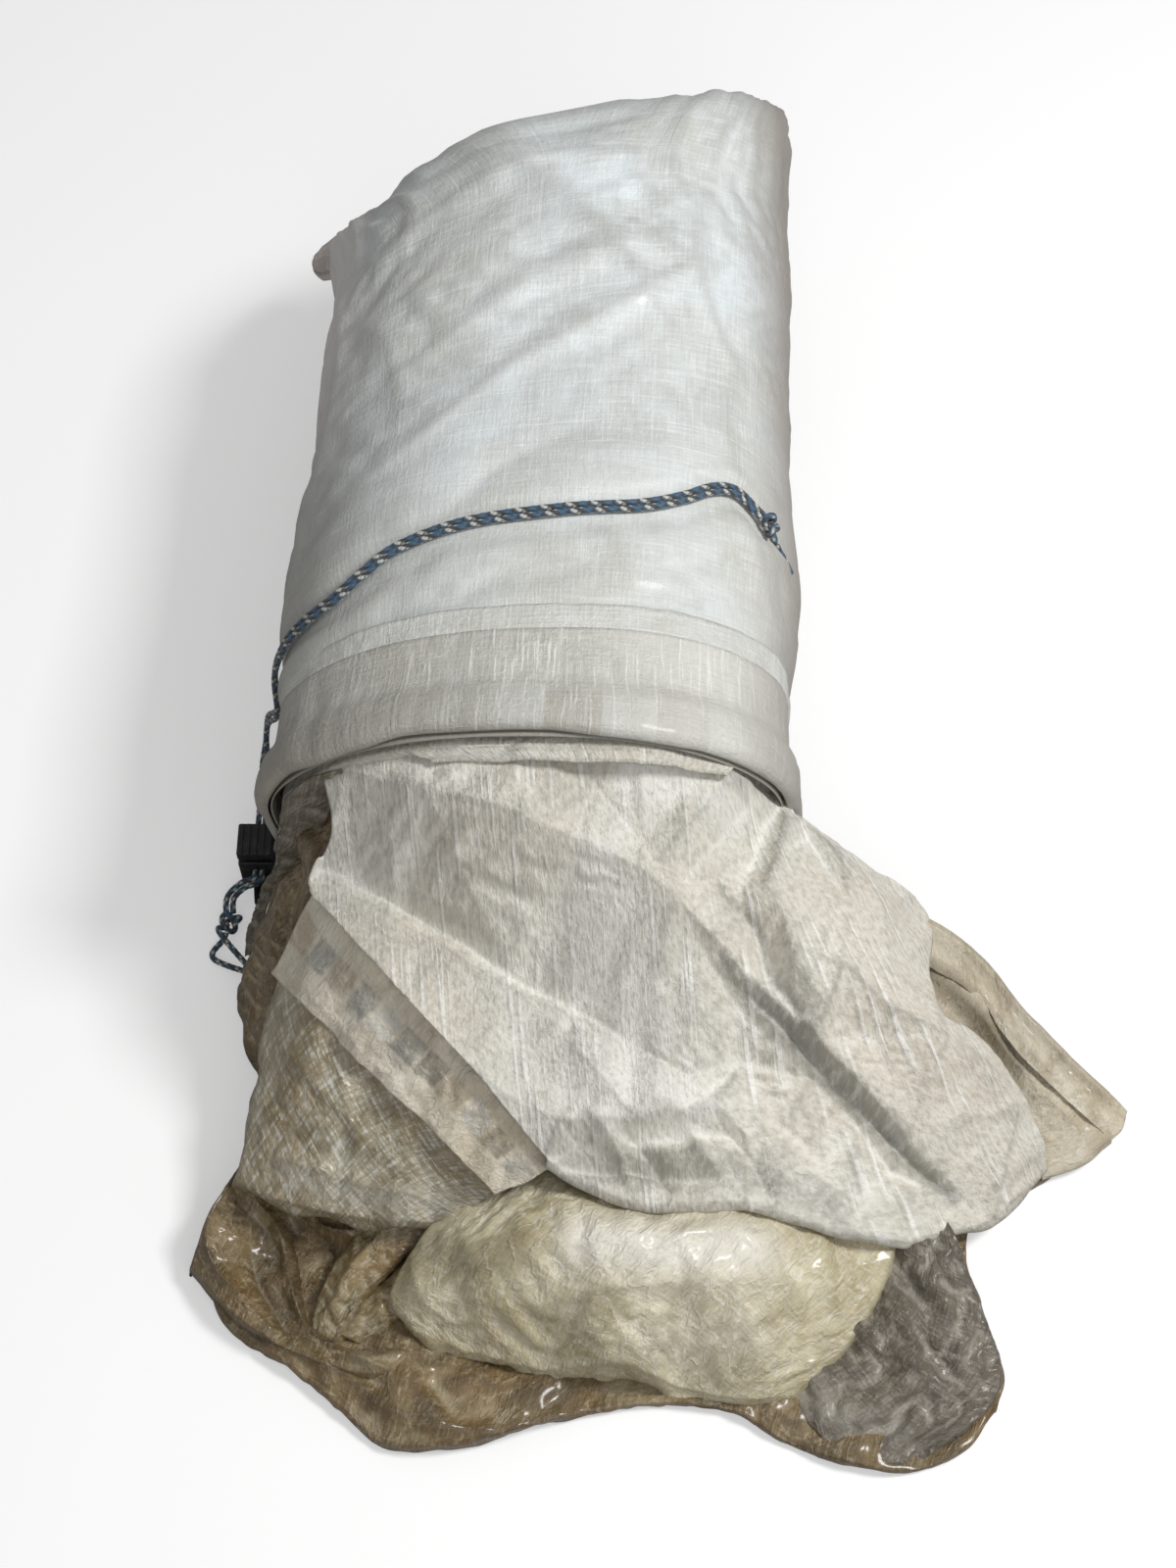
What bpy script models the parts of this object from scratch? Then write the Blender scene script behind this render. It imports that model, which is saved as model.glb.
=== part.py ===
"""Composite-fabric backpacking tent, half pulled out of its drawcord stuff sack.

Metres, +Z up. The origin is the centre of the sack's flat underside. +Y runs along the sack
towards its closed end, and +X to the right as one looks in through the mouth.
Plan tables of the spilled cloth are in millimetres: x, then the distance out of the mouth.
"""

import math

import bmesh
import bpy
import numpy as np
from mathutils import Matrix, Vector
from mathutils.geometry import delaunay_2d_cdt

MM = 0.001

# Stuff sack
SACK_WIDTH = 0.175
SACK_HEIGHT = 0.140
MOUTH_Y = -0.145
END_Y = 0.145
SACK_LENGTH = END_Y - MOUTH_Y
END_SKEW = 0.28
WALL = 0.0008
ROUNDNESS = 2.3
BELLY_SINK = 0.004
SIDE_SHIFT = 0.010
SIDE_TAPER = 0.0035

# Closed end, drawn to a flat seam like a pillow's
PILLOW_START = 0.76
PILLOW_POWER = 2.4
SEAM_Z = 0.061
SEAM_SPREAD = 0.006
SEAM_WIDTH = SACK_WIDTH + SEAM_SPREAD
SEAM_SHIFT = 0.0065
SEAM_ROUNDNESS = 4.0
LIP_THICK = 0.0016
LIP_DEPTH = 0.007
INSIDE_END = 0.986
EAR_LONG = 0.008
EAR_WIDE = 0.0066

# Mouth: its lower left corner reaches further out and is pulled towards the cord lock
DROOP_ANGLE = 218.0
DROOP_SPREAD = 22.0
DROOP_DEPTH = 0.025
FLARE_OUT = 0.024
FLARE_DOWN = 0.008
FLARE_DEPTH = 0.060

# Clearances
GAP = 0.0003
CORD_CLEARANCE = 0.0011
SLIDE_CLEARANCE = 0.0012
PIECE_INSET = 0.2

# Drawcord and its channel in the hem
CORD_D = 0.0021
SLEEVE = 0.0006
SLEEVE_GAP = 0.0005
CHANNEL = CORD_D + 2 * CORD_CLEARANCE
CHANNEL_END = 0.013
CHANNEL_TAPER = 0.021
HEM_DEPTH = 0.038
BOND_DEPTH = 0.007
HEM_HOLD = HEM_DEPTH + BOND_DEPTH + 0.002
HEM_FADE = HEM_HOLD + 0.010
RIM_THICK = 0.0008
CHANNEL_MID = 0.007
RIM_LIFT = CHANNEL + SLEEVE
HEM_LIFT = SLEEVE_GAP + SLEEVE
STRAND_APART = CORD_D + GAP
CORD_STEP = 0.0052
LEAD_RISE = 0.0006
KNOT_LONG = 0.0045
KNOT_WIDE = 0.0036
KNOT_TALL = 0.0030

# Cord lock
LOCK_WIDTH = 0.013
LOCK_HEIGHT = 0.0134
LOCK_X = -(SACK_WIDTH / 2 + 0.0095)
LOCK_Y = -0.115
LOCK_WALL = 0.002
LOCK_FLOOR = 0.0017
LOCK_SLIDE = 0.016
BUTTON_TRAVEL = 0.0022
BUTTON_CAP = 0.0045
BUTTON_EDGE = 0.0002
CORD_HEIGHT = 0.0082
RIB_COUNT = 4
RIB_GROOVE = 0.0011
RIB_DEPTH = 0.0006
SPRING_TURNS = 2
SPRING_WIRE = 0.0004
SPRING_D = 0.0060
TONGUE_LONG = 0.009
TONGUE_WIDE = 0.005
TONGUE_THICK = 0.0022

# Tent
TENT_FLOOR = RIM_LIFT + WALL + 2 * GAP
SLAB_TOP = TENT_FLOOR - GAP
THIN_EDGE = 0.0009
STOWED_END = 0.945
STOWED_SLOPE = 0.006
STOWED_LIFT = 0.0024
STOWED_STEPS = 12
LAYER_SPLITS = (0.046, 0.068)
MOUTH_RATIO = SACK_WIDTH / 0.175
HEIGHT_RATIO = SACK_HEIGHT / 0.140

AROUND = 40
ANGLES = [math.tau * i / AROUND for i in range(AROUND)]
EXIT_STEP = 24
STATIONS = [0.0, CHANNEL_END, CHANNEL_TAPER, HEM_DEPTH, HEM_HOLD, HEM_FADE, 0.090, 0.140, 0.190]
PILLOW_SHARES = (0.76, 0.84, 0.90, 0.94, 0.97, 0.988, 1.0)


def lerp(first, last, share):
    """Value at a share of the way from first to last."""
    return first + (last - first) * share


def ease(share):
    """Smooth step from 0 to 1."""
    share = min(max(share, 0.0), 1.0)
    return share * share * (3.0 - 2.0 * share)


def clear_scene():
    """Remove whatever the file opened with."""
    for thing in list(bpy.data.objects):
        bpy.data.objects.remove(thing, do_unlink=True)


def finish(thing, colour, roughness, metallic=0.0, alpha=1.0):
    """Give an object its own material and put it in the scene."""
    look = bpy.data.materials.new(thing.name + "_finish")
    look.use_nodes = True
    shader = look.node_tree.nodes["Principled BSDF"]
    shader.inputs["Base Color"].default_value = (*colour, 1.0)
    shader.inputs["Roughness"].default_value = roughness
    shader.inputs["Metallic"].default_value = metallic
    shader.inputs["Alpha"].default_value = alpha
    thing.data.materials.append(look)
    if thing.name not in bpy.context.collection.objects:
        bpy.context.collection.objects.link(thing)
    return thing


def solid(name, points, faces, sharp_degrees=40.0):
    """Closed mesh object from world points, with its faces turned outwards."""
    shell = bpy.data.meshes.new(name)
    shell.from_pydata([tuple(p) for p in points], [], faces)
    body = bmesh.new()
    body.from_mesh(shell)
    bmesh.ops.recalc_face_normals(body, faces=body.faces)
    body.to_mesh(shell)
    body.free()
    shell.shade_smooth()
    shell.set_sharp_from_angle(angle=math.radians(sharp_degrees))
    return bpy.data.objects.new(name, shell)


def loft(name, rings, capped=True, fan=False):
    """Skin over equal rings. Uncapped rings close on themselves from last to first."""
    count = len(rings[0])
    points = [p for ring in rings for p in ring]
    faces = []
    spans = len(rings) - 1 if capped else len(rings)
    for i in range(spans):
        here, there = i * count, ((i + 1) % len(rings)) * count
        for j in range(count):
            k = (j + 1) % count
            faces.append((here + j, here + k, there + k, there + j))
    if capped:
        last = (len(rings) - 1) * count
        for start, ring in ((0, rings[0]), (last, rings[-1])):
            if fan:
                middle = len(points)
                points.append(sum(ring, Vector()) / count)
                faces += [(start + j, start + (j + 1) % count, middle) for j in range(count)]
            else:
                faces.append(tuple(range(start, start + count)))
    return solid(name, points, faces)


def box(name, low, high):
    """Plain block between two corners."""
    corners = [(x, y, z) for x in (low[0], high[0]) for y in (low[1], high[1]) for z in (low[2], high[2])]
    faces = [(0, 1, 3, 2), (4, 6, 7, 5), (0, 4, 5, 1), (2, 3, 7, 6), (0, 2, 6, 4), (1, 5, 7, 3)]
    return solid(name, corners, faces)


def hide_tool(tool):
    """Keep a cutter or a joined block out of the model."""
    bpy.context.collection.objects.link(tool)
    tool.hide_render = True
    tool.display_type = 'WIRE'


def combine(target, tool, operation):
    """Boolean with the exact solver."""
    hide_tool(tool)
    step = target.modifiers.new(tool.name, 'BOOLEAN')
    step.operation = operation
    step.object = tool
    step.solver = 'EXACT'


# The sack's surface

def section(share):
    """Centre x, half width, underside, top and roundness of the sack at a share of its length."""
    if share < PILLOW_START:
        along = share / PILLOW_START
        half = SACK_WIDTH / 2 - SIDE_TAPER * along
        return SIDE_SHIFT * along, half, -BELLY_SINK, SACK_HEIGHT, ROUNDNESS
    along = min((share - PILLOW_START) / (1.0 - PILLOW_START), 1.0)
    swell = (1.0 - along ** PILLOW_POWER) ** (1.0 / PILLOW_POWER)
    turn = ease(along)
    centre = lerp(SIDE_SHIFT, SEAM_SHIFT, turn)
    half = lerp(SACK_WIDTH / 2 - SIDE_TAPER, SEAM_WIDTH / 2, turn)
    low = lerp(SEAM_Z - LIP_THICK / 2, -BELLY_SINK, swell)
    high = lerp(SEAM_Z + LIP_THICK / 2, SACK_HEIGHT, swell)
    return centre, half, low, high, lerp(ROUNDNESS, SEAM_ROUNDNESS, turn)


def corner_weight(angle):
    """How strongly the drooping corner of the mouth acts at an angle round the sack."""
    return math.exp(-((math.degrees(angle % math.tau) - DROOP_ANGLE) / DROOP_SPREAD) ** 2)


def rim_lift(s):
    """Height of the sack wall's underside, which the hem lifts off the floor near the mouth."""
    if s <= CHANNEL_END:
        return RIM_LIFT
    if s <= CHANNEL_TAPER:
        return lerp(RIM_LIFT, HEM_LIFT, (s - CHANNEL_END) / (CHANNEL_TAPER - CHANNEL_END))
    return min(max(lerp(HEM_LIFT, 0.0, (s - HEM_HOLD) / (HEM_FADE - HEM_HOLD)), 0.0), HEM_LIFT)


def power_unit(value, exponent):
    """Signed power, for superellipses."""
    return math.copysign(abs(value) ** exponent, value)


def skin_normal(s, angle):
    """Outward direction of the sack's wall in its cross-section."""
    _, half, low, high, power = section(min(s / SACK_LENGTH, 1.0))
    cosine = power_unit(math.cos(angle), 2.0 / power)
    sine = power_unit(math.sin(angle), 2.0 / power)
    tall = (high - low) / 2
    slope = Vector((power_unit(cosine, power - 1) / half, 0.0, power_unit(sine, power - 1) / tall))
    return slope.normalized()


def skin(s, angle, offset=0.0):
    """Point at a distance s in from the rim and an angle round the sack, offset from its wall."""
    share = min(s / SACK_LENGTH, 1.0)
    centre, half, low, high, power = section(share)
    normal = skin_normal(s, angle)
    x = centre + half * power_unit(math.cos(angle), 2.0 / power) + normal.x * offset
    z = (high + low) / 2 + (high - low) / 2 * power_unit(math.sin(angle), 2.0 / power) + normal.z * offset
    corner = corner_weight(angle)
    flare = corner * max(0.0, 1.0 - s / FLARE_DEPTH) ** 2
    x -= FLARE_OUT * flare
    z = max(z - FLARE_DOWN * flare, rim_lift(s) - offset)
    rim = MOUTH_Y - DROOP_DEPTH * corner
    y = lerp(rim, END_Y + END_SKEW * x, share) + max(s - SACK_LENGTH, 0.0)
    return Vector((x, y, z))


def ring(s, offset=0.0, angles=ANGLES):
    """One ring of points round the sack."""
    return [skin(s, angle, offset) for angle in angles]


def tape_strip(name, stations, angles, low, high):
    """Bonded tape lying on the sack's wall, between two offsets from it."""
    rings = []
    for s in stations:
        under = [skin(s, angle, low) for angle in angles]
        over = [skin(s, angle, high) for angle in reversed(angles)]
        rings.append(under + over)
    return loft(name, rings)


def swept_profile(name, profile, angles, closed):
    """A profile of (s, offset) points carried round the mouth."""
    rings = [[skin(s, angle, offset) for s, offset in profile] for angle in angles]
    return loft(name, rings, capped=not closed)


def make_sack():
    """Wall, seam lip, tapes, ears and hem."""
    outer = STATIONS + [share * SACK_LENGTH for share in PILLOW_SHARES] + [SACK_LENGTH + LIP_DEPTH]
    inner = [s for s in outer if s < INSIDE_END * SACK_LENGTH] + [INSIDE_END * SACK_LENGTH]
    rings = [ring(s, -WALL) for s in reversed(inner)] + [ring(s) for s in outer]
    finish(loft("sack_body", rings, fan=True), (0.74, 0.75, 0.74), 0.42)

    bond_start = HEM_DEPTH + 0.001
    bond_end = bond_start + BOND_DEPTH
    bond = [(bond_start, SLEEVE_GAP), (bond_end, SLEEVE_GAP), (bond_end, HEM_LIFT), (bond_start, HEM_LIFT)]
    finish(swept_profile("hem_bond_tape", bond, ANGLES, True), (0.80, 0.78, 0.72), 0.38)

    cover = CHANNEL + SLEEVE
    rim_out, rim_in = GAP, GAP + RIM_THICK
    hem = [(rim_out, SLEEVE_GAP), (rim_in, SLEEVE_GAP), (rim_in, CHANNEL),
           (CHANNEL_END, CHANNEL), (CHANNEL_TAPER, SLEEVE_GAP), (HEM_DEPTH, SLEEVE_GAP),
           (HEM_DEPTH, HEM_LIFT), (CHANNEL_TAPER, HEM_LIFT), (CHANNEL_END, cover), (rim_out, cover)]
    round_mouth = ANGLES[EXIT_STEP + 1:] + [math.tau + a for a in ANGLES[:EXIT_STEP + 1]]
    finish(swept_profile("hem_sleeve", hem, round_mouth, False), (0.72, 0.69, 0.62), 0.38)

    side = [s for s in STATIONS if s > HEM_FADE] + [PILLOW_SHARES[0] * SACK_LENGTH]
    low_right = [ANGLES[36], ANGLES[37]]
    finish(tape_strip("side_seam_tape", side, low_right, GAP, GAP + SLEEVE), (0.80, 0.78, 0.72), 0.38)
    make_end_tape()
    make_ears()


def make_end_tape():
    """Folded tape over the end seam's lip, open towards the sack."""
    inner, outer = LIP_THICK / 2 + GAP, LIP_THICK / 2 + 2 * GAP + 0.0003
    leg = LIP_DEPTH - 0.0015
    rings = []
    for side in (-1, 1):
        x = SEAM_SHIFT + side * (SEAM_WIDTH / 2 - 0.009)
        edge = END_Y + END_SKEW * x + LIP_DEPTH
        profile = [(edge - leg, inner), (edge + GAP, inner), (edge + GAP, -inner), (edge - leg, -inner),
                   (edge - leg, -outer), (edge + 3 * GAP, -outer), (edge + 3 * GAP, outer),
                   (edge - leg, outer)]
        rings.append([Vector((x, y, SEAM_Z + z)) for y, z in profile])
    finish(loft("end_seam_tape", rings), (0.78, 0.72, 0.68), 0.40)


def make_ears():
    """Folded fabric corners at both ends of the end seam."""
    for name, side in (("sack_ear_left", -1), ("sack_ear_right", 1)):
        x = SEAM_SHIFT + side * (SEAM_WIDTH / 2 + GAP + EAR_LONG / 2)
        y = END_Y + END_SKEW * x + LIP_DEPTH / 2
        half = Vector((EAR_LONG / 2, EAR_WIDE / 2, LIP_THICK / 2))
        ear = box(name, -half, half)
        ear.data.transform(Matrix.Rotation(math.atan(END_SKEW), 4, 'Z'))
        ear.location = (x + side * 0.0009, y, SEAM_Z)
        round_off = ear.modifiers.new("rounded", 'BEVEL')
        round_off.width = LIP_THICK / 4
        round_off.segments = 2
        finish(ear, (0.78, 0.70, 0.67), 0.40)


# Drawcord

def smooth_path(controls, step, closed=False):
    """Points at even steps along a Catmull-Rom curve through hand-chosen points."""
    knots = [Vector(c) for c in controls]
    if closed:
        knots = [knots[-1]] + knots + knots[:2]
    else:
        knots = [2 * knots[0] - knots[1]] + knots + [2 * knots[-1] - knots[-2]]
    fine = []
    for a, b, c, d in zip(knots, knots[1:], knots[2:], knots[3:]):
        for i in range(12):
            t = i / 12
            cubic = -a + 3 * b - 3 * c + d
            square = 2 * a - 5 * b + 4 * c - d
            fine.append((2 * b + (c - a) * t + square * t ** 2 + cubic * t ** 3) / 2)
    fine.append(knots[-2])
    lengths = [0.0]
    for here, there in zip(fine, fine[1:]):
        lengths.append(lengths[-1] + (there - here).length)
    count = max(round(lengths[-1] / step), 1)
    path, k = [], 0
    for i in range(count + 1):
        wanted = lengths[-1] * i / count
        while k < len(lengths) - 2 and lengths[k + 1] < wanted:
            k += 1
        reach = lengths[k + 1] - lengths[k]
        path.append(fine[k].lerp(fine[k + 1], (wanted - lengths[k]) / reach if reach else 0.0))
    return path


def tube(name, path, diameter, resolution=2):
    """Round tube along a path, with filled ends."""
    line = bpy.data.curves.new(name, 'CURVE')
    line.dimensions = '3D'
    line.bevel_depth = diameter / 2
    line.bevel_resolution = resolution
    line.use_fill_caps = True
    run = line.splines.new('POLY')
    run.points.add(len(path) - 1)
    for spot, place in zip(run.points, path):
        spot.co = (*place, 1.0)
    return bpy.data.objects.new(name, line)


def cord(name, path):
    """Braided cord in its dark blue."""
    finish(tube(name, path, CORD_D), (0.05, 0.09, 0.14), 0.62)


def trimmed(path, start, end):
    """A path cut short by distances at its two ends."""
    for distance, back in ((start, False), (end, True)):
        line = list(reversed(path)) if back else list(path)
        while len(line) > 2 and (line[1] - line[0]).length < distance:
            distance -= (line[1] - line[0]).length
            line.pop(0)
        line[0] = line[0].lerp(line[1], distance / (line[1] - line[0]).length)
        path = list(reversed(line)) if back else line
    return path


def knot(name, centre, along):
    """Plain lump of a tied knot, longest the way the cord runs."""
    body = bmesh.new()
    bmesh.ops.create_uvsphere(body, u_segments=14, v_segments=9, radius=1.0)
    shell = bpy.data.meshes.new(name)
    body.to_mesh(shell)
    body.free()
    shell.transform(Matrix.Diagonal((KNOT_LONG, KNOT_WIDE, KNOT_TALL, 1.0)))
    shell.shade_smooth()
    lump = bpy.data.objects.new(name, shell)
    lump.matrix_world = Matrix.Translation(centre) @ along.to_matrix().to_4x4()
    return finish(lump, (0.05, 0.10, 0.16), 0.62)


GATHER_KNOT = Vector((LOCK_X - 0.009, LOCK_Y - 0.024, KNOT_TALL + 0.0002))

# Where the pair of strands lies on the sack: distance in from the rim, angle round it, height off its wall
OVER_SACK = (
    (66, 185, 2.0), (65.5, 172, 0.8), (64, 157, 0.2), (63.5, 145, 0.2), (65, 134, 0.1), (70, 126, 0.1),
    (76, 117, 0), (80, 102, 0), (82, 86, 0), (84, 71, 0), (89, 61, 0), (95, 53, 0), (97, 46, 0), (94, 39, 0))
KNOT_SPOT = (0.090, math.radians(34.0))
TAIL_RUN = ((87, 28.5), (85, 24), (84, 18))


def pair_route():
    """Middle line of the two strands from the gather knot through the lock to the end knot."""
    lift = STRAND_APART / 2 + GAP
    straight_from = LOCK_Y - LOCK_WIDTH / 2 - 0.003
    straight_to = LOCK_Y + LOCK_WIDTH / 2 + LOCK_SLIDE + 0.006
    front = [GATHER_KNOT, GATHER_KNOT + Vector((-0.0005, 0.008, 0.002)),
             Vector((LOCK_X - 0.0052, straight_from - 0.0020, CORD_HEIGHT - 0.0012)),
             Vector((LOCK_X, straight_from, CORD_HEIGHT))]
    lock_run = [Vector((LOCK_X, lerp(straight_from, straight_to, i / 6), CORD_HEIGHT)) for i in range(1, 7)]
    rise = [Vector((LOCK_X + 0.0010, straight_to + 0.0065, CORD_HEIGHT + 0.0085)),
            Vector((LOCK_X + 0.0040, straight_to + 0.0085, CORD_HEIGHT + 0.0300))]
    over = [skin(s * MM, math.radians(a), lift + off * MM) for s, a, off in OVER_SACK]
    return smooth_path(front + lock_run + rise + over + [skin(*KNOT_SPOT, KNOT_TALL + GAP)], CORD_STEP)


def nearest_angle(point):
    """Angle round the sack of the wall beside a point, seen along the sack."""
    centre, half, low, high, power = section((point.y - MOUTH_Y) / SACK_LENGTH)
    across = power_unit((point.x - centre) / half, power / 2)
    up = power_unit((2 * point.z - high - low) / (high - low), power / 2)
    return math.atan2(up, across)


def strands(route):
    """The route's two sides: level where it crosses the floor, along the wall where it climbs."""
    first, second = [], []
    for i, place in enumerate(route):
        run = (route[min(i + 1, len(route) - 1)] - route[max(i - 1, 0)]).normalized()
        wall_way = skin_normal(0.1, nearest_angle(place))
        climb = ease((place.z - 0.010) / 0.035) if place.x < 0.0 else 1.0
        outward = Vector((0, 0, 1)).lerp(wall_way, climb)
        side = run.cross(outward).normalized() * STRAND_APART / 2
        first.append(place + side)
        second.append(place - side)
    return first, second


def in_channel(angle, rise=0.0):
    """Middle of the hem's channel at an angle round the mouth, or a little above it."""
    levels = [skin(0.0, angle, offset).lerp(skin(CHANNEL_END, angle, offset), CHANNEL_MID / CHANNEL_END)
              for offset in (rise, CHANNEL + rise)]
    return levels[0].lerp(levels[1], 0.5)


def make_drawcord():
    """Loop in the hem, its two leads, the pair of strands, both knots and the tail."""
    start = ANGLES[EXIT_STEP + 1]
    corners = [in_channel(start + math.tau * i / AROUND) for i in range(AROUND)]
    loop = corners[:1]
    for here, there in zip(corners, corners[1:]):
        loop += [here.lerp(there, 0.5), there]
    cord("drawcord_in_hem", loop)

    exits = (("drawcord_lead_upper", ANGLES[EXIT_STEP], 1, (-0.0012, -0.003, 0.0022)),
             ("drawcord_lead_lower", ANGLES[EXIT_STEP + 1], -1, (-0.0022, -0.0062, -0.0012)))
    for name, angle, way, spread in exits:
        first = in_channel(angle + way * math.radians(0.45))
        out = in_channel(angle + way * math.radians(1.8), LEAD_RISE)
        clear = skin(CHANNEL_MID, angle + way * math.radians(2.7), CHANNEL + SLEEVE + 0.002)
        near = GATHER_KNOT + Vector(spread) * 2.2
        near.z = max(near.z, CORD_D / 2 + GAP)
        route = smooth_path([first, out, clear, near, GATHER_KNOT + Vector(spread)], CORD_STEP / 2)
        cord(name, trimmed(route, 0.0, GAP + 0.0006))

    knot("gather_knot", GATHER_KNOT, Vector((0, 1, 0)).to_track_quat('X', 'Z'))
    route = pair_route()
    for name, path in zip(("drawcord_strand_right", "drawcord_strand_left"), strands(route)):
        cord(name, trimmed(path, KNOT_LONG + GAP, KNOT_LONG + GAP))

    end = skin(*KNOT_SPOT, KNOT_TALL + GAP)
    end_normal = skin_normal(*KNOT_SPOT)
    tail = [end] + [skin(s * MM, math.radians(a), CORD_D / 2 + GAP) for s, a in TAIL_RUN]
    run = (tail[1] - end).normalized()
    frame = Matrix((run, end_normal.cross(run).normalized(), end_normal)).transposed()
    frame.col[2] = frame.col[0].cross(frame.col[1])
    knot("end_knot", end, frame.to_quaternion())
    cord("drawcord_tail", trimmed(smooth_path(tail, CORD_STEP), KNOT_LONG + GAP, 0.0))


# Cord lock

def make_lock():
    """Body with its well and cord tunnel, sprung button and spring."""
    half, gap = LOCK_WIDTH / 2, GAP
    well = half - LOCK_WALL
    tunnel_half = STRAND_APART / 2 + CORD_D / 2 + gap
    tunnel_low, tunnel_high = CORD_HEIGHT - CORD_D / 2 - gap, CORD_HEIGHT + CORD_D / 2 + gap
    stem = well - gap
    stem_low = tunnel_low - 0.0010
    cap_low = LOCK_HEIGHT + BUTTON_TRAVEL + gap

    body = box("lock_body", (-half, -half, 0.0), (half, half, LOCK_HEIGHT))
    body.location = (LOCK_X, LOCK_Y, 0.0)
    soften = body.modifiers.new("edges", 'BEVEL')
    soften.width = 0.0008
    soften.segments = 2
    tongue = solid("lock_tongue_block", [
        (x * (TONGUE_WIDE / 2) * wide, y, z)
        for y, wide in ((-half + 0.0015, 1.0), (-half - TONGUE_LONG, 0.55))
        for x, z in ((-1, 0.0), (1, 0.0), (1, TONGUE_THICK), (-1, TONGUE_THICK))],
        [(0, 1, 2, 3), (4, 7, 6, 5), (0, 4, 5, 1), (1, 5, 6, 2), (2, 6, 7, 3), (3, 7, 4, 0)])
    tongue.location = body.location
    combine(body, tongue, 'UNION')
    hollow = box("lock_well_cutter", (-well, -well, LOCK_FLOOR), (well, well, LOCK_HEIGHT + 0.002))
    hollow.location = body.location
    combine(body, hollow, 'DIFFERENCE')
    tunnel = box("lock_tunnel_cutter", (-tunnel_half, -LOCK_WIDTH, tunnel_low),
                 (tunnel_half, LOCK_WIDTH, tunnel_high))
    tunnel.location = body.location
    combine(body, tunnel, 'DIFFERENCE')
    finish(body, (0.02, 0.02, 0.022), 0.45)

    cap = half - BUTTON_EDGE
    button = box("lock_button", (-cap, -cap, cap_low), (cap, cap, cap_low + BUTTON_CAP))
    button.location = body.location
    soften = button.modifiers.new("edges", 'BEVEL')
    soften.width = 0.0007
    soften.segments = 2
    shaft = box("button_stem_block", (-stem, -stem, stem_low), (stem, stem, cap_low + 0.001))
    shaft.location = body.location
    combine(button, shaft, 'UNION')
    slot = box("button_slot_cutter", (-tunnel_half, -LOCK_WIDTH, tunnel_low),
               (tunnel_half, LOCK_WIDTH, tunnel_high + BUTTON_TRAVEL))
    slot.location = body.location
    combine(button, slot, 'DIFFERENCE')
    top = cap_low + BUTTON_CAP
    for i in range(RIB_COUNT):
        x = lerp(-cap, cap, (i + 1) / (RIB_COUNT + 1))
        groove = box("button_groove_%d" % (i + 1), (x - RIB_GROOVE / 2, -LOCK_WIDTH, top - RIB_DEPTH),
                     (x + RIB_GROOVE / 2, LOCK_WIDTH, top + 0.001))
        groove.location = body.location
        combine(button, groove, 'DIFFERENCE')
    finish(button, (0.025, 0.025, 0.028), 0.5)

    low = LOCK_FLOOR + GAP + SPRING_WIRE / 2
    high = stem_low - GAP - SPRING_WIRE / 2
    per_turn = 10
    count = SPRING_TURNS * per_turn
    helix = []
    for i in range(count + 1):
        turn = math.tau * i / per_turn
        radius = (SPRING_D - SPRING_WIRE) / 2
        helix.append(Vector((LOCK_X + radius * math.cos(turn), LOCK_Y + radius * math.sin(turn),
                             lerp(low, high, i / count))))
    least = min((a - b).length for i, a in enumerate(helix) for b in helix[i + per_turn // 2:]) - SPRING_WIRE
    print("lock spring: least gap to itself %.2f mm" % (least / MM))
    finish(tube("lock_spring", helix, SPRING_WIRE, 1), (0.62, 0.62, 0.64), 0.3, 1.0)


# Tent stowed in the sack

def stowed_layer(name, low, high, colour, roughness):
    """Folded cloth in the sack, between two levels, free to slide out through the mouth."""
    room = WALL + SLIDE_CLEARANCE
    mouth_centre, mouth_half, _, mouth_top, _ = section(0.0)
    rings = []
    for share in (0.0, 0.25, 0.5, PILLOW_START, 0.84, 0.90, STOWED_END):
        _, _, under, over, _ = section(share)
        centre, half = section(min(share, PILLOW_START))[:2]
        left = centre - half + room
        right = mouth_centre + mouth_half - room
        top = min(over, mouth_top) - room - STOWED_SLOPE * share
        bottom = max(under + room, 0.0)
        middle, tall = (top + bottom) / 2, (top - bottom) / 2
        start, stop = (math.asin(power_unit(min(max((z - middle) / tall, -1.0), 1.0), ROUNDNESS / 2))
                       for z in (max(low, TENT_FLOOR + STOWED_LIFT * share), high))
        right_side = [lerp(start, stop, i / STOWED_STEPS) for i in range(STOWED_STEPS + 1)]
        left_side = [math.pi - angle for angle in reversed(right_side)]
        if high > top:
            left_side.pop(0)
        points = []
        for angle in right_side + left_side:
            x = (left + right) / 2 + (right - left) / 2 * power_unit(math.cos(angle), 2.0 / ROUNDNESS)
            z = middle + tall * power_unit(math.sin(angle), 2.0 / ROUNDNESS)
            points.append(Vector((x, lerp(MOUTH_Y, END_Y + END_SKEW * x, share), z)))
        rings.append(points)
    finish(loft(name, rings, fan=True), colour, roughness)


def make_stowed():
    """Floor, mesh and canopy, folded in that order from the bottom."""
    lower, upper = (split * HEIGHT_RATIO for split in LAYER_SPLITS)
    stowed_layer("stowed_floor", 0.0, lower, (0.45, 0.40, 0.22), 0.45)
    stowed_layer("stowed_mesh", lower + GAP, upper, (0.10, 0.10, 0.11), 0.8)
    stowed_layer("stowed_canopy", upper + GAP, 1.0, (0.66, 0.64, 0.58), 0.5)


# Spilled cloth: spot heights and outlines in plan, in millimetres

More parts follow.
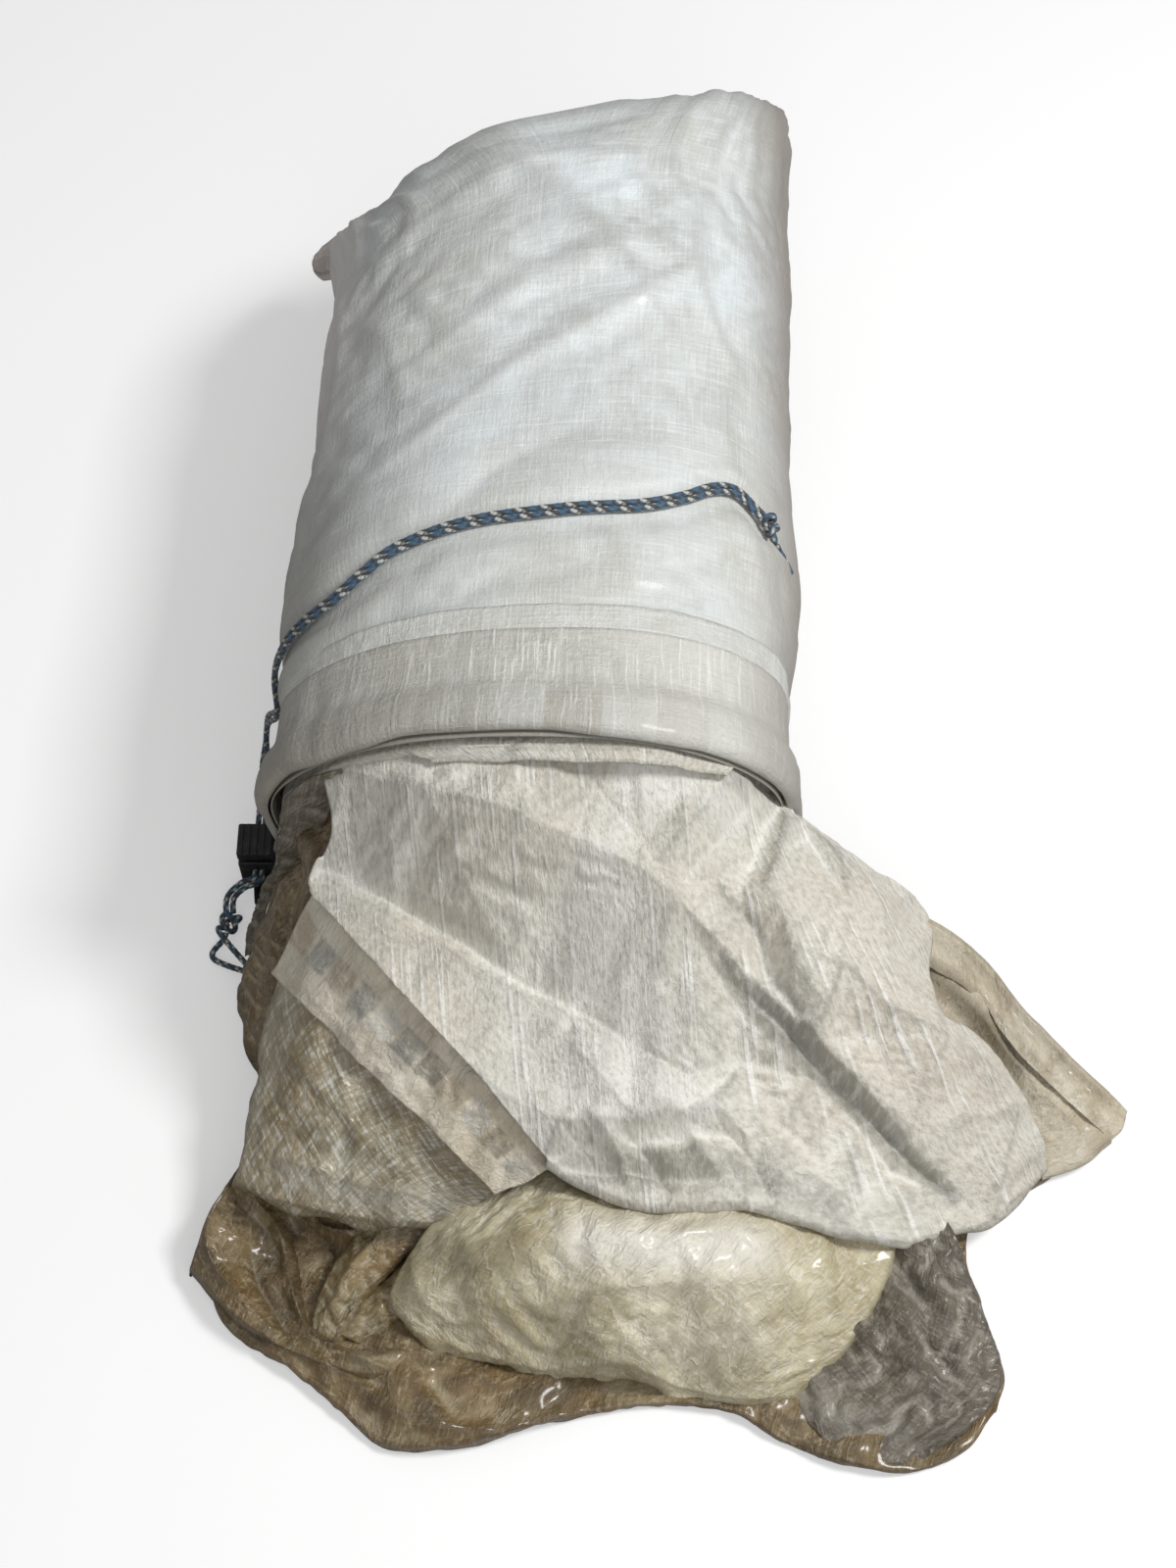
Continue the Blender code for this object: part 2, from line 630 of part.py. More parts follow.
def thin_plate(spots):
    """Smoothest height over the plan through hand-set spot heights (x, out, z)."""
    table = np.array(spots, dtype=float) / 100.0
    places, heights = table[:, :2], table[:, 2]
    count = len(table)

    def bend(squares):
        return squares * np.log(np.maximum(squares, 1e-9))

    apart = ((places[:, None, :] - places[None, :, :]) ** 2).sum(axis=2)
    system = np.zeros((count + 3, count + 3))
    system[:count, :count] = bend(apart) + 0.002 * np.eye(count)
    system[:count, count] = 1.0
    system[:count, count + 1:] = places
    system[count:, :count] = system[:count, count:].T
    weights = np.linalg.solve(system, np.append(heights, (0.0, 0.0, 0.0)))

    def height(x, out):
        spot = np.array((x, out)) / 100.0
        reach = ((places - spot) ** 2).sum(axis=1)
        level = weights[:count] @ bend(reach) + weights[count] + weights[count + 1:] @ spot
        return float(level * 100.0)

    return height


def fold_height(folds, x, out):
    """Height that the folds add: each is a polyline, a height and a half width."""
    total = 0.0
    spot = Vector((x, out))
    for line, tall, wide in folds:
        nearest = min(span_distance(spot, Vector(a), Vector(b)) for a, b in zip(line, line[1:]))
        total += tall * math.exp(-(nearest / wide) ** 2)
    return total


def span_distance(spot, start, end):
    """Distance from a spot to a straight span."""
    span = end - start
    share = min(max((spot - start).dot(span) / span.length_squared, 0.0), 1.0)
    return (spot - start.lerp(end, share)).length


def joined(*curves):
    """Closed outline from curves that meet end to end, rounded between their ends."""
    outline = []
    for curve in curves:
        rounded = smooth_path([(x, out, 0.0) for x, out in curve], 7.0) if len(curve) > 2 else [
            Vector((x, out, 0.0)) for x, out in curve]
        outline += [(p.x, p.y) for p in rounded[:-1]]
    return outline


def back(curve):
    """A curve read from its far end."""
    return tuple(reversed(curve))


def signed_area(outline):
    """Area of an outline, positive when it runs anticlockwise."""
    pairs = zip(outline, outline[1:] + outline[:1])
    return sum(a[0] * b[1] - b[0] * a[1] for a, b in pairs) / 2


def inset(outline, distance):
    """Outline moved inwards by a small distance."""
    moved = []
    count = len(outline)
    for i in range(count):
        before, here, after = (Vector(outline[k % count]) for k in (i - 1, i, i + 1))
        first, second = (here - before).normalized(), (after - here).normalized()
        inward = Vector((-first.y - second.y, first.x + second.x))
        moved.append(here + inward * distance / max(1.0 + first.dot(second), 0.35))
    return [(p.x, p.y) for p in moved]


def inner_spots(outline, spacing):
    """Even triangular lattice of points well inside an outline."""
    spans = [(Vector(a), Vector(b)) for a, b in zip(outline, outline[1:] + outline[:1])]
    lows = [min(p[k] for p in outline) for k in (0, 1)]
    highs = [max(p[k] for p in outline) for k in (0, 1)]
    rise = spacing * math.sqrt(3.0) / 2
    spots = []
    for row in range(int((highs[1] - lows[1]) / rise) + 1):
        out = lows[1] + row * rise
        for column in range(int((highs[0] - lows[0]) / spacing) + 2):
            x = lows[0] + (column + 0.5 * (row % 2)) * spacing
            crossings = sum((a.y > out) != (b.y > out) and x < a.x + (b.x - a.x) * (out - a.y) / (b.y - a.y)
                            for a, b in spans)
            if crossings % 2 and min(span_distance(Vector((x, out)), a, b) for a, b in spans) > spacing * 0.55:
                spots.append((x, out))
    return spots


def triangulated(boundary, inside):
    """Triangles inside a closed boundary, through the inner points as well."""
    count = len(boundary)
    points = [Vector(p) for p in boundary + inside]
    edges = [(i, (i + 1) % count) for i in range(count)]
    _, _, faces, sources, _, _ = delaunay_2d_cdt(points, edges, [], 1, 1e-6)
    order = [source[0] for source in sources]
    return [tuple(order[i] for i in face) for face in faces]


def cloth(name, outline, top, look, spacing=8.0, underside=None):
    """One fold of cloth: a rounded outline in plan, a shaped top and a flat or given underside."""
    if signed_area(outline) < 0:
        outline = outline[::-1]
    outline = inset(outline, PIECE_INSET)
    inside = inner_spots(outline, spacing)
    plan = outline + inside
    floor = TENT_FLOOR / MM

    def under(x, out):
        return underside(x, out) if underside else floor

    def place(x, out, z):
        return Vector((x * MOUTH_RATIO * MM, MOUTH_Y - out * MM, z * MM))

    tops = [place(x, out, max(top(x, out) * HEIGHT_RATIO, under(x, out) + THIN_EDGE / MM)) for x, out in plan]
    faces = triangulated(outline, inside)
    bottom_spots = plan if underside else outline
    bottoms = [place(x, out, under(x, out)) for x, out in bottom_spots]
    below = len(tops)
    bottom_faces = faces if underside else triangulated(outline, [])
    faces = faces + [tuple(below + i for i in reversed(face)) for face in bottom_faces]
    count = len(outline)
    for i in range(count):
        k = (i + 1) % count
        faces.append((i, below + i, below + k, k))
    finish(solid(name, tops + bottoms, faces, 60.0), *look)


# Junctions and shared lines of the spilled pieces
RIM_LEFT = (-54, 0.3)
RIM_VALLEY = (77, 0.3)
RIM_RIGHT = (84, 0.3)
RIM_GUSSET = (-74, 0.3)
BAND_START = (-66, 24)
BAND_LOW_START = (-80, 38)
BAND_END = (7, 100)
BAND_LOW_END = (-10, 107)
PANEL_END = (-22, 110)
PANEL_CORNER = (-91, 96)
GUSSET_CORNER = (-86, 58)
VALLEY_END = (130, 109)
LOBE_MESH = (117, 114)
MESH_END = (83, 158)
SWIRL_END = (-34, 141)
HEM_START = (131, 22)
HEM_INNER = (130, 34)
FLAP_TIP = (198, 69)
FLAP_INNER = (192, 76)
FLAP_END = (169, 84)

VALLEY = (RIM_VALLEY, (79, 16), (71, 33), (73, 48), (81, 60), (100, 76), VALLEY_END)
CANOPY_LOW = (LOBE_MESH, (95, 113), (68, 109), (35, 110), BAND_END)
BAND_TOP = (BAND_END, (-2, 91), (-17, 75), (-35, 59), (-58, 36), BAND_START)
BAND_LOW = (BAND_LOW_START, (-72, 50), (-49, 73), (-31, 89), BAND_LOW_END)
CANOPY_LEFT = (BAND_START, (-58, 10), RIM_LEFT)
FAN_FLAP = (HEM_INNER, (129, 42), (133, 52), (147, 57), (161, 71), FLAP_END)
HEM_LINE = (HEM_INNER, (147, 39), (163, 56), FLAP_INNER)
PANEL_SWIRL = (PANEL_END, (-40, 110), (-64, 106), (-77, 102), PANEL_CORNER)
GUSSET_LIFT = 17.0
TUCK_GAP = 2.4
TUCK_RISE = 7.0
GUSSET_PANEL = (GUSSET_CORNER, (-84, 48), BAND_LOW_START)
LOBE_SWIRL = (PANEL_END, (-23, 119), (-32, 130), SWIRL_END)
LOBE_EDGE_MESH = (LOBE_MESH, (113, 124), (108, 133), (97, 147), MESH_END)

CANOPY_SPOTS = (
    (-62, 2, 108), (-56, 4, 117), (-31, 2, 127), (8, 2, 129), (60, 2, 122), (76, 2, 108), (-33, 15, 126),
    (20, 25, 121), (46, 37, 112), (67, 50, 93), (96, 72, 62), (125, 104, 28), (-66, 24, 90), (-58, 36, 88),
    (-35, 59, 80), (-17, 75, 72), (-2, 91, 62), (7, 99, 54), (35, 109, 48), (68, 108, 45), (100, 112, 32),
    (117, 113, 25), (-20, 45, 98), (20, 60, 88), (40, 80, 70), (70, 85, 56), (76, 18, 96), (72, 35, 90))
CANOPY_FOLDS = (
    (((52, 46), (68, 60), (86, 78), (108, 98)), -11.0, 6.0),
    (((-62, 12), (-20, 22), (20, 30), (46, 40), (68, 52), (96, 74), (124, 102)), 5.0, 7.0),
    (((-58, 30), (-20, 55), (20, 78), (60, 98)), 4.0, 6.0))
FAN_SPOTS = (
    (78, 2, 108), (84, 2, 96), (103, 12, 82), (126, 18, 63), (131, 24, 55), (129, 34, 54), (132, 52, 50),
    (147, 57, 40), (161, 71, 28), (169, 84, 12), (167, 95, 9), (150, 103, 13), (130, 109, 20), (100, 76, 50),
    (81, 60, 66), (73, 48, 80), (71, 33, 90), (78, 16, 98), (100, 40, 68), (122, 75, 46))
FAN_FOLDS = (
    (((86, 6), (90, 34), (104, 62), (120, 88)), 6.0, 6.0),
    (((96, 14), (116, 46), (140, 84)), 5.0, 6.0))
FLAP_SPOTS = (
    (133, 34, 50), (150, 42, 34), (163, 56, 24), (190, 75, 9), (180, 81, 8), (169, 84, 10), (161, 71, 22),
    (147, 57, 34), (132, 52, 44))
FLAP_HEM_SPOTS = (
    (131, 24, 54), (150, 28, 38), (169, 47, 27), (198, 69, 9), (192, 76, 9), (163, 56, 26), (147, 39, 37),
    (130, 34, 52))
BAND_SPOTS = (
    (7, 99, 52), (-2, 91, 60), (-17, 75, 69), (-35, 59, 77), (-58, 36, 84), (-66, 26, 86), (-80, 38, 57),
    (-72, 50, 61), (-49, 73, 59), (-31, 89, 54), (-10, 107, 45))
PANEL_SPOTS = (
    (-80, 38, 54), (-72, 50, 58), (-49, 73, 56), (-31, 89, 51), (-10, 107, 42), (-22, 110, 35), (-40, 110, 32),
    (-64, 106, 30), (-77, 102, 30), (-91, 96, 26), (-88, 80, 32), (-86, 66, 36), (-86, 58, 38), (-75, 75, 46),
    (-50, 95, 38))
GUSSET_SPOTS = (
    (-55, 2, 110), (-64, 2, 96), (-74, 2, 62), (-76, 25, 46), (-85, 45, 38), (-86, 58, 36), (-84, 48, 40),
    (-80, 38, 52), (-66, 24, 86), (-62, 12, 96))
SWIRL_SPOTS = (
    (-91, 96, 24), (-98, 104, 16), (-106, 120, 9), (-92, 135, 9), (-71, 147, 9), (-46, 153, 9), (-34, 141, 13),
    (-32, 130, 17), (-23, 119, 26), (-22, 110, 32), (-40, 110, 28), (-64, 106, 26), (-77, 102, 26),
    (-60, 125, 10), (-75, 122, 16), (-48, 130, 9))
SWIRL_FOLDS = (
    (((-95, 108), (-82, 124), (-60, 138), (-42, 146)), 5.0, 4.0),
    (((-78, 108), (-62, 116), (-50, 128)), 5.0, 4.0))
LOBE_SPOTS = (
    (-22, 110, 34), (-10, 107, 40), (7, 100, 45), (35, 110, 44), (68, 109, 42), (95, 113, 30), (117, 114, 23),
    (108, 133, 16), (97, 147, 11), (83, 158, 8), (69, 163, 8), (50, 162, 8), (7, 155, 9), (-17, 147, 10),
    (-34, 141, 10), (-32, 130, 15), (10, 125, 45), (45, 130, 43), (75, 130, 36), (20, 145, 27), (60, 148, 23))
LOBE_FOLDS = (
    (((-20, 114), (20, 132), (70, 140), (98, 134)), 3.0, 5.0),
    (((-10, 138), (30, 150), (70, 152)), 2.5, 4.0))
MESH_SPOTS = (
    (117, 114, 19), (130, 109, 17), (140, 132, 11), (147, 152, 8), (143, 163, 8), (133, 171, 8), (118, 178, 8),
    (102, 175, 8), (83, 158, 8), (97, 147, 10), (108, 133, 14), (125, 140, 13), (115, 160, 11))
MESH_FOLDS = (
    (((122, 122), (128, 142), (118, 160)), 4.0, 4.0),
    (((134, 126), (138, 148), (126, 168)), 3.0, 4.0))

CANOPY_LOOK = ((0.66, 0.63, 0.57), 0.5)
LAMINATE_LOOK = ((0.66, 0.61, 0.47), 0.35)
TAN_LOOK = ((0.52, 0.46, 0.34), 0.35)
OLIVE_LOOK = ((0.56, 0.50, 0.30), 0.32)
BROWN_LOOK = ((0.44, 0.35, 0.22), 0.35)
MESH_LOOK = ((0.22, 0.20, 0.18), 0.6)


def make_spill():
    """The cloth that has come out of the mouth."""
    canopy_smooth = thin_plate(CANOPY_SPOTS)

    def canopy_top(x, out):
        return min(canopy_smooth(x, out) + fold_height(CANOPY_FOLDS, x, out), 130.0)

    def shaped(spots, folds=()):
        smooth_height = thin_plate(spots)
        return lambda x, out: smooth_height(x, out) + fold_height(folds, x, out)

    valley_low = (VALLEY_END, LOBE_MESH)
    rim = (RIM_LEFT, (12, 0.3), RIM_VALLEY)
    cloth("canopy_main", joined(rim, VALLEY, valley_low, CANOPY_LOW, BAND_TOP, CANOPY_LEFT),
          canopy_top, CANOPY_LOOK, 7.0)
    fan_edge = (RIM_RIGHT, (103, 12), (126, 17), HEM_START)
    fan_low = (FLAP_END, (167, 95), (150, 103), VALLEY_END)
    cloth("canopy_side_fan", joined((RIM_VALLEY, RIM_RIGHT), fan_edge, (HEM_START, HEM_INNER), FAN_FLAP,
                                    fan_low, back(VALLEY)), shaped(FAN_SPOTS, FAN_FOLDS), CANOPY_LOOK, 7.0)
    flap_low = (FLAP_INNER, (180, 82), FLAP_END)
    cloth("side_flap", joined(HEM_LINE, flap_low, back(FAN_FLAP)), shaped(FLAP_SPOTS), LAMINATE_LOOK)
    hem_edge = (HEM_START, (150, 28), (169, 47), FLAP_TIP)
    cloth("side_flap_hem", joined(hem_edge, (FLAP_TIP, FLAP_INNER), back(HEM_LINE), (HEM_INNER, HEM_START)),
          shaped(FLAP_HEM_SPOTS), LAMINATE_LOOK)
    cloth("canopy_seam_band", joined(back(BAND_TOP), (BAND_END, BAND_LOW_END), back(BAND_LOW),
                                     (BAND_LOW_START, BAND_START)), shaped(BAND_SPOTS), LAMINATE_LOOK)
    panel_edge = (PANEL_CORNER, (-88, 80), (-86, 66), GUSSET_CORNER)
    cloth("corner_panel", joined(BAND_LOW, (BAND_LOW_END, PANEL_END), PANEL_SWIRL, panel_edge, GUSSET_PANEL),
          shaped(PANEL_SPOTS), TAN_LOOK)
    gusset_edge = (GUSSET_CORNER, (-84, 44), (-76, 24), RIM_GUSSET)
    cloth("left_gusset", joined(back(CANOPY_LEFT), (BAND_START, BAND_LOW_START), back(GUSSET_PANEL),
                                gusset_edge, (RIM_GUSSET, RIM_LEFT)), shaped(GUSSET_SPOTS), BROWN_LOOK,
          underside=lambda x, out: TENT_FLOOR / MM + GUSSET_LIFT * (1.0 - ease((out - 20.0) / 18.0)))
    swirl_edge = (PANEL_CORNER, (-98, 104), (-106, 120), (-92, 135), (-71, 147), (-46, 153), SWIRL_END)
    cloth("corner_swirl", joined(swirl_edge, back(LOBE_SWIRL), PANEL_SWIRL), shaped(SWIRL_SPOTS, SWIRL_FOLDS),
          BROWN_LOOK, 6.0)
    lobe_edge = (MESH_END, (69, 163), (50, 162), (7, 155), (-17, 147), SWIRL_END)
    cloth("floor_lobe", joined((PANEL_END, BAND_LOW_END), (BAND_LOW_END, BAND_END), back(CANOPY_LOW),
                               LOBE_EDGE_MESH, lobe_edge, back(LOBE_SWIRL)), shaped(LOBE_SPOTS, LOBE_FOLDS),
          OLIVE_LOOK, 7.0)
    mesh_edge = (VALLEY_END, (140, 132), (147, 152), (143, 163), (133, 171), (118, 178), (102, 175), MESH_END)
    cloth("mesh_lobe", joined((LOBE_MESH, VALLEY_END), mesh_edge, back(LOBE_EDGE_MESH)),
          shaped(MESH_SPOTS, MESH_FOLDS), MESH_LOOK, 6.0)

    tuck_rim = ((-26, 0.3), (16, 0.3), (58, 0.3))
    tuck_front = ((58, 0.3), (52, 8), (20, 10), (-16, 8), (-26, 0.3))
    cloth("canopy_tuck", joined(tuck_rim, tuck_front),
          lambda x, out: canopy_top(x, out) + TUCK_RISE - 0.2 * out, CANOPY_LOOK, 7.0,
          lambda x, out: canopy_top(x, out) * HEIGHT_RATIO + TUCK_GAP)
    make_back_layer()


def make_back_layer():
    """Flat ground layer that the other folds lie on, in front of the mouth."""
    near = ((-12, 1.0), (84, 1.0))
    edge = ((84, 1.0), (126, 24), (150, 34), (168, 52), (186, 72), (168, 88), (142, 106), (142, 134), (148, 153),
            (144, 165), (134, 173), (118, 180), (100, 178), (81, 172), (63, 163), (38, 161), (7, 166), (-20, 173),
            (-42, 172), (-58, 162), (-73, 149), (-93, 137), (-107, 121), (-99, 103), (-93, 95), (-88, 78),
            (-86, 52))
    inner = ((-86, 52), (-30, 42), (-14, 24), (-12, 1.0))
    outline = joined(near, edge, inner)
    if signed_area(outline) < 0:
        outline = outline[::-1]
    points = []
    for z in (SLAB_TOP, 0.0):
        points += [Vector((x * MOUTH_RATIO * MM, MOUTH_Y - out * MM, z)) for x, out in outline]
    count = len(outline)
    flat = triangulated(outline, [])
    faces = flat + [tuple(count + i for i in reversed(face)) for face in flat]
    faces += [(i, count + i, count + (i + 1) % count, (i + 1) % count) for i in range(count)]
    finish(solid("ground_layer", points, faces, 60.0), *BROWN_LOOK)


def main():
    """Build the whole object."""
    clear_scene()
    make_sack()
    make_drawcord()
    make_lock()
    make_stowed()
    make_spill()


if __name__ == "__main__":
    main()
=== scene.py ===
"""Looks of a composite-cloth tent spilling out of its drawcord stuff sack.

The packed model is the frame: metres, +Z up, the sack's mouth towards -Y. Plan tables are in
millimetres: x, then the distance out of the mouth.
"""

from __future__ import annotations

import logging
import math
from dataclasses import dataclass, field, replace
from enum import Enum
from typing import Callable, ClassVar, Sequence

import bpy
import numpy as np
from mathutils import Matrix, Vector
from mathutils.geometry import delaunay_2d_cdt

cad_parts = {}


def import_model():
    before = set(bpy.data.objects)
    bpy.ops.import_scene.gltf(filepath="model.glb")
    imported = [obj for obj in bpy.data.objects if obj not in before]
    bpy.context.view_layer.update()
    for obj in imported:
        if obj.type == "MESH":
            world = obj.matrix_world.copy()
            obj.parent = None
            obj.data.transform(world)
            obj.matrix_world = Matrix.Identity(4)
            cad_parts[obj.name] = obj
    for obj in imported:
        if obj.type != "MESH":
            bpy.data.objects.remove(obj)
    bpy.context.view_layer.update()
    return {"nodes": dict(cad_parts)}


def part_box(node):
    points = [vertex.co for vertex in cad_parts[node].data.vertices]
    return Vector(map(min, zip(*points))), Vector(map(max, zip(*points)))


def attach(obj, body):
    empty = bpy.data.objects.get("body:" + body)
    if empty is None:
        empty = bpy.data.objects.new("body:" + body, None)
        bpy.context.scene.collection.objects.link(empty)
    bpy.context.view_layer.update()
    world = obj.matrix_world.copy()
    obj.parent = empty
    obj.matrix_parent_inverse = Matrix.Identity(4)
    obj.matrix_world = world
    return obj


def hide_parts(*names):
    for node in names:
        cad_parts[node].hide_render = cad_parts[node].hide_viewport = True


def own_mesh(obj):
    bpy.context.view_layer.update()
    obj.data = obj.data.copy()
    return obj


LOG = logging.getLogger("tent")
MM = 0.001
TAU = math.tau
MOUTH_Y = -0.145
# Skew that makes a square lattice's triangles equal-sided: (sqrt(3) - 1) / 2
SKEW = 0.3660254
# Mean radius of the sack's wall, and millimetres round its hem for a degree
WALL_RADIUS = 0.082
HEM_RUN = 1.43
# Lowest height of the sack's hem and tapes, and the thickness of each cloth
LEAST_HEIGHT = 0.0002
CLOTH_THICK = 0.0004
HEM_THICK = 0.0005
TAPE_THICK = 0.0003
# Rows of a sheet's tongue into the mouth
INLET_ROWS = 12

Array = np.ndarray
Curve = Sequence[tuple[float, float]]
Colour = tuple[float, float, float]
Socket = bpy.types.NodeSocket


class Body(str, Enum):
    """Rigid bodies that pieces ride on."""

    SACK = "sack"
    TENT = "tent"
    LOCK = "cord_lock"


# Arrays


def ease(share: Array) -> Array:
    """Smooth step from 0 to 1: 3t^2 - 2t^3 on the clamped share."""
    share = np.clip(share, 0.0, 1.0)
    return share * share * (3.0 - 2.0 * share)


def past(value: Array, start: Array | float, width: float) -> Array:
    """Smooth step from 0 at a start to 1 a width beyond it."""
    return ease((value - start) / width)


def short_of(value: Array, end: Array | float, width: float) -> Array:
    """Smooth step from 1 a width short of an end to 0 at it."""
    return ease((end - value) / width)


def signed_power(value: Array, exponent: Array | float) -> Array:
    """Power that keeps the sign, for superellipses."""
    return np.sign(value) * np.abs(value) ** exponent


def lattice(i: Array, j: Array, seed: int) -> Array:
    """Fixed pseudo-random value in 0..1 for each whole-number lattice point.

    Args:
        i: column of each lattice point.
        j: row of each lattice point.
        seed: start of the random order.

    Returns:
        The values.
    """
    n = (i.astype(np.int64) * 374761393 + j.astype(np.int64) * 668265263 + seed * 1442695041) & 0xFFFFFFFF
    n = ((n ^ (n >> 13)) * 1274126177) & 0xFFFFFFFF
    return ((n ^ (n >> 16)) & 0xFFFF) / 65535.0


def swell(x: Array, y: Array, size: float, seed: int) -> Array:
    """Smooth value noise in -1..1: lattice values joined by the smooth step.

    Args:
        x: first plan coordinate of each point.
        y: second plan coordinate of each point.
        size: cell in the same unit.
        seed: start of the random order.

    Returns:
        The noise.
    """
    u, v = x / size, y / size
    i, j = np.floor(u), np.floor(v)
    a, b = ease(u - i), ease(v - j)
    low = lattice(i, j, seed) * (1 - a) + lattice(i + 1, j, seed) * a
    high = lattice(i, j + 1, seed) * (1 - a) + lattice(i + 1, j + 1, seed) * a
    return 2.0 * (low * (1 - b) + high * b) - 1.0


def facets(x: Array, y: Array, size: float, seed: int) -> Array:
    """Flat facets between straight creases, in -1..1: lattice heights joined linearly over triangles.

    Args:
        x: first plan coordinate of each point.
        y: second plan coordinate of each point.
        size: cell in the same unit.
        seed: start of the random order.

    Returns:
        The heights.
    """
    x = x + 0.35 * size * swell(x, y, 1.7 * size, seed + 7)
    y = y + 0.35 * size * swell(x, y, 1.7 * size, seed + 8)
    u, v = x / size, y / size
    skew = (u + v) * SKEW
    i, j = np.floor(u + skew), np.floor(v + skew)
    a, b = u + skew - i, v + skew - j
    corner = lattice(i + 1, j + 1, seed)
    start = lattice(i, j, seed)
    right = start * (1 - a) + lattice(i + 1, j, seed) * (a - b) + corner * b
    left = start * (1 - b) + lattice(i, j + 1, seed) * (b - a) + corner * a
    return 2.0 * np.where(a > b, right, left) - 1.0


def crumple(x: Array, y: Array, size: float, seed: int) -> Array:
    """Crushed cloth, about -1..1: facets at three sizes with sharp ridges where they cross their middle.

    Args:
        x: first plan coordinate of each point.
        y: second plan coordinate of each point.
        size: cell in the same unit.
        seed: start of the random order.

    Returns:
        The heights.
    """
    coarse = facets(x, y, size, seed)
    middle = facets(x + 0.4 * y, y, size * 0.46, seed + 1)
    fine = facets(x, y - 0.3 * x, size * 0.21, seed + 2)
    ridges = 0.5 - np.abs(facets(x, y, size * 0.62, seed + 3))
    return 0.50 * coarse + 0.26 * middle + 0.12 * fine + 0.34 * ridges


def thin_plate(spots: Sequence[tuple[float, float, float]]) -> Callable[[Array, Array], Array]:
    """Smoothest height over the plan through given spot heights (x, out, z).

    Args:
        spots: the places and their heights.

    Returns:
        Function of x and out that gives the height.
    """
    table = np.array(spots, float) / 100.0
    places, heights = table[:, :2], table[:, 2]
    count = len(table)

    def bend(squares: Array) -> Array:
        """The plate's kernel r^2 log r^2, from squared distances."""
        return squares * np.log(np.maximum(squares, 1e-9))

    apart = ((places[:, None] - places[None]) ** 2).sum(2)
    system = np.zeros((count + 3, count + 3))
    system[:count, :count] = bend(apart) + 0.002 * np.eye(count)
    system[:count, count] = 1.0
    system[:count, count + 1:] = places
    system[count:, :count] = system[:count, count:].T
    weights = np.linalg.solve(system, np.append(heights, (0.0, 0.0, 0.0)))

    def height(x: Array, out: Array) -> Array:
        """Height at plan points.

        Args:
            x: first plan coordinate of each point.
            out: distance out of the mouth of each point.

        Returns:
            The heights.
        """
        spot = np.stack([np.ravel(x), np.ravel(out)], 1) / 100.0
        reach = ((spot[:, None] - places[None]) ** 2).sum(2)
        level = bend(reach) @ weights[:count] + weights[count] + spot @ weights[count + 1:]
        return (level * 100.0).reshape(np.shape(x))

    return height


def crease_net(lines: Sequence[Curve]) -> Callable[[Array, Array], Array]:
    """Height over the plan that is flat between given crease lines.

    The lines are the fixed edges of a Delaunay triangulation, and the height is linear over each triangle.

    Args:
        lines: crease lines of (x, out, z) points.

    Returns:
        Function of x and out that gives the height, not a number outside the net.
    """
    spots = [spot for line in lines for spot in line]
    starts = np.cumsum([0] + [len(line) for line in lines])
    links = [(int(start) + k, int(start) + k + 1)
             for start, line in zip(starts, lines) for k in range(len(line) - 1)]
    flat = [Vector(spot[:2]) for spot in spots]
    corners, _, triangles, origins, _, _ = delaunay_2d_cdt(flat, links, [], 0, 0.05)
    smooth = thin_plate(list(dict.fromkeys(spots)))
    table = np.array([(*c, spots[o[0]][2] if o else float(smooth(np.array([c[0]]), np.array([c[1]]))[0]))
                      for c, o in zip(corners, origins)])

    def height(x: Array, out: Array) -> Array:
        """Linear height in whichever triangle holds each point.

        Args:
            x: first plan coordinate of each point.
            out: distance out of the mouth of each point.

        Returns:
            The heights.
        """
        z = np.full(x.shape, np.nan)
        for triangle in triangles:
            (xa, ya, za), (xb, yb, zb), (xc, yc, zc) = table[list(triangle)]
            area = (xb - xa) * (yc - ya) - (xc - xa) * (yb - ya)
            one = ((xb - x) * (yc - out) - (xc - x) * (yb - out)) / area
            two = ((xc - x) * (ya - out) - (xa - x) * (yc - out)) / area
            inside = (one > -1e-6) & (two > -1e-6) & (one + two < 1 + 1e-6)
            z = np.where(inside, one * za + two * zb + (1 - one - two) * zc, z)
        return z

    return height


def catmull_rom(a: Array, b: Array, c: Array, d: Array, t: Array) -> Array:
    """Catmull-Rom curve from b to c, with their neighbours a and d.

    Args:
        a: the point before.
        b: where it starts.
        c: where it ends.
        d: the point after.
        t: shares of the way from 0 to 1.

    Returns:
        The points.
    """
    return (2 * b + (c - a) * t + (2 * a - 5 * b + 4 * c - d) * t ** 2 + (3 * b - a - 3 * c + d) * t ** 3) / 2


def spline(controls: Sequence[Sequence[float]], count: int) -> Array:
    """Points at even steps along a Catmull-Rom curve through given points.

    Args:
        controls: the given points.
        count: how many points to give.

    Returns:
        The points.
    """
    knots = np.array(controls, float)
    if len(knots) == 2:
        return knots[0] + np.linspace(0, 1, count)[:, None] * (knots[1] - knots[0])
    knots = np.vstack([2 * knots[0] - knots[1], knots, 2 * knots[-1] - knots[-2]])
    t = np.linspace(0, 1, 16, endpoint=False)[:, None]
    fine = []
    for a, b, c, d in zip(knots, knots[1:], knots[2:], knots[3:]):
        fine.append(catmull_rom(a, b, c, d, t))
    line = np.vstack(fine + [knots[-2:-1]])
    along = np.append(0.0, np.cumsum(np.linalg.norm(np.diff(line, axis=0), axis=1)))
    at = np.linspace(0, along[-1], count)
    return np.stack([np.interp(at, along, line[:, k]) for k in range(line.shape[1])], 1)


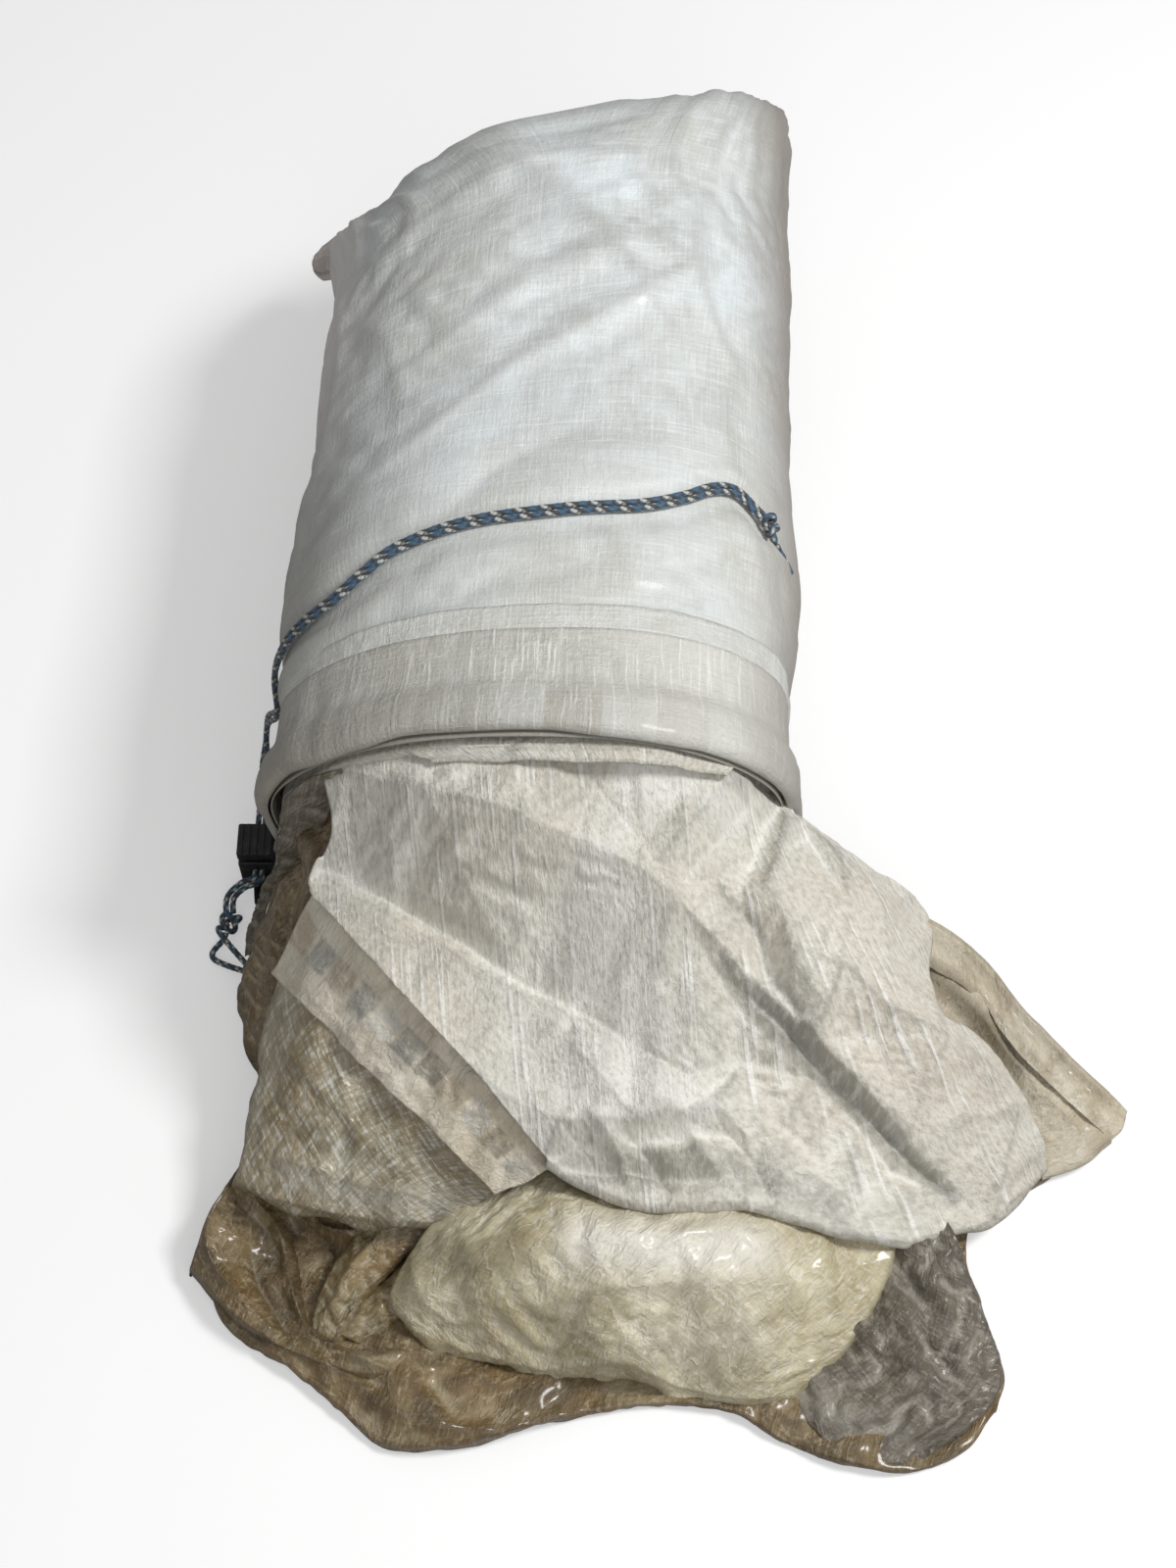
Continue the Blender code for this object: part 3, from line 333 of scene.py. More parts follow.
def patch(near: Curve, far: Curve, left: Curve, right: Curve, across: int, down: int) -> Array:
    """Coons patch: grid of plan points blended between four border curves.

    Args:
        near: border at the first row, from left to right.
        far: border at the last row, from left to right.
        left: border at the first column, from near to far.
        right: border at the last column, from near to far.
        across: points in a row.
        down: rows.

    Returns:
        Array of shape (down, across, 2).
    """
    top, low = spline(near, across), spline(far, across)
    one, two = spline(left, down), spline(right, down)
    u = np.linspace(0, 1, across)[None, :, None]
    v = np.linspace(0, 1, down)[:, None, None]
    rows = (1 - v) * top[None] + v * low[None]
    columns = (1 - u) * one[:, None] + u * two[:, None]
    corners = (1 - v) * ((1 - u) * top[0] + u * top[-1]) + v * ((1 - u) * low[0] + u * low[-1])
    return rows + columns - corners


def line_distance(x: Array, y: Array, line: Array) -> tuple[Array, Array]:
    """Signed distance from a polyline, positive on its left, and the share of its length alongside.

    Args:
        x: first plan coordinate of each point.
        y: second plan coordinate of each point.
        line: the polyline's points.

    Returns:
        The signed distances and the shares.
    """
    best = np.full(x.shape, 1e9)
    signed, share = np.zeros(x.shape), np.zeros(x.shape)
    steps = np.diff(line, axis=0)
    lengths = np.linalg.norm(steps, axis=1)
    ends = np.append(0.0, np.cumsum(lengths))
    for start, step, length, done in zip(line, steps, lengths, ends):
        dx, dy = x - start[0], y - start[1]
        t = np.clip((dx * step[0] + dy * step[1]) / length ** 2, 0, 1)
        away = np.hypot(dx - t * step[0], dy - t * step[1])
        closer = away < best
        best = np.where(closer, away, best)
        side = np.where(step[0] * dy - step[1] * dx < 0, -1.0, 1.0)
        signed = np.where(closer, away * side, signed)
        share = np.where(closer, (done + t * length) / ends[-1], share)
    return signed, share


def normals_of(points: Array) -> Array:
    """Unit normals of a grid surface, from the cross product of its two directions.

    Args:
        points: array of shape (rows, columns, 3).

    Returns:
        The normals, in the same shape.
    """
    across = np.gradient(points, axis=1)
    down = np.gradient(points, axis=0)
    normal = np.cross(across, down)
    return normal / np.maximum(np.linalg.norm(normal, axis=2, keepdims=True), 1e-12)


def crest_of(points: Array, reach: int) -> Array:
    """How far each point stands out of its neighbours' mean along the normal, as a share of the spacing.

    Args:
        points: array of shape (rows, columns, 3).
        reach: how many cells away the neighbours are.

    Returns:
        The shares, of shape (rows, columns).
    """
    padded = np.pad(points, ((reach, reach), (reach, reach), (0, 0)), mode="edge")
    height, width = points.shape[:2]
    mean = np.zeros_like(points)
    for i, j in ((0, reach), (2 * reach, reach), (reach, 0), (reach, 2 * reach)):
        mean += padded[i:i + height, j:j + width] / 4
    stand = ((points - mean) * normals_of(points)).sum(2)
    spacing = np.linalg.norm(np.gradient(points, axis=1), axis=2) * reach
    crest = stand / np.maximum(spacing, 1e-9)
    crest[:reach] = crest[-reach:] = 0
    return crest


def resample(points: Array, rows: int, columns: int) -> Array:
    """Finer or coarser grid through the same surface, by Catmull-Rom in both directions.

    Args:
        points: array of shape (rows, columns, values).
        rows: rows of the new grid.
        columns: columns of the new grid.

    Returns:
        The new grid.
    """

    def along(grid: Array, at: Array) -> Array:
        """One direction.

        Args:
            grid: the grid, this direction first.
            at: places along it, in cells.

        Returns:
            The grid at those places.
        """
        last = len(grid) - 1
        i = np.clip(np.floor(at).astype(int), 0, last - 1)
        return catmull_rom(*(grid[np.clip(i + k, 0, last)] for k in (-1, 0, 1, 2)), (at - i)[:, None, None])

    middle = along(points, np.linspace(0, points.shape[0] - 1, rows))
    return np.swapaxes(along(np.swapaxes(middle, 0, 1), np.linspace(0, points.shape[1] - 1, columns)), 0, 1)


@dataclass(frozen=True)
class Buckle:
    """Cloth that is too large for its drape, so that it buckles into creases.

    Every link between neighbours wants to be longer than it is, links over two and four cells resist being
    shortened, and each point is drawn back to the drape. Grids are in millimetres.
    """

    grow: float
    steps: int
    bend: float = 0.25
    hold: float = 0.04
    kick: float = 0.5
    size: float = 22.0
    uneven: float = 1.0

    def links(self) -> tuple[tuple[int, int, float, bool], ...]:
        """Row step, column step, stiffness and whether only shortening is resisted, for each family.

        Returns:
            The families.
        """
        return ((0, 1, 1.0, False), (1, 0, 1.0, False), (1, 1, 0.6, False), (1, -1, 0.6, False),
                (0, 2, self.bend, True), (2, 0, self.bend, True), (0, 4, self.bend / 2, True),
                (4, 0, self.bend / 2, True))

    def relax(self, drape: Array, seed: int, low: float, pinned: Array | None = None) -> Array:
        """Settle the cloth, one family of links at a time, each in two passes that share no point.

        Args:
            drape: grid of points in millimetres.
            seed: start of the random order.
            low: lowest height.
            pinned: share from 0 (free) to 1 (kept on the drape) for each point.

        Returns:
            The settled grid.
        """
        rows, columns = drape.shape[:2]
        patchy = swell(drape[..., 0], drape[..., 1], self.size, seed + 3)
        patchy = patchy + 0.6 * facets(drape[..., 0], drape[..., 1], self.size * 0.6, seed + 4)
        grown = 1 + self.grow * np.clip(1 + self.uneven * 1.3 * patchy, -0.2, 3.0)
        families = []
        for di, dj, stiff, only in self.links():
            one = (slice(0, rows - di), slice(max(-dj, 0), columns - max(dj, 0)))
            two = (slice(di, rows), slice(max(dj, 0), columns + min(dj, 0)))
            i, j = np.mgrid[one[0], 0:one[1].stop - one[1].start]
            odd = (((i // di) if di else (j // dj)) % 2).astype(float)
            rest = np.linalg.norm(drape[two] - drape[one], axis=2) * (grown[one] + grown[two]) / 2
            families.append((one, two, rest, stiff, only, odd))
        rough = crumple(drape[..., 0], drape[..., 1], self.size, seed)
        rough = rough + 0.3 * np.random.default_rng(seed).standard_normal((rows, columns))
        points = drape + normals_of(drape) * self.kick * rough[..., None]
        hold = np.full((rows, columns, 1), self.hold)
        if pinned is not None:
            hold = hold + (1 - hold) * pinned[..., None]
        before = points.copy()
        for _ in range(self.steps):
            drift = (points - before) * 0.9
            before = points.copy()
            points = points + drift
            points += (drape - points) * hold
            for one, two, rest, stiff, only, odd in families * 2:
                for share in (1 - odd, odd):
                    step = points[two] - points[one]
                    length = np.maximum(np.linalg.norm(step, axis=2), 1e-9)
                    gap = (length - rest) / length
                    if only:
                        gap = np.minimum(gap, 0)
                    shift = (0.5 * stiff * gap * share)[..., None] * step
                    points[one] += shift
                    points[two] -= shift
            points[..., 2] = np.maximum(points[..., 2], low)
        return points


CREASED = (Buckle(0.012, 50, 0.5, 0.02, 0.7, 40.0), Buckle(0.010, 30, 0.5, 0.05, 0.4, 22.0),
           Buckle(0.006, 16, 0.4, 0.10, 0.2, 10.0))
CRUSHED = (Buckle(0.045, 50, 0.3, 0.02, 2.2, 26.0, 1.8), Buckle(0.028, 24, 0.7, 0.05, 0.8, 14.0, 1.8),
           Buckle(0.009, 12, 0.4, 0.1, 0.25, 7.0, 1.4))
SOFT = (Buckle(0.006, 50, 0.6, 0.012, 0.9, 60.0, 1.8), Buckle(0.006, 24, 0.5, 0.04, 0.5, 30.0, 1.8),
        Buckle(0.003, 12, 0.4, 0.1, 0.12, 10.0, 1.4))
CALM = (Buckle(0.02, 40, 0.5, 0.02, 0.8, 26.0), Buckle(0.012, 24, 0.5, 0.05, 0.4, 14.0),
        Buckle(0.005, 12, 0.4, 0.10, 0.15, 8.0))


def buckled(drape: Array, levels: Sequence[Buckle], seed: int, low: float, pinned: Array) -> Array:
    """Buckle a drape at one level after another, each with twice the points of the last.

    Args:
        drape: grid of points in millimetres.
        levels: the levels, coarse to fine; the last one has the drape's own points.
        seed: start of the random order.
        low: lowest height.
        pinned: share from 0 (free) to 1 (kept on the drape) for each point.

    Returns:
        The buckled grid.
    """
    moved = np.zeros_like(drape)
    for number, level in enumerate(levels):
        step = 2 ** (len(levels) - 1 - number)
        shape = (max(drape.shape[0] // step, 10), max(drape.shape[1] // step, 10))
        flat = resample(drape, *shape)
        kept = np.clip(resample(pinned[..., None], *shape)[..., 0], 0, 1)
        moved = level.relax(flat + resample(moved, *shape), seed + number, low, kept) - flat
    return drape + resample(moved, *drape.shape[:2])


# Meshes


def grid_mesh(name: str, points: Array, looped: bool = False, crest: Array | None = None,
              tint: Array | None = None, chart: Array | None = None,
              shade: Array | None = None) -> bpy.types.Object:
    """Mesh over a grid of points, with a UV map in metres along both directions.

    Args:
        name: piece name.
        points: array of shape (rows, columns, 3).
        looped: whether the last column joins the first.
        crest: attribute that says where creases stand out, one value a point.
        tint: colour attribute, shape (rows, columns, 3).
        chart: the map's own values, shape (rows, columns, 2), in place of the lengths.
        shade: attribute that darkens towards 1 and lightens towards -1, one value a point.

    Returns:
        The object, linked to the scene.
    """
    rows, columns = points.shape[:2]
    index = np.arange(rows * columns).reshape(rows, columns)
    right = np.roll(index, -1, axis=1)
    keep = columns if looped else columns - 1
    quads = np.stack([index[:-1, :keep], right[:-1, :keep], right[1:, :keep], index[1:, :keep]], 2)
    quads = quads.reshape(-1, 4)
    mesh = bpy.data.meshes.new(name)
    mesh.vertices.add(rows * columns)
    mesh.vertices.foreach_set("co", points.astype(np.float32).ravel())
    mesh.loops.add(quads.size)
    mesh.loops.foreach_set("vertex_index", quads.astype(np.int32).ravel())
    mesh.polygons.add(len(quads))
    mesh.polygons.foreach_set("loop_start", np.arange(0, quads.size, 4, dtype=np.int32))
    along_u = np.zeros((rows, columns + 1))
    along_v = np.zeros((rows, columns + 1))
    closed = np.concatenate([points, points[:, :1]], 1)
    along_u[:, 1:] = np.cumsum(np.linalg.norm(np.diff(closed, axis=1), axis=2), 1).mean(0)[None]
    along_v[1:] = np.cumsum(np.linalg.norm(np.diff(closed, axis=0), axis=2), 0).mean(1)[:, None]
    if chart is not None:
        along_u, along_v = chart[..., 0], chart[..., 1]
    column = np.concatenate([np.arange(keep)[:, None], np.arange(keep)[:, None] + 1], 1)
    cells_v, cells_u = np.meshgrid(np.arange(rows - 1), column[:, 0], indexing="ij")
    corners = ((0, 0), (0, 1), (1, 1), (1, 0))
    uv = np.stack([np.stack([along_u[cells_v + dv, cells_u + du], along_v[cells_v + dv, cells_u + du]], 2)
                   for dv, du in corners], 2)
    mesh.uv_layers.new(name="cloth").data.foreach_set("uv", uv.astype(np.float32).ravel())
    mesh.update(calc_edges=True)
    mesh.shade_smooth()
    for label, values in (("crest", crest), ("shade", shade)):
        if values is not None:
            store = mesh.attributes.new(label, "FLOAT", "POINT")
            store.data.foreach_set("value", np.clip(values, -1, 1).astype(np.float32).ravel())
    if tint is not None:
        store = mesh.attributes.new("tint", "FLOAT_COLOR", "POINT")
        rgba = np.concatenate([tint, np.ones(tint.shape[:2] + (1,))], 2)
        store.data.foreach_set("color", rgba.astype(np.float32).ravel())
    thing = bpy.data.objects.new(name, mesh)
    bpy.context.collection.objects.link(thing)
    return thing


def thicken(thing: bpy.types.Object, thickness: float, offset: float = -1.0) -> None:
    """Give an open sheet its thickness with a rim.

    Args:
        thing: the sheet's object.
        thickness: in metres.
        offset: -1 to grow behind the surface, 1 to grow in front.
    """
    wall = thing.modifiers.new("thickness", "SOLIDIFY")
    wall.thickness = thickness
    wall.offset = offset
    wall.use_rim = True


def run_of(path: Array) -> float:
    """Length of a path."""
    return float(np.linalg.norm(np.diff(path, axis=0), axis=1).sum())


def frames_along(path: Array) -> tuple[Array, Array]:
    """Two directions square to a path at each point, turned as little as possible on the way.

    Args:
        path: points of the path.

    Returns:
        The two directions at each point.
    """
    run = np.gradient(path, axis=0)
    run /= np.linalg.norm(run, axis=1, keepdims=True)
    side = np.zeros_like(path)
    start = np.cross(run[0], (0.0, 0.0, 1.0))
    if np.linalg.norm(start) < 1e-3:
        start = np.cross(run[0], (0.0, 1.0, 0.0))
    side[0] = start / np.linalg.norm(start)
    for i in range(1, len(path)):
        turned = side[i - 1] - run[i] * (side[i - 1] @ run[i])
        side[i] = turned / np.linalg.norm(turned)
    return side, np.cross(run, side)


def capped(rings: Array, line: Array) -> Array:
    """Rings round a line, closed at each end by that end's point.

    Args:
        rings: array of shape (rings, sides, 3).
        line: the line's points, one a ring.

    Returns:
        The rings, with one more at each end.
    """
    caps = [np.broadcast_to(line[i], (1,) + rings.shape[1:]) for i in (0, -1)]
    return np.concatenate([caps[0], rings, caps[1]], 0)


def tube(path: Array, radius: float) -> Array:
    """Closed tube of twelve sides round a path.

    Args:
        path: even points of the centreline.
        radius: in metres.

    Returns:
        Array of shape (rings, 12, 3).
    """
    side, up = frames_along(path)
    turn = np.linspace(0, TAU, 12, endpoint=False)[None, :, None]
    return capped(path[:, None] + radius * (np.cos(turn) * side[:, None] + np.sin(turn) * up[:, None]), path)


# Finishes


class Graph:
    """Short way to wire a material's nodes."""

    def __init__(self, name: str) -> None:
        """Start a material with its Principled shader.

        Args:
            name: material name.
        """
        self.material = bpy.data.materials.new(name)
        self.material.use_nodes = True
        self.tree = self.material.node_tree
        self.shader = self.tree.nodes["Principled BSDF"]

    @classmethod
    def of(cls, material: bpy.types.Material) -> Graph:
        """Graph over a material that is already made.

        Args:
            material: the material.

        Returns:
            The graph.
        """
        graph = cls.__new__(cls)
        graph.material, graph.tree = material, material.node_tree
        graph.shader = graph.tree.nodes["Principled BSDF"]
        return graph

    def add(self, kind: str, inputs: dict | None = None, **values: object) -> bpy.types.Node:
        """Add a node, set its values and wire or set its inputs.

        Args:
            kind: the node's type, without its ShaderNode.
            inputs: what goes into its sockets, by name or number.
            values: the node's own settings.

        Returns:
            The node.
        """
        node = self.tree.nodes.new("ShaderNode" + kind)
        for key, value in values.items():
            setattr(node, key, value)
        for key, value in (inputs or {}).items():
            self.put(node.inputs[key], value)
        return node

    def put(self, socket: Socket, value: object) -> None:
        """Wire a socket, or set its own value.

        Args:
            socket: the socket.
            value: another socket, or the value.
        """
        if isinstance(value, Socket):
            self.tree.links.new(value, socket)
        elif isinstance(value, tuple) and len(value) == 3 and socket.type == "RGBA":
            socket.default_value = (*value, 1.0)
        else:
            socket.default_value = value

    def place(self, scale: tuple[float, float, float] = (1, 1, 1), turn: float = 0.0, uv: bool = False,
              shift: tuple[float, float, float] = (0, 0, 0)) -> Socket:
        """Object coordinates or the cloth's own map, scaled and turned.

        Args:
            scale: scale along the three axes.
            turn: turn about the third axis.
            uv: whether to read the cloth's own map.
            shift: move of the pattern.

        Returns:
            The coordinates.
        """
        source = self.add("UVMap", uv_map="cloth") if uv else self.add("TexCoord")
        vector = source.outputs["UV" if uv else "Object"]
        return self.add("Mapping", {"Vector": vector, "Scale": scale, "Rotation": (0, 0, turn),
                                    "Location": shift}).outputs[0]

    def noise(self, vector: Socket, scale: float, detail: float = 3.0, rough: float = 0.5,
              warp: float = 0.0) -> Socket:
        """Noise, 0 to 1."""
        return self.add("TexNoise", {"Vector": vector, "Scale": scale, "Detail": detail, "Roughness": rough,
                                     "Distortion": warp}).outputs[0]

    def cracks(self, vector: Socket, scale: float, width: float) -> Socket:
        """Thin lines between cells: 1 on a line, 0 away from it."""
        cell = self.add("TexVoronoi", {"Vector": vector, "Scale": scale}, feature="DISTANCE_TO_EDGE")
        return self.span(cell.outputs["Distance"], 0.0, width, 1.0, 0.0)

    def warped(self, vector: Socket, scale: float, amount: float) -> Socket:
        """A vector pushed about by noise.

        Args:
            vector: the coordinates.
            scale: scale of the noise.
            amount: how far it pushes.

        Returns:
            The pushed coordinates.
        """
        push = self.add("TexNoise", {"Vector": vector, "Scale": scale, "Detail": 2.0}).outputs[1]
        moved = self.add("VectorMath", {0: push, 1: (0.5, 0.5, 0.5)}, operation="SUBTRACT").outputs[0]
        moved = self.add("VectorMath", {0: moved, "Scale": amount}, operation="SCALE").outputs[0]
        return self.add("VectorMath", {0: vector, 1: moved}, operation="ADD").outputs[0]

    def span(self, value: Socket, low: float, high: float, out_low: float = 0.0,
             out_high: float = 1.0) -> Socket:
        """Map a range onto another, clamped."""
        return self.add("MapRange", {"Value": value, "From Min": low, "From Max": high, "To Min": out_low,
                                     "To Max": out_high}).outputs[0]

    def sum(self, one: object, two: object, kind: str = "ADD") -> Socket:
        """Two numbers joined by a sum, product or other operation."""
        return self.add("Math", {0: one, 1: two}, operation=kind).outputs[0]

    def mix(self, share: object, one: object, two: object, kind: str = "MIX") -> Socket:
        """Blend of two colours.

        Args:
            share: how much of the second.
            one: first colour.
            two: second colour.
            kind: blend type.

        Returns:
            The blend.
        """
        node = self.add("Mix", data_type="RGBA", blend_type=kind)
        self.put(node.inputs[0], share)
        self.put(node.inputs[6], one)
        self.put(node.inputs[7], two)
        return node.outputs[2]

    def over(self, colour: object, share: object, gain: float, other: object) -> Socket:
        """A colour with another laid over it, by a share times a gain."""
        return self.mix(self.product(share, gain), colour, other)

    def product(self, one: object, two: object) -> Socket:
        """Two numbers multiplied."""
        return self.sum(one, two, "MULTIPLY")

    def apply(self, kind: str, value: object) -> Socket:
        """A number put through an operation, such as FLOOR or ABSOLUTE."""
        return self.add("Math", {0: value}, operation=kind).outputs[0]

    def picked(self, value: object) -> Socket:
        """Random number in 0..1 for each value."""
        return self.add("TexWhiteNoise", {"W": value}, noise_dimensions="1D").outputs["Value"]

    def bump(self, height: Socket, strength: float, depth: float,
             below: Socket | None = None) -> Socket:
        """Bump layer over another.

        Args:
            height: the height.
            strength: 0 to 1.
            depth: in metres.
            below: normal of the layer under it.

        Returns:
            The normal.
        """
        inputs = {"Height": height, "Strength": strength, "Distance": depth}
        if below is not None:
            inputs["Normal"] = below
        return self.add("Bump", inputs).outputs[0]


@dataclass(frozen=True)
class Cloth:
    """Composite cloth: patchy tone, fibres in two directions, crinkle lines and creases.

    Sizes are in millimetres of cloth and strengths from 0 to 1. Besides the pale and dark of the fibres, the
    crease colour is painted highlight on crests, crinkles and bright faces, and the hollow colour is painted
    shade.
    """

    light: Colour
    dark: Colour
    crease: Colour
    hollow: Colour
    patch: float = 45.0
    fibre: float = 0.30
    fibre_width: float = 0.9
    fibre_length: float = 40.0
    cross: float = 0.0
    turn: float = 0.0
    crinkle: float = 0.3
    crinkle_size: float = 5.0
    crinkle_run: float = 1.5
    threads: float = 0.0
    tinge: Colour = (0.5, 0.45, 0.35)
    tinge_gain: float = 0.3
    # Strength of the painted highlight on crests and the painted shade in hollows
    crease_gain: float = 0.4
    rough_low: float = 0.35
    rough_high: float = 0.6
    relief: float = 0.5
    crepe: float = 0.0
    # Height in metres below which painted shade darkens the cloth
    deep: float = 0.0
    coat: float = 0.0
    uv: bool = True

    def fibres(self, graph: Graph, turn: float, seed: float) -> Socket:
        """One family of fibres: noise drawn out along its run, about -0.5 to 0.5.

        Args:
            graph: the material's graph.
            turn: turn of the family.
            seed: move of its pattern.

        Returns:
            The noise.
        """
        scale = (1000.0 / self.fibre_width, 1000.0 / self.fibre_length, 1000.0 / self.fibre_length)
        vector = graph.place((1, 1, 1), turn, self.uv, (seed, seed, 0))
        vector = graph.add("Mapping", {"Vector": vector, "Scale": scale}).outputs[0]
        return graph.sum(graph.noise(vector, 1.0, 3.0, 0.65), 0.5, "SUBTRACT")

    def thread_lines(self, graph: Graph, turn: float, seed: float) -> Socket:
        """Long thin threads in groups: drawn-out noise where it is high, under a wider mask.

        Args:
            graph: the material's graph.
            turn: turn of the threads.
            seed: move of their pattern.

        Returns:
            The lines, 0 to 1.
        """
        vector = graph.place((1, 1, 1), turn, self.uv, (0.11 + seed, 0.31, 0))
        thin_scale = (1000 / 1.3, 1000 / 70.0, 1000 / 70.0)
        group_scale = (1000 / 9.0, 1000 / 40.0, 1000 / 40.0)
        thin = graph.add("Mapping", {"Vector": vector, "Scale": thin_scale}).outputs[0]
        group = graph.add("Mapping", {"Vector": vector, "Scale": group_scale}).outputs[0]
        line = graph.span(graph.noise(thin, 1.0, 1.0), 0.575, 0.625)
        return graph.product(line, graph.span(graph.noise(group, 1.0, 1.0), 0.44, 0.53))

    def toned(self, graph: Graph, flat: Socket) -> Socket:
        """Base colour: patches of light and dark, with a tinge in wider ones.

        Args:
            graph: the material's graph.
            flat: the cloth's coordinates.

        Returns:
            The colour.
        """
        tone = graph.noise(flat, 1000.0 / self.patch, 4.0, 0.6, 0.6)
        colour = graph.mix(graph.span(tone, 0.34, 0.66), self.dark, self.light)
        wide = graph.noise(graph.place(uv=self.uv, shift=(0.7, 0.2, 0)), 1000.0 / (self.patch * 1.8), 2.0)
        return graph.mix(graph.span(wide, 0.42, 0.68, 0.0, self.tinge_gain), colour, self.tinge)

    def woven(self, graph: Graph, colour: Socket) -> tuple[Socket, Socket]:
        """Lay the fibres and the thin threads over a colour.

        Args:
            graph: the material's graph.
            colour: the colour under them.

        Returns:
            The colour, and the height of the lines that they make.
        """
        lines = self.fibres(graph, self.turn, 0.0)
        if self.cross > 0:
            other = self.fibres(graph, self.turn + math.pi / 2, 0.37)
            lines = graph.sum(lines, graph.product(other, self.cross))
        colour = graph.over(colour, graph.span(lines, 0.04, 0.20), self.fibre, self.crease)
        colour = graph.over(colour, graph.span(lines, -0.24, -0.05, 1.0, 0.0), self.fibre * 0.6, self.hollow)
        if self.threads > 0:
            shown = self.thread_lines(graph, self.turn, 0.0)
            if self.cross > 0:
                shown = graph.sum(shown, self.thread_lines(graph, self.turn + math.pi / 2, 0.53), "MAXIMUM")
            # A darker copy of the threads just to one side of them: painted shadow of each thread
            beside = self.thread_lines(graph, self.turn, 0.0007)
            colour = graph.over(colour, beside, self.threads * 0.35, self.hollow)
            colour = graph.over(colour, shown, self.threads, self.crease)
            lines = graph.sum(lines, graph.product(shown, 0.25))
        return colour, lines

    def crinkles(self, graph: Graph, flat: Socket) -> Socket:
        """Crinkle lines: borders of cells where a mask is high, and contours of a noise.

        Args:
            graph: the material's graph.
            flat: the cloth's coordinates.

        Returns:
            The lines, 0 to 1.
        """
        wander = graph.warped(flat, 1000.0 / (self.crinkle_size * 2.6), self.crinkle_size * 0.9 * MM)
        drawn = graph.add("Mapping", {"Vector": wander, "Rotation": (0, 0, self.turn),
                                      "Scale": (1.0, 1.0 / self.crinkle_run, 1.0)}).outputs[0]
        cells = graph.cracks(drawn, 1000.0 / self.crinkle_size, 0.10)
        level = graph.noise(drawn, 1000.0 / (self.crinkle_size * 1.9), 3.0, 0.55)
        contour = graph.span(graph.apply("ABSOLUTE", graph.sum(level, 0.5, "SUBTRACT")), 0.0, 0.035, 1.0, 0.0)
        where = graph.span(graph.noise(flat, 1000.0 / (self.crinkle_size * 5), 2.0), 0.40, 0.62)
        return graph.sum(graph.product(cells, where), contour, "MAXIMUM")

    def creased(self, graph: Graph, colour: Socket) -> Socket:
        """Painted highlight on the crests and bright faces of a colour, and painted shade in its hollows.

        Args:
            graph: the material's graph.
            colour: the colour.

        Returns:
            The new colour.
        """
        crest = graph.add("Attribute", attribute_name="crest").outputs["Fac"]
        colour = graph.mix(graph.span(crest, 0.08, 0.9, 0.0, self.crease_gain), colour, self.crease)
        colour = graph.mix(graph.span(crest, -0.9, -0.08, self.crease_gain, 0.0), colour, self.hollow)
        # The sheet's shade lines: painted shade above nought, painted light below
        shade = graph.add("Attribute", attribute_name="shade").outputs["Fac"]
        colour = graph.mix(graph.span(shade, -1.0, 0.0, 1.0, 0.0), colour, self.crease)
        colour = graph.mix(shade, colour, self.hollow)
        # Painted shade in the low parts of a deep cloth
        if self.deep > 0:
            low = graph.add("SeparateXYZ", {0: graph.add("TexCoord").outputs["Object"]}).outputs[2]
            colour = graph.mix(graph.span(low, self.deep * 0.4, self.deep, 0.8, 0.0), colour, self.hollow)
        return colour

    def dress(self, name: str) -> bpy.types.Material:
        """Make the material.

        Args:
            name: material name.

        Returns:
            The material.
        """
        graph = Graph(name)
        flat = graph.place(uv=self.uv)
        colour, lines = self.woven(graph, self.toned(graph, flat))
        shown = self.crinkles(graph, flat)
        # Crinkle lines lightened where a fine noise is high: painted glints
        glint = graph.span(graph.noise(flat, 1000.0 / 2.2, 2.0), 0.45, 0.68)
        colour = graph.over(colour, graph.product(shown, glint), self.crinkle, self.crease)
        colour = self.creased(graph, colour)
        dull = graph.noise(flat, 1000.0 / (self.patch * 0.35), 4.0, 0.6)
        graph.put(graph.shader.inputs["Roughness"],
                  graph.span(dull, 0.3, 0.7, self.rough_low, self.rough_high))
        bark_scale = (1000.0 / 1.3, 1000.0 / (1.3 * self.crinkle_run * 1.2), 1000.0)
        bark = graph.add("Mapping", {"Vector": graph.place((1, 1, 1), self.turn, self.uv),
                                     "Scale": bark_scale}).outputs[0]
        bark = graph.noise(bark, 1.0, 5.0, 0.68)
        colour = graph.mix(graph.span(bark, 0.50, 0.72, 0.0, self.crepe), colour, self.crease)
        colour = graph.mix(graph.span(bark, 0.28, 0.50, self.crepe, 0.0), colour, self.hollow)
        graph.put(graph.shader.inputs["Base Color"], colour)
        height = graph.sum(graph.product(shown, 0.5 * self.crinkle + 0.1), graph.product(lines, 0.7))
        height = graph.sum(height, graph.product(bark, 1.3))
        graph.put(graph.shader.inputs["Normal"], graph.bump(height, self.relief, 0.0007))
        graph.shader.inputs["Coat Weight"].default_value = self.coat
        graph.shader.inputs["Coat Roughness"].default_value = 0.18
        return graph.material


CANOPY = Cloth(light=(0.75, 0.73, 0.655), dark=(0.64, 0.615, 0.54), crease=(0.93, 0.92, 0.87),
               hollow=(0.25, 0.24, 0.205), fibre=0.15, fibre_width=1.0, fibre_length=6.5, crinkle=0.10,
               crinkle_size=5.0, crinkle_run=1.7, patch=38.0, tinge=(0.66, 0.59, 0.48), tinge_gain=0.7,
               rough_low=0.42, rough_high=0.62, relief=1.0, threads=0.75, crease_gain=0.5, crepe=0.5)
SACK = Cloth(light=(0.76, 0.81, 0.82), dark=(0.57, 0.59, 0.57), crease=(0.90, 0.94, 0.95),
             hollow=(0.40, 0.40, 0.37), fibre=0.42, fibre_width=0.9, fibre_length=16.0, cross=0.9,
             crinkle=0.16, crinkle_size=9.0, patch=34.0, tinge=(0.60, 0.58, 0.50), tinge_gain=0.45,
             rough_low=0.26, rough_high=0.50, relief=0.45, coat=0.15, threads=0.22)
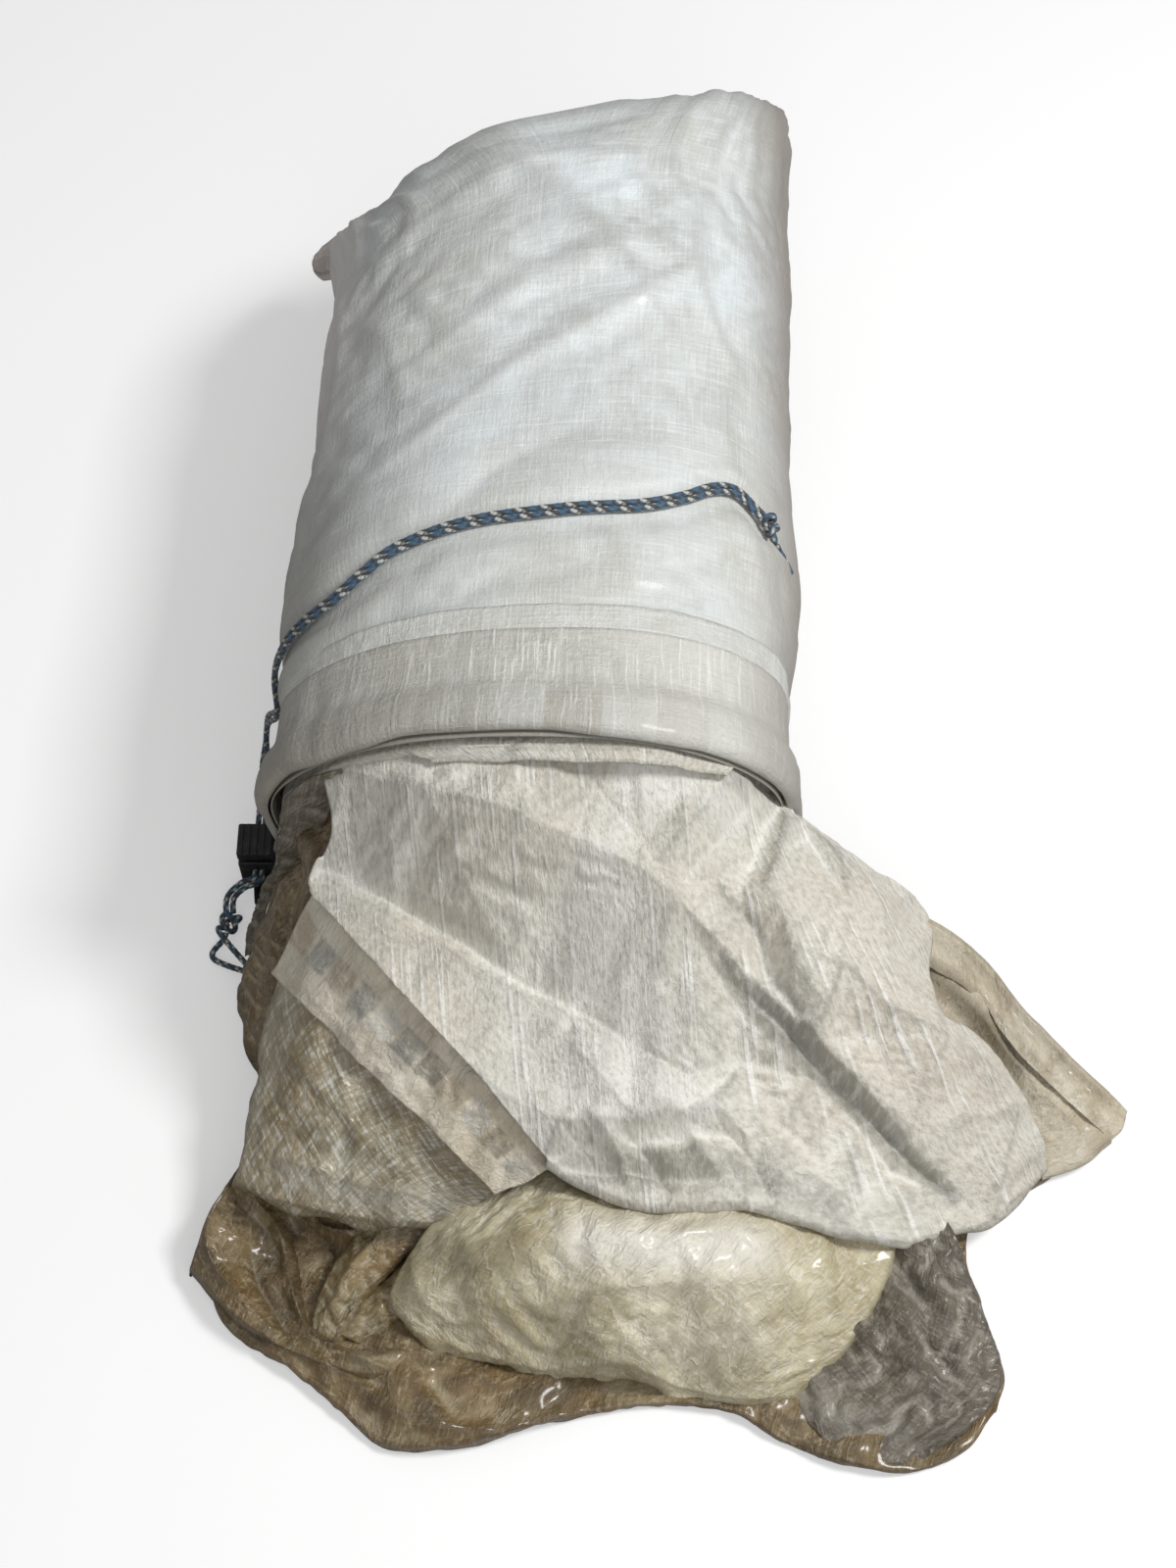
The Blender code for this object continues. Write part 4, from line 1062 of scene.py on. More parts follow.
HEM = replace(SACK, light=(0.59, 0.59, 0.55), dark=(0.49, 0.485, 0.44), crease=(0.80, 0.80, 0.76),
              hollow=(0.30, 0.28, 0.24), patch=22.0, fibre=0.40, crinkle=0.40, crinkle_size=6.0, relief=0.6,
              tinge=(0.50, 0.48, 0.41), tinge_gain=0.35, turn=math.pi / 2)
TAPE = replace(HEM, light=(0.68, 0.69, 0.66), dark=(0.57, 0.57, 0.53), patch=22.0)
# The hem's laminate darkened to brown: the mouth's lower flap is the same cloth in painted shade
FLAP_IN_SHADE = replace(HEM, light=(0.22, 0.195, 0.155), dark=(0.115, 0.095, 0.07), crease=(0.52, 0.49, 0.42),
               hollow=(0.05, 0.038, 0.024), patch=18.0, tinge=(0.16, 0.12, 0.07), tinge_gain=0.5)
CREAM = Cloth(light=(0.76, 0.69, 0.54), dark=(0.48, 0.41, 0.29), crease=(0.80, 0.78, 0.69),
              hollow=(0.13, 0.10, 0.055), fibre=0.35, fibre_width=1.1, fibre_length=18.0, crinkle=0.55,
              crinkle_size=5.0, patch=14.0, rough_low=0.18, rough_high=0.40, coat=0.45, relief=0.9,
              tinge=(0.42, 0.31, 0.17), tinge_gain=0.4)
TAN = Cloth(light=(0.44, 0.40, 0.29), dark=(0.25, 0.205, 0.12), crease=(0.70, 0.70, 0.64),
            hollow=(0.10, 0.075, 0.04), fibre=0.72, fibre_width=1.3, fibre_length=13.0, cross=1.0, turn=0.6,
            crinkle=0.4, crinkle_size=6.0, patch=15.0, rough_low=0.20, rough_high=0.45, coat=0.35, relief=0.8,
            tinge=(0.30, 0.20, 0.09), tinge_gain=0.5)
BROWN = Cloth(light=(0.25, 0.18, 0.085), dark=(0.095, 0.062, 0.024), crease=(0.62, 0.54, 0.37),
              hollow=(0.04, 0.026, 0.011), fibre=0.3, fibre_width=1.0, fibre_length=14.0, cross=0.6,
              crinkle=0.6, crinkle_size=6.0, patch=13.0, rough_low=0.18, rough_high=0.38, coat=0.5,
              relief=0.9, tinge=(0.24, 0.14, 0.045), tinge_gain=0.6)
OLIVE = Cloth(light=(0.79, 0.72, 0.51), dark=(0.46, 0.395, 0.23), crease=(0.96, 0.93, 0.84),
              hollow=(0.19, 0.145, 0.06), fibre=0.32, fibre_width=0.9, fibre_length=12.0, cross=0.8,
              turn=0.35, crinkle=0.65, crinkle_size=5.5, patch=17.0, rough_low=0.16, rough_high=0.38,
              coat=0.5, relief=0.9, tinge=(0.50, 0.43, 0.26), tinge_gain=0.5)
# Painted shade in the low parts of the swirl's deep folds
SWIRL = replace(BROWN, deep=0.010)
GOLD = Cloth(light=(0.33, 0.26, 0.13), dark=(0.16, 0.115, 0.045), crease=(0.72, 0.67, 0.53),
             hollow=(0.07, 0.045, 0.018), fibre=0.3, fibre_width=1.0, fibre_length=14.0, cross=0.6, turn=0.3,
             crinkle=0.6, crinkle_size=5.0, patch=12.0, rough_low=0.18, rough_high=0.38, coat=0.5, relief=0.9,
             tinge=(0.30, 0.18, 0.06), tinge_gain=0.6)
MESH = Cloth(light=(0.24, 0.21, 0.165), dark=(0.12, 0.10, 0.075), crease=(0.50, 0.47, 0.41),
             hollow=(0.05, 0.04, 0.03), fibre=0.45, fibre_width=0.8, fibre_length=6.0, cross=1.0, turn=0.5,
             crinkle=0.45, crinkle_size=5.0, patch=13.0, rough_low=0.25, rough_high=0.45, coat=0.25,
             relief=0.9, tinge=(0.16, 0.13, 0.09), tinge_gain=0.5)


@dataclass(frozen=True)
class Moulded:
    """Moulded plastic or drawn wire with a fine grain."""

    colour: Colour
    worn: Colour
    rough: float
    metallic: float = 0.0
    grain: float = 0.3

    def dress(self, name: str) -> bpy.types.Material:
        """Make the material.

        Args:
            name: material name.

        Returns:
            The material.
        """
        graph = Graph(name)
        here = graph.place()
        rub = graph.span(graph.noise(here, 260.0, 4.0, 0.7), 0.5, 0.75)
        graph.put(graph.shader.inputs["Base Color"], graph.mix(rub, self.colour, self.worn))
        graph.put(graph.shader.inputs["Roughness"],
                  graph.span(graph.noise(here, 900.0), 0.3, 0.7, self.rough - 0.08, self.rough + 0.1))
        graph.put(graph.shader.inputs["Normal"], graph.bump(graph.noise(here, 2600.0), self.grain, 0.0002))
        graph.shader.inputs["Metallic"].default_value = self.metallic
        return graph.material


@dataclass(frozen=True)
class Braid:
    """Braided cord, coloured strand by strand from the mesh's tint."""

    sheen: float = 0.3

    def dress(self, name: str) -> bpy.types.Material:
        """Make the material.

        Args:
            name: material name.

        Returns:
            The material.
        """
        graph = Graph(name)
        tint = graph.add("Attribute", attribute_name="tint").outputs["Color"]
        fuzz = graph.noise(graph.place(), 3000.0, 3.0)
        graph.put(graph.shader.inputs["Base Color"], graph.mix(graph.span(fuzz, 0.35, 0.75, 0.0, 0.25), tint,
                                                               (0.30, 0.33, 0.38)))
        graph.put(graph.shader.inputs["Normal"], graph.bump(fuzz, 0.5, 0.0002))
        graph.shader.inputs["Roughness"].default_value = 0.6
        graph.shader.inputs["Sheen Weight"].default_value = self.sheen
        return graph.material


LOCK_PLASTIC = Moulded((0.012, 0.012, 0.014), (0.045, 0.045, 0.048), 0.42)
SPRING_STEEL = Moulded((0.55, 0.55, 0.57), (0.40, 0.40, 0.42), 0.28, 1.0, 0.1)


# Stuff sack


@dataclass(frozen=True)
class Ear:
    """A crushed corner at one end of the end seam."""

    name: str
    side: int
    base: float
    reach: float
    broad: float
    tip: float
    inset: float


EARS = (Ear("ear_left", -1, base=0.0240, reach=0.0265, broad=0.0170, tip=0.0062, inset=0.0060),
        Ear("ear_right", 1, base=0.014, reach=0.0155, broad=0.0075, tip=0.0049, inset=-0.0030))


@dataclass
class StuffSack:
    """Laminate sack, flattened like a pillow at its closed end, with its hem, tapes and ears.

    Lengths are in metres. Angles in degrees go round the section from the right side over the top.
    """

    width: float = 0.175
    height: float = 0.140
    end_y: float = 0.145
    end_skew: float = 0.28
    roundness: float = 2.3
    belly_sink: float = 0.004
    side_shift: float = 0.010
    side_taper: float = 0.0035
    pillow_start: float = 0.76
    pillow_power: float = 2.4
    seam_z: float = 0.061
    seam_width: float = 0.181
    seam_shift: float = 0.0065
    lip_thick: float = 0.0016
    lip_depth: float = 0.007
    droop_angle: float = 218.0
    droop_spread: float = 22.0
    droop_depth: float = 0.025
    flare_out: float = 0.024
    flare_down: float = 0.008
    flare_depth: float = 0.060
    channel: float = 0.0043
    channel_end: float = 0.013
    channel_taper: float = 0.021
    hem_depth: float = 0.038
    sleeve: float = 0.0006
    sleeve_gap: float = 0.0005
    exit_low: float = 216.4
    exit_high: float = 224.6
    pleat: float = 0.0008
    ripple: float = 0.0012
    hem_tape: tuple[float, float] = (0.0377, 0.0466)
    seam_start: float = 0.057
    seam_angles: tuple[float, float] = (324.0, 333.0)
    end_tape_half: float = 0.0815
    rows: int = 206
    columns: int = 233
    cord_line: Array = field(default_factory=lambda: np.zeros((0, 3)))

    @property
    def length(self) -> float:
        """Length from mouth to closed end at the middle."""
        return self.end_y - MOUTH_Y

    def section(self, share: Array) -> tuple[Array, Array, Array, Array, Array]:
        """Centre x, half width, underside, top and roundness at shares of the length.

        The body is an even tube; past the pillow's start its height closes along a superellipse.

        Args:
            share: places along the sack, 0 at the mouth and 1 at the closed end.

        Returns:
            Those five, for each share.
        """
        body = np.minimum(share / self.pillow_start, 1.0)
        along = np.clip((share - self.pillow_start) / (1 - self.pillow_start), 0, 1)
        rise = (1 - along ** self.pillow_power) ** (1 / self.pillow_power)
        turn = ease(along)
        centre = self.side_shift * body + (self.seam_shift - self.side_shift) * turn
        half = self.width / 2 - self.side_taper * body
        half = half + (self.seam_width / 2 - half) * turn
        low = self.seam_z - self.lip_thick / 2 + (-self.belly_sink - self.seam_z + self.lip_thick / 2) * rise
        high = self.seam_z + self.lip_thick / 2 + (self.height - self.seam_z - self.lip_thick / 2) * rise
        return centre, half, low, high, self.roundness + (4.0 - self.roundness) * turn

    def rim_lift(self, s: Array) -> Array:
        """Height of the wall's underside, lifted by the hem near the mouth.

        Args:
            s: distances in from the rim.

        Returns:
            The heights.
        """
        rim, hem = self.channel + self.sleeve, self.sleeve_gap + self.sleeve
        hold = self.hem_depth + 0.009
        return np.interp(s, [self.channel_end, self.channel_taper, hold, hold + 0.010], [rim, hem, hem, 0.0])

    def outward(self, s: Array, angle: Array) -> Array:
        """Outward direction of the wall in its cross-section: the superellipse's gradient.

        Args:
            s: distances in from the rim.
            angle: angles round the sack.

        Returns:
            Unit vectors.
        """
        _, half, low, high, power = self.section(np.minimum(s / self.length, 1.0))
        cosine = signed_power(np.cos(angle), 2 / power)
        sine = signed_power(np.sin(angle), 2 / power)
        slope = np.stack([signed_power(cosine, power - 1) / half, np.zeros(np.shape(cosine)),
                          signed_power(sine, power - 1) / ((high - low) / 2)], -1)
        return slope / np.linalg.norm(slope, axis=-1, keepdims=True)

    def skin(self, s: Array, angle: Array, offset: Array | float = 0.0) -> Array:
        """Points at distances in from the rim and angles round the sack, offset from its wall.

        Args:
            s: distances in from the rim.
            angle: angles round the sack.
            offset: distance outwards.

        Returns:
            The points.
        """
        s, angle = np.broadcast_arrays(np.asarray(s, float), np.asarray(angle, float))
        share = np.minimum(s / self.length, 1.0)
        centre, half, low, high, power = self.section(share)
        normal = self.outward(s, angle)
        x = centre + half * signed_power(np.cos(angle), 2 / power) + normal[..., 0] * offset
        z = (high + low) / 2 + (high - low) / 2 * signed_power(np.sin(angle), 2 / power)
        z = z + normal[..., 2] * offset
        degrees = np.degrees(np.mod(angle, TAU))
        corner = np.exp(-((degrees - self.droop_angle) / self.droop_spread) ** 2)
        flare = corner * np.maximum(0, 1 - s / self.flare_depth) ** 2
        x = x - self.flare_out * flare
        z = np.maximum(z - self.flare_down * flare, self.rim_lift(s) - offset)
        rim = MOUTH_Y - self.droop_depth * corner
        y = rim + (self.end_y + self.end_skew * x - rim) * share + np.maximum(s - self.length, 0)
        return np.stack([x, y, z], -1)

    # Long soft creases over the sack: distance in and angle in degrees along each, height in mm, width in mm
    creases: ClassVar[tuple] = (
        (((300, 118), (240, 100), (190, 80), (150, 62)), 1.5, 5.0),
        (((150, 128), (165, 108), (185, 86), (195, 66)), 1.3, 5.0),
        (((110, 128), (125, 112), (150, 92), (172, 72), (186, 58)), 1.6, 4.0),
        (((64, 118), (84, 108), (104, 96), (120, 80)), -1.1, 5.0),
        (((215, 132), (225, 112), (232, 92), (226, 70)), 1.2, 5.0),
        (((262, 128), (250, 112), (246, 96), (252, 78)), -1.6, 6.0),
        (((280, 140), (262, 126), (240, 122), (215, 126)), 1.6, 4.0),
        (((282, 60), (262, 66), (240, 68), (215, 64)), 1.5, 4.0),
        (((283, 86), (266, 88), (250, 92)), 1.2, 4.0),
        (((283, 104), (268, 103), (254, 108)), 1.1, 4.0),
        (((56, 72), (78, 80), (98, 92)), 1.2, 4.0),
        (((190, 140), (170, 128), (140, 122), (120, 124)), 1.1, 5.0),
        (((140, 40), (160, 52), (190, 60), (220, 56)), 1.3, 5.0),
        (((60, 30), (90, 42), (120, 48), (150, 44)), 1.2, 5.0),
        (((120, 160), (150, 152), (190, 150), (230, 156)), 1.6, 6.0),
        (((60, 168), (100, 160), (140, 165)), 1.4, 6.0))

    def wrinkles(self, s: Array, angle: Array) -> Array:
        """Height of the wrinkles in metres: soft swells, crushed facets and the long creases.

        Args:
            s: distances in from the rim.
            angle: angles round the sack.

        Returns:
            The heights.
        """
        around = angle * WALL_RADIUS / MM
        far = s / MM
        height = 1.2 * swell(around + 0.5 * far, far, 48.0, 11) + 0.4 * facets(around, far * 0.8, 34.0, 12)
        gather = past(far, 205.0, 80.0)
        height = height + 1.5 * gather * facets(around, far * 0.16, 13.0, 77)
        height = height + 0.7 * gather * facets(around * 1.3, far * 0.2, 5.5, 78)
        for line, tall, wide in self.creases:
            run = np.array([(np.radians(a) * (WALL_RADIUS / MM), d) for d, a in line])
            away, share = line_distance(around, far, spline(run, 14))
            rise = 0.8 * tall * np.exp(-np.abs(away / wide) ** 1.3)
            height = height + rise * np.sin(np.pi * np.clip(share, 0.02, 0.98)) ** 0.6
        under = ease((np.abs(np.mod(np.degrees(angle) + 90.0, 360.0) - 180.0) - 118.0) / 26.0)
        closing = short_of(s, self.length, 0.016)
        return height * MM * (1 - under) * (0.25 + 0.75 * closing)

    def near_cord(self, points: Array) -> Array:
        """1 under the drawcord, fading to 0 about 9 mm away from it.

        Args:
            points: places on the wall.

        Returns:
            The shares.
        """
        best = np.full(points.shape[:-1], 1.0)
        for place in self.cord_line[::3]:
            best = np.minimum(best, np.linalg.norm(points - place, axis=-1))
        return 1 - past(best, 0.003, 0.006)

    @staticmethod
    def tucked(points: Array, throughout: bool = False) -> Array:
        """Draw the cloth in beside the lock, at the mouth's right side and at the closed end's left corner.

        Each shift is a product of smooth steps along the three axes.

        Args:
            points: the cloth's points.
            throughout: draw all of the length in as at the mouth, for what has to pass through it.

        Returns:
            The shifted points.
        """
        x, y, z = points[..., 0], points[..., 1], points[..., 2]
        lock = past(z, 0.008, 0.020) * short_of(z, 0.110, 0.05) * short_of(x, -0.060, 0.030)
        right = past(z, 0.004, 0.02) * short_of(z, 0.110, 0.03) * past(x, 0.060, 0.02)
        if not throughout:
            lock = lock * past(y, -0.176, 0.022) * short_of(y, -0.090, 0.022)
            right = right * short_of(y, -0.060, 0.050)
        corner = past(y, 0.040, 0.065) * short_of(x, -0.040, 0.035)
        shoulder = past(y, 0.055, 0.060) * short_of(x, -0.010, 0.060)
        sunk = 0.26 * np.maximum(z - 0.062, 0) * shoulder
        across = 0.0125 * lock - 0.0035 * right + 0.0075 * corner
        return points + np.stack([across, -0.008 * shoulder, -sunk], -1)

    def wall(self, s: Array, angle: Array, offset: float = 0.0) -> Array:
        """The wrinkled wall, pressed flat under the hem and the drawcord.

        Args:
            s: distances in from the rim.
            angle: angles round the sack.
            offset: distance outwards.

        Returns:
            The points.
        """
        base = self.skin(s, angle, offset)
        held = np.maximum(self.near_cord(base), 1 - ease((s - self.hem_depth + 0.004) / 0.014))
        lift = self.wrinkles(s, angle)
        lift = lift * (1 - held) - 0.0006 * held - 0.0002
        return self.tucked(base + self.outward(s, angle) * lift[..., None])

    @staticmethod
    def above(angle: Array) -> Array:
        """1 where the hem is clear of the floor, 0 under the sack."""
        return past(np.sin(angle), -0.75, 0.4)

    @staticmethod
    def lay_tape(name: str, look: str, points: Array, node: str, looped: bool = False) -> None:
        """Make a bonded tape.

        Args:
            name: piece name.
            look: material name.
            points: its grid.
            node: CAD node that it replaces.
            looped: whether the last column joins the first.
        """
        strip = grid_mesh(name, points, looped, np.zeros(points.shape[:2]))
        thicken(strip, TAPE_THICK)
        finish(strip, TAPE.dress(look), "bond_tape", Body.SACK, node)

    def build(self) -> None:
        """Make the wall, hem, tapes and ears."""
        lip = self.length + self.lip_depth * np.array([0.5, 1.0])
        s = np.append(np.linspace(0.0, self.length, self.rows), lip)
        angle = np.linspace(-TAU / 4, TAU * 3 / 4, self.columns)
        s_grid, a_grid = np.meshgrid(s, angle, indexing="ij")
        points = self.wall(s_grid, a_grid)
        under = 1 - ease((np.abs(a_grid - TAU / 4) * -1 + TAU / 2 - 0.55) / 0.35)
        pinned = np.maximum(under, 1 - ease((s_grid - self.hem_depth + 0.002) / 0.012))
        pinned = np.clip(np.maximum(pinned, self.near_cord(points)), 0, 0.97)
        pinned[:, :2] = pinned[:, -2:] = 1
        points = buckled(points / MM, SOFT, 5, 0.1, pinned) * MM
        points = points[:, :-1]
        shell = grid_mesh("sack_wall", points, True, 5.0 * crest_of(points, 2) + 3.0 * crest_of(points, 5))
        thicken(shell, CLOTH_THICK)
        finish(shell, SACK_GLOW.dress("sack_laminate"), "sack_laminate", Body.SACK, "sack_body")
        self.build_hem()
        self.build_hem_tape()
        self.build_seam_tapes()
        for ear in EARS:
            self.build_ear(ear)

    def build_hem(self) -> None:
        """The doubled hem with its channel.

        The profile runs from the hem's inner edge over the channel's bulge, round the rim and back inside.
        """
        around = np.linspace(0, TAU, 361)[:-1]
        exit_low, exit_high = np.radians(self.exit_low), np.radians(self.exit_high)
        angle = np.concatenate([around[around > exit_high], TAU + around[around < exit_low]])
        angle = np.concatenate([[exit_high], angle, [TAU + exit_low]])
        cover = self.channel + self.sleeve
        profile = np.array([
            (38.0, 0.55), (37.9, 1.05), (34, 1.15), (30, 1.1), (26, 1.2), (22, 1.4), (19, 2.0), (16, 3.4),
            (13, 4.6), (10, cover / MM), (7, cover / MM + 0.1), (4, cover / MM), (1.8, 4.2), (0.5, 3.0),
            (0.1, 1.6), (0.5, 0.6)])
        profile = spline(profile, 46)
        s_grid = np.broadcast_to(profile[None, :, 0] * MM, (len(angle), len(profile)))
        a_grid = np.broadcast_to(angle[:, None], s_grid.shape)
        along = np.degrees(a_grid) * HEM_RUN
        pleats = 0.5 * facets(along, s_grid / MM * 0.22, 5.0, 31)
        pleats = pleats + 0.35 * swell(along, s_grid / MM * 0.15, 11.0, 32)
        outer = past(profile[:, 1], 0.8, 0.6)[None] * np.clip((38.2 - profile[:, 0]) / 3.0, 0, 1)[None]
        up = self.above(a_grid)
        offset = profile[None, :, 1] * MM + pleats * outer * up * self.pleat
        points = self.tucked(self.skin(s_grid, a_grid, offset))
        ripple = self.ripple * swell(along, s_grid / MM, 16.0, 34) * up * ease(1 - s_grid / 0.02)
        points[..., 1] += ripple
        points[..., 2] = np.maximum(points[..., 2], LEAST_HEIGHT)
        hem = grid_mesh("hem_sleeve_cloth", points[:, ::-1], False, 4.0 * crest_of(points, 2)[:, ::-1])
        thicken(hem, HEM_THICK)
        finish(hem, HEM_BANDS.dress("hem_laminate"), "sack_hem", Body.SACK, "hem_sleeve")

    def build_hem_tape(self) -> None:
        """The tape along the hem's inner edge."""
        s_line = np.linspace(*self.hem_tape, 9)
        angle = np.linspace(0, TAU, 360, endpoint=False)
        a_grid, s_grid = np.meshgrid(angle, s_line, indexing="ij")
        along = np.degrees(a_grid) * HEM_RUN
        lift = 0.0007 + 0.00035 * facets(along, s_grid / MM, 6.0, 41) * self.above(a_grid)
        points = self.tucked(self.skin(s_grid, a_grid, lift))
        points[..., 2] = np.maximum(points[..., 2], LEAST_HEIGHT)
        self.lay_tape("hem_tape", "bond_tape", np.swapaxes(points, 0, 1), "hem_bond_tape", True)

    def build_seam_tapes(self) -> None:
        """The tape along the side seam, and the one folded over the end seam."""
        s_line = np.linspace(self.seam_start, self.pillow_start * self.length, 120)
        angle = np.radians(np.linspace(*self.seam_angles, 9))
        s_grid, a_grid = np.meshgrid(s_line, angle, indexing="ij")
        base = self.wall(s_grid, a_grid) + self.outward(s_grid, a_grid) * 0.0006
        base[..., 2] = np.maximum(base[..., 2], LEAST_HEIGHT)
        self.lay_tape("side_tape", "side_tape", base, "side_seam_tape")

        x = np.linspace(self.seam_shift - self.end_tape_half, self.seam_shift + self.end_tape_half, 150)
        edge = self.end_y + self.end_skew * x + self.lip_depth
        profile = np.array([(-5.2, 1.5), (-2.5, 1.55), (0.2, 1.5), (0.9, 0.9), (1.1, 0.0), (0.9, -0.9),
                            (0.2, -1.5), (-2.5, -1.55), (-5.2, -1.5)]) * MM
        wave = 0.0008 * swell(x / MM, x * 0, 14.0, 51) + 0.0004 * facets(x / MM, x * 0, 6.0, 52)
        points = np.stack([
            np.broadcast_to(x[:, None], (len(x), len(profile))),
            edge[:, None] + profile[None, :, 0] + 0.0004 * facets(x / MM, x * 0, 7.0, 53)[:, None],
            self.seam_z + profile[None, :, 1] + wave[:, None]], 2)
        self.lay_tape("end_tape", "end_tape", self.tucked(points)[:, ::-1], "end_seam_tape")

    def build_ear(self, ear: Ear) -> None:
        """Crushed corner: a flattened tongue whose two walls pucker towards its blunt tip.

        Args:
            ear: which one, with its sizes.
        """
        along = np.linspace(0, 1, 40)
        around = np.linspace(0, TAU, 48, endpoint=False)
        l_grid, a_grid = np.meshgrid(along, around, indexing="ij")
        side = ear.side
        x = self.seam_shift + side * (self.seam_width / 2 - ear.base + ear.reach * l_grid)
        blunt = np.sqrt(np.maximum(1 - l_grid ** 10, 0.0))
        wide = (ear.broad + (ear.tip - ear.broad) * l_grid) * blunt
        tall = (0.0050 * (1 - l_grid) ** 1.4 + 0.0015) * blunt
        pucker = 1 + 0.26 * np.cos(5 * a_grid + 2.5 * l_grid + side) * (1 - 0.3 * l_grid) * ease(l_grid * 3)
        crushed = 0.0012 * facets(l_grid * 22, a_grid * 4, 6.0, 61 + side) * ease(l_grid * 2)
        y = self.end_y + self.end_skew * x - ear.inset + wide * np.cos(a_grid) * pucker + crushed
        z = self.seam_z + 0.0006 + tall * np.sin(a_grid) * pucker + crushed - 0.0012 * l_grid ** 2
        points = np.stack([x, y, z], 2)
        if side > 0:
            points = points[:, ::-1]
        piece = grid_mesh(ear.name, points[:, ::-1], True, 3.0 * crest_of(points, 2))
        finish(piece, EAR.dress(ear.name), "sack_hem", Body.SACK, "sack_" + ear.name)


@dataclass(frozen=True)
class SackCloth(Cloth):
    """The sack's laminate: cool where the light falls on its crown, and warmer and duller in painted shade
    down its sides, with painted shade on its flanks and inside the mouth and painted light along its left
    edge.
    """

    # Painted shade down the sides, by height
    side: Colour = (0.50, 0.475, 0.43)
    # Warmer and darker low down
    lower_tone: Colour = (0.52, 0.44, 0.42)
    # Painted shade on the left flank
    left: Colour = (0.24, 0.235, 0.21)
    # Painted light along the left edge
    lit: Colour = (0.93, 0.90, 0.89)
    # Pinker and darker at the closed end's left corner
    far: Colour = (0.66, 0.60, 0.60)
    # Darker and warmer towards the mouth
    near: Colour = (0.58, 0.575, 0.53)
    # Painted shade on the right flank
    right: Colour = (0.28, 0.245, 0.215)
    # Painted shade inside the mouth
    inner: Colour = (0.24, 0.215, 0.17)

    def dress(self, name: str) -> bpy.types.Material:
        """Make the material.

        Args:
            name: material name.

        Returns:
            The material.
        """
        material = super().dress(name)
        graph = Graph.of(material)
        colour = graph.shader.inputs["Base Color"].links[0].from_socket
        here = graph.add("TexCoord").outputs["Object"]
        x, y, z = graph.add("SeparateXYZ", {0: here}).outputs
        height = graph.sum(z, graph.product(graph.noise(here, 22.0, 3.0), 0.030))
        # Painted shade down the sides, and a warmer, darker tone low down
        colour = graph.over(colour, graph.span(height, 0.075, 0.135, 1.0, 0.0), 0.75, self.side)
        colour = graph.over(colour, graph.span(height, 0.045, 0.085, 1.0, 0.0), 0.45, self.lower_tone)
        # Painted shade on the left flank, then painted light along its edge
        left = graph.product(graph.span(x, -0.088, -0.015, 0.55, 0.0), graph.span(y, -0.03, 0.05, 1.0, 0.3))
        colour = graph.mix(left, colour, self.left)
        lit = graph.product(graph.span(x, -0.082, -0.055, 0.85, 0.0), graph.span(y, -0.05, 0.03))
        colour = graph.mix(lit, colour, self.lit)
        far = graph.product(graph.span(y, 0.085, 0.125), graph.span(x, -0.070, -0.050, 0.7, 0.0))
        colour = graph.mix(far, colour, self.far)
        colour = graph.over(colour, graph.span(y, -0.10, -0.02, 1.0, 0.0), 0.35, self.near)
        # Painted shade on the right flank and inside the mouth
        colour = graph.mix(graph.span(x, 0.074, 0.092, 0.0, 0.8), colour, self.right)
        colour = graph.over(colour, graph.span(y, -0.140, -0.128, 1.0, 0.0), 0.8, self.inner)
        graph.put(graph.shader.inputs["Base Color"], colour)
        return material


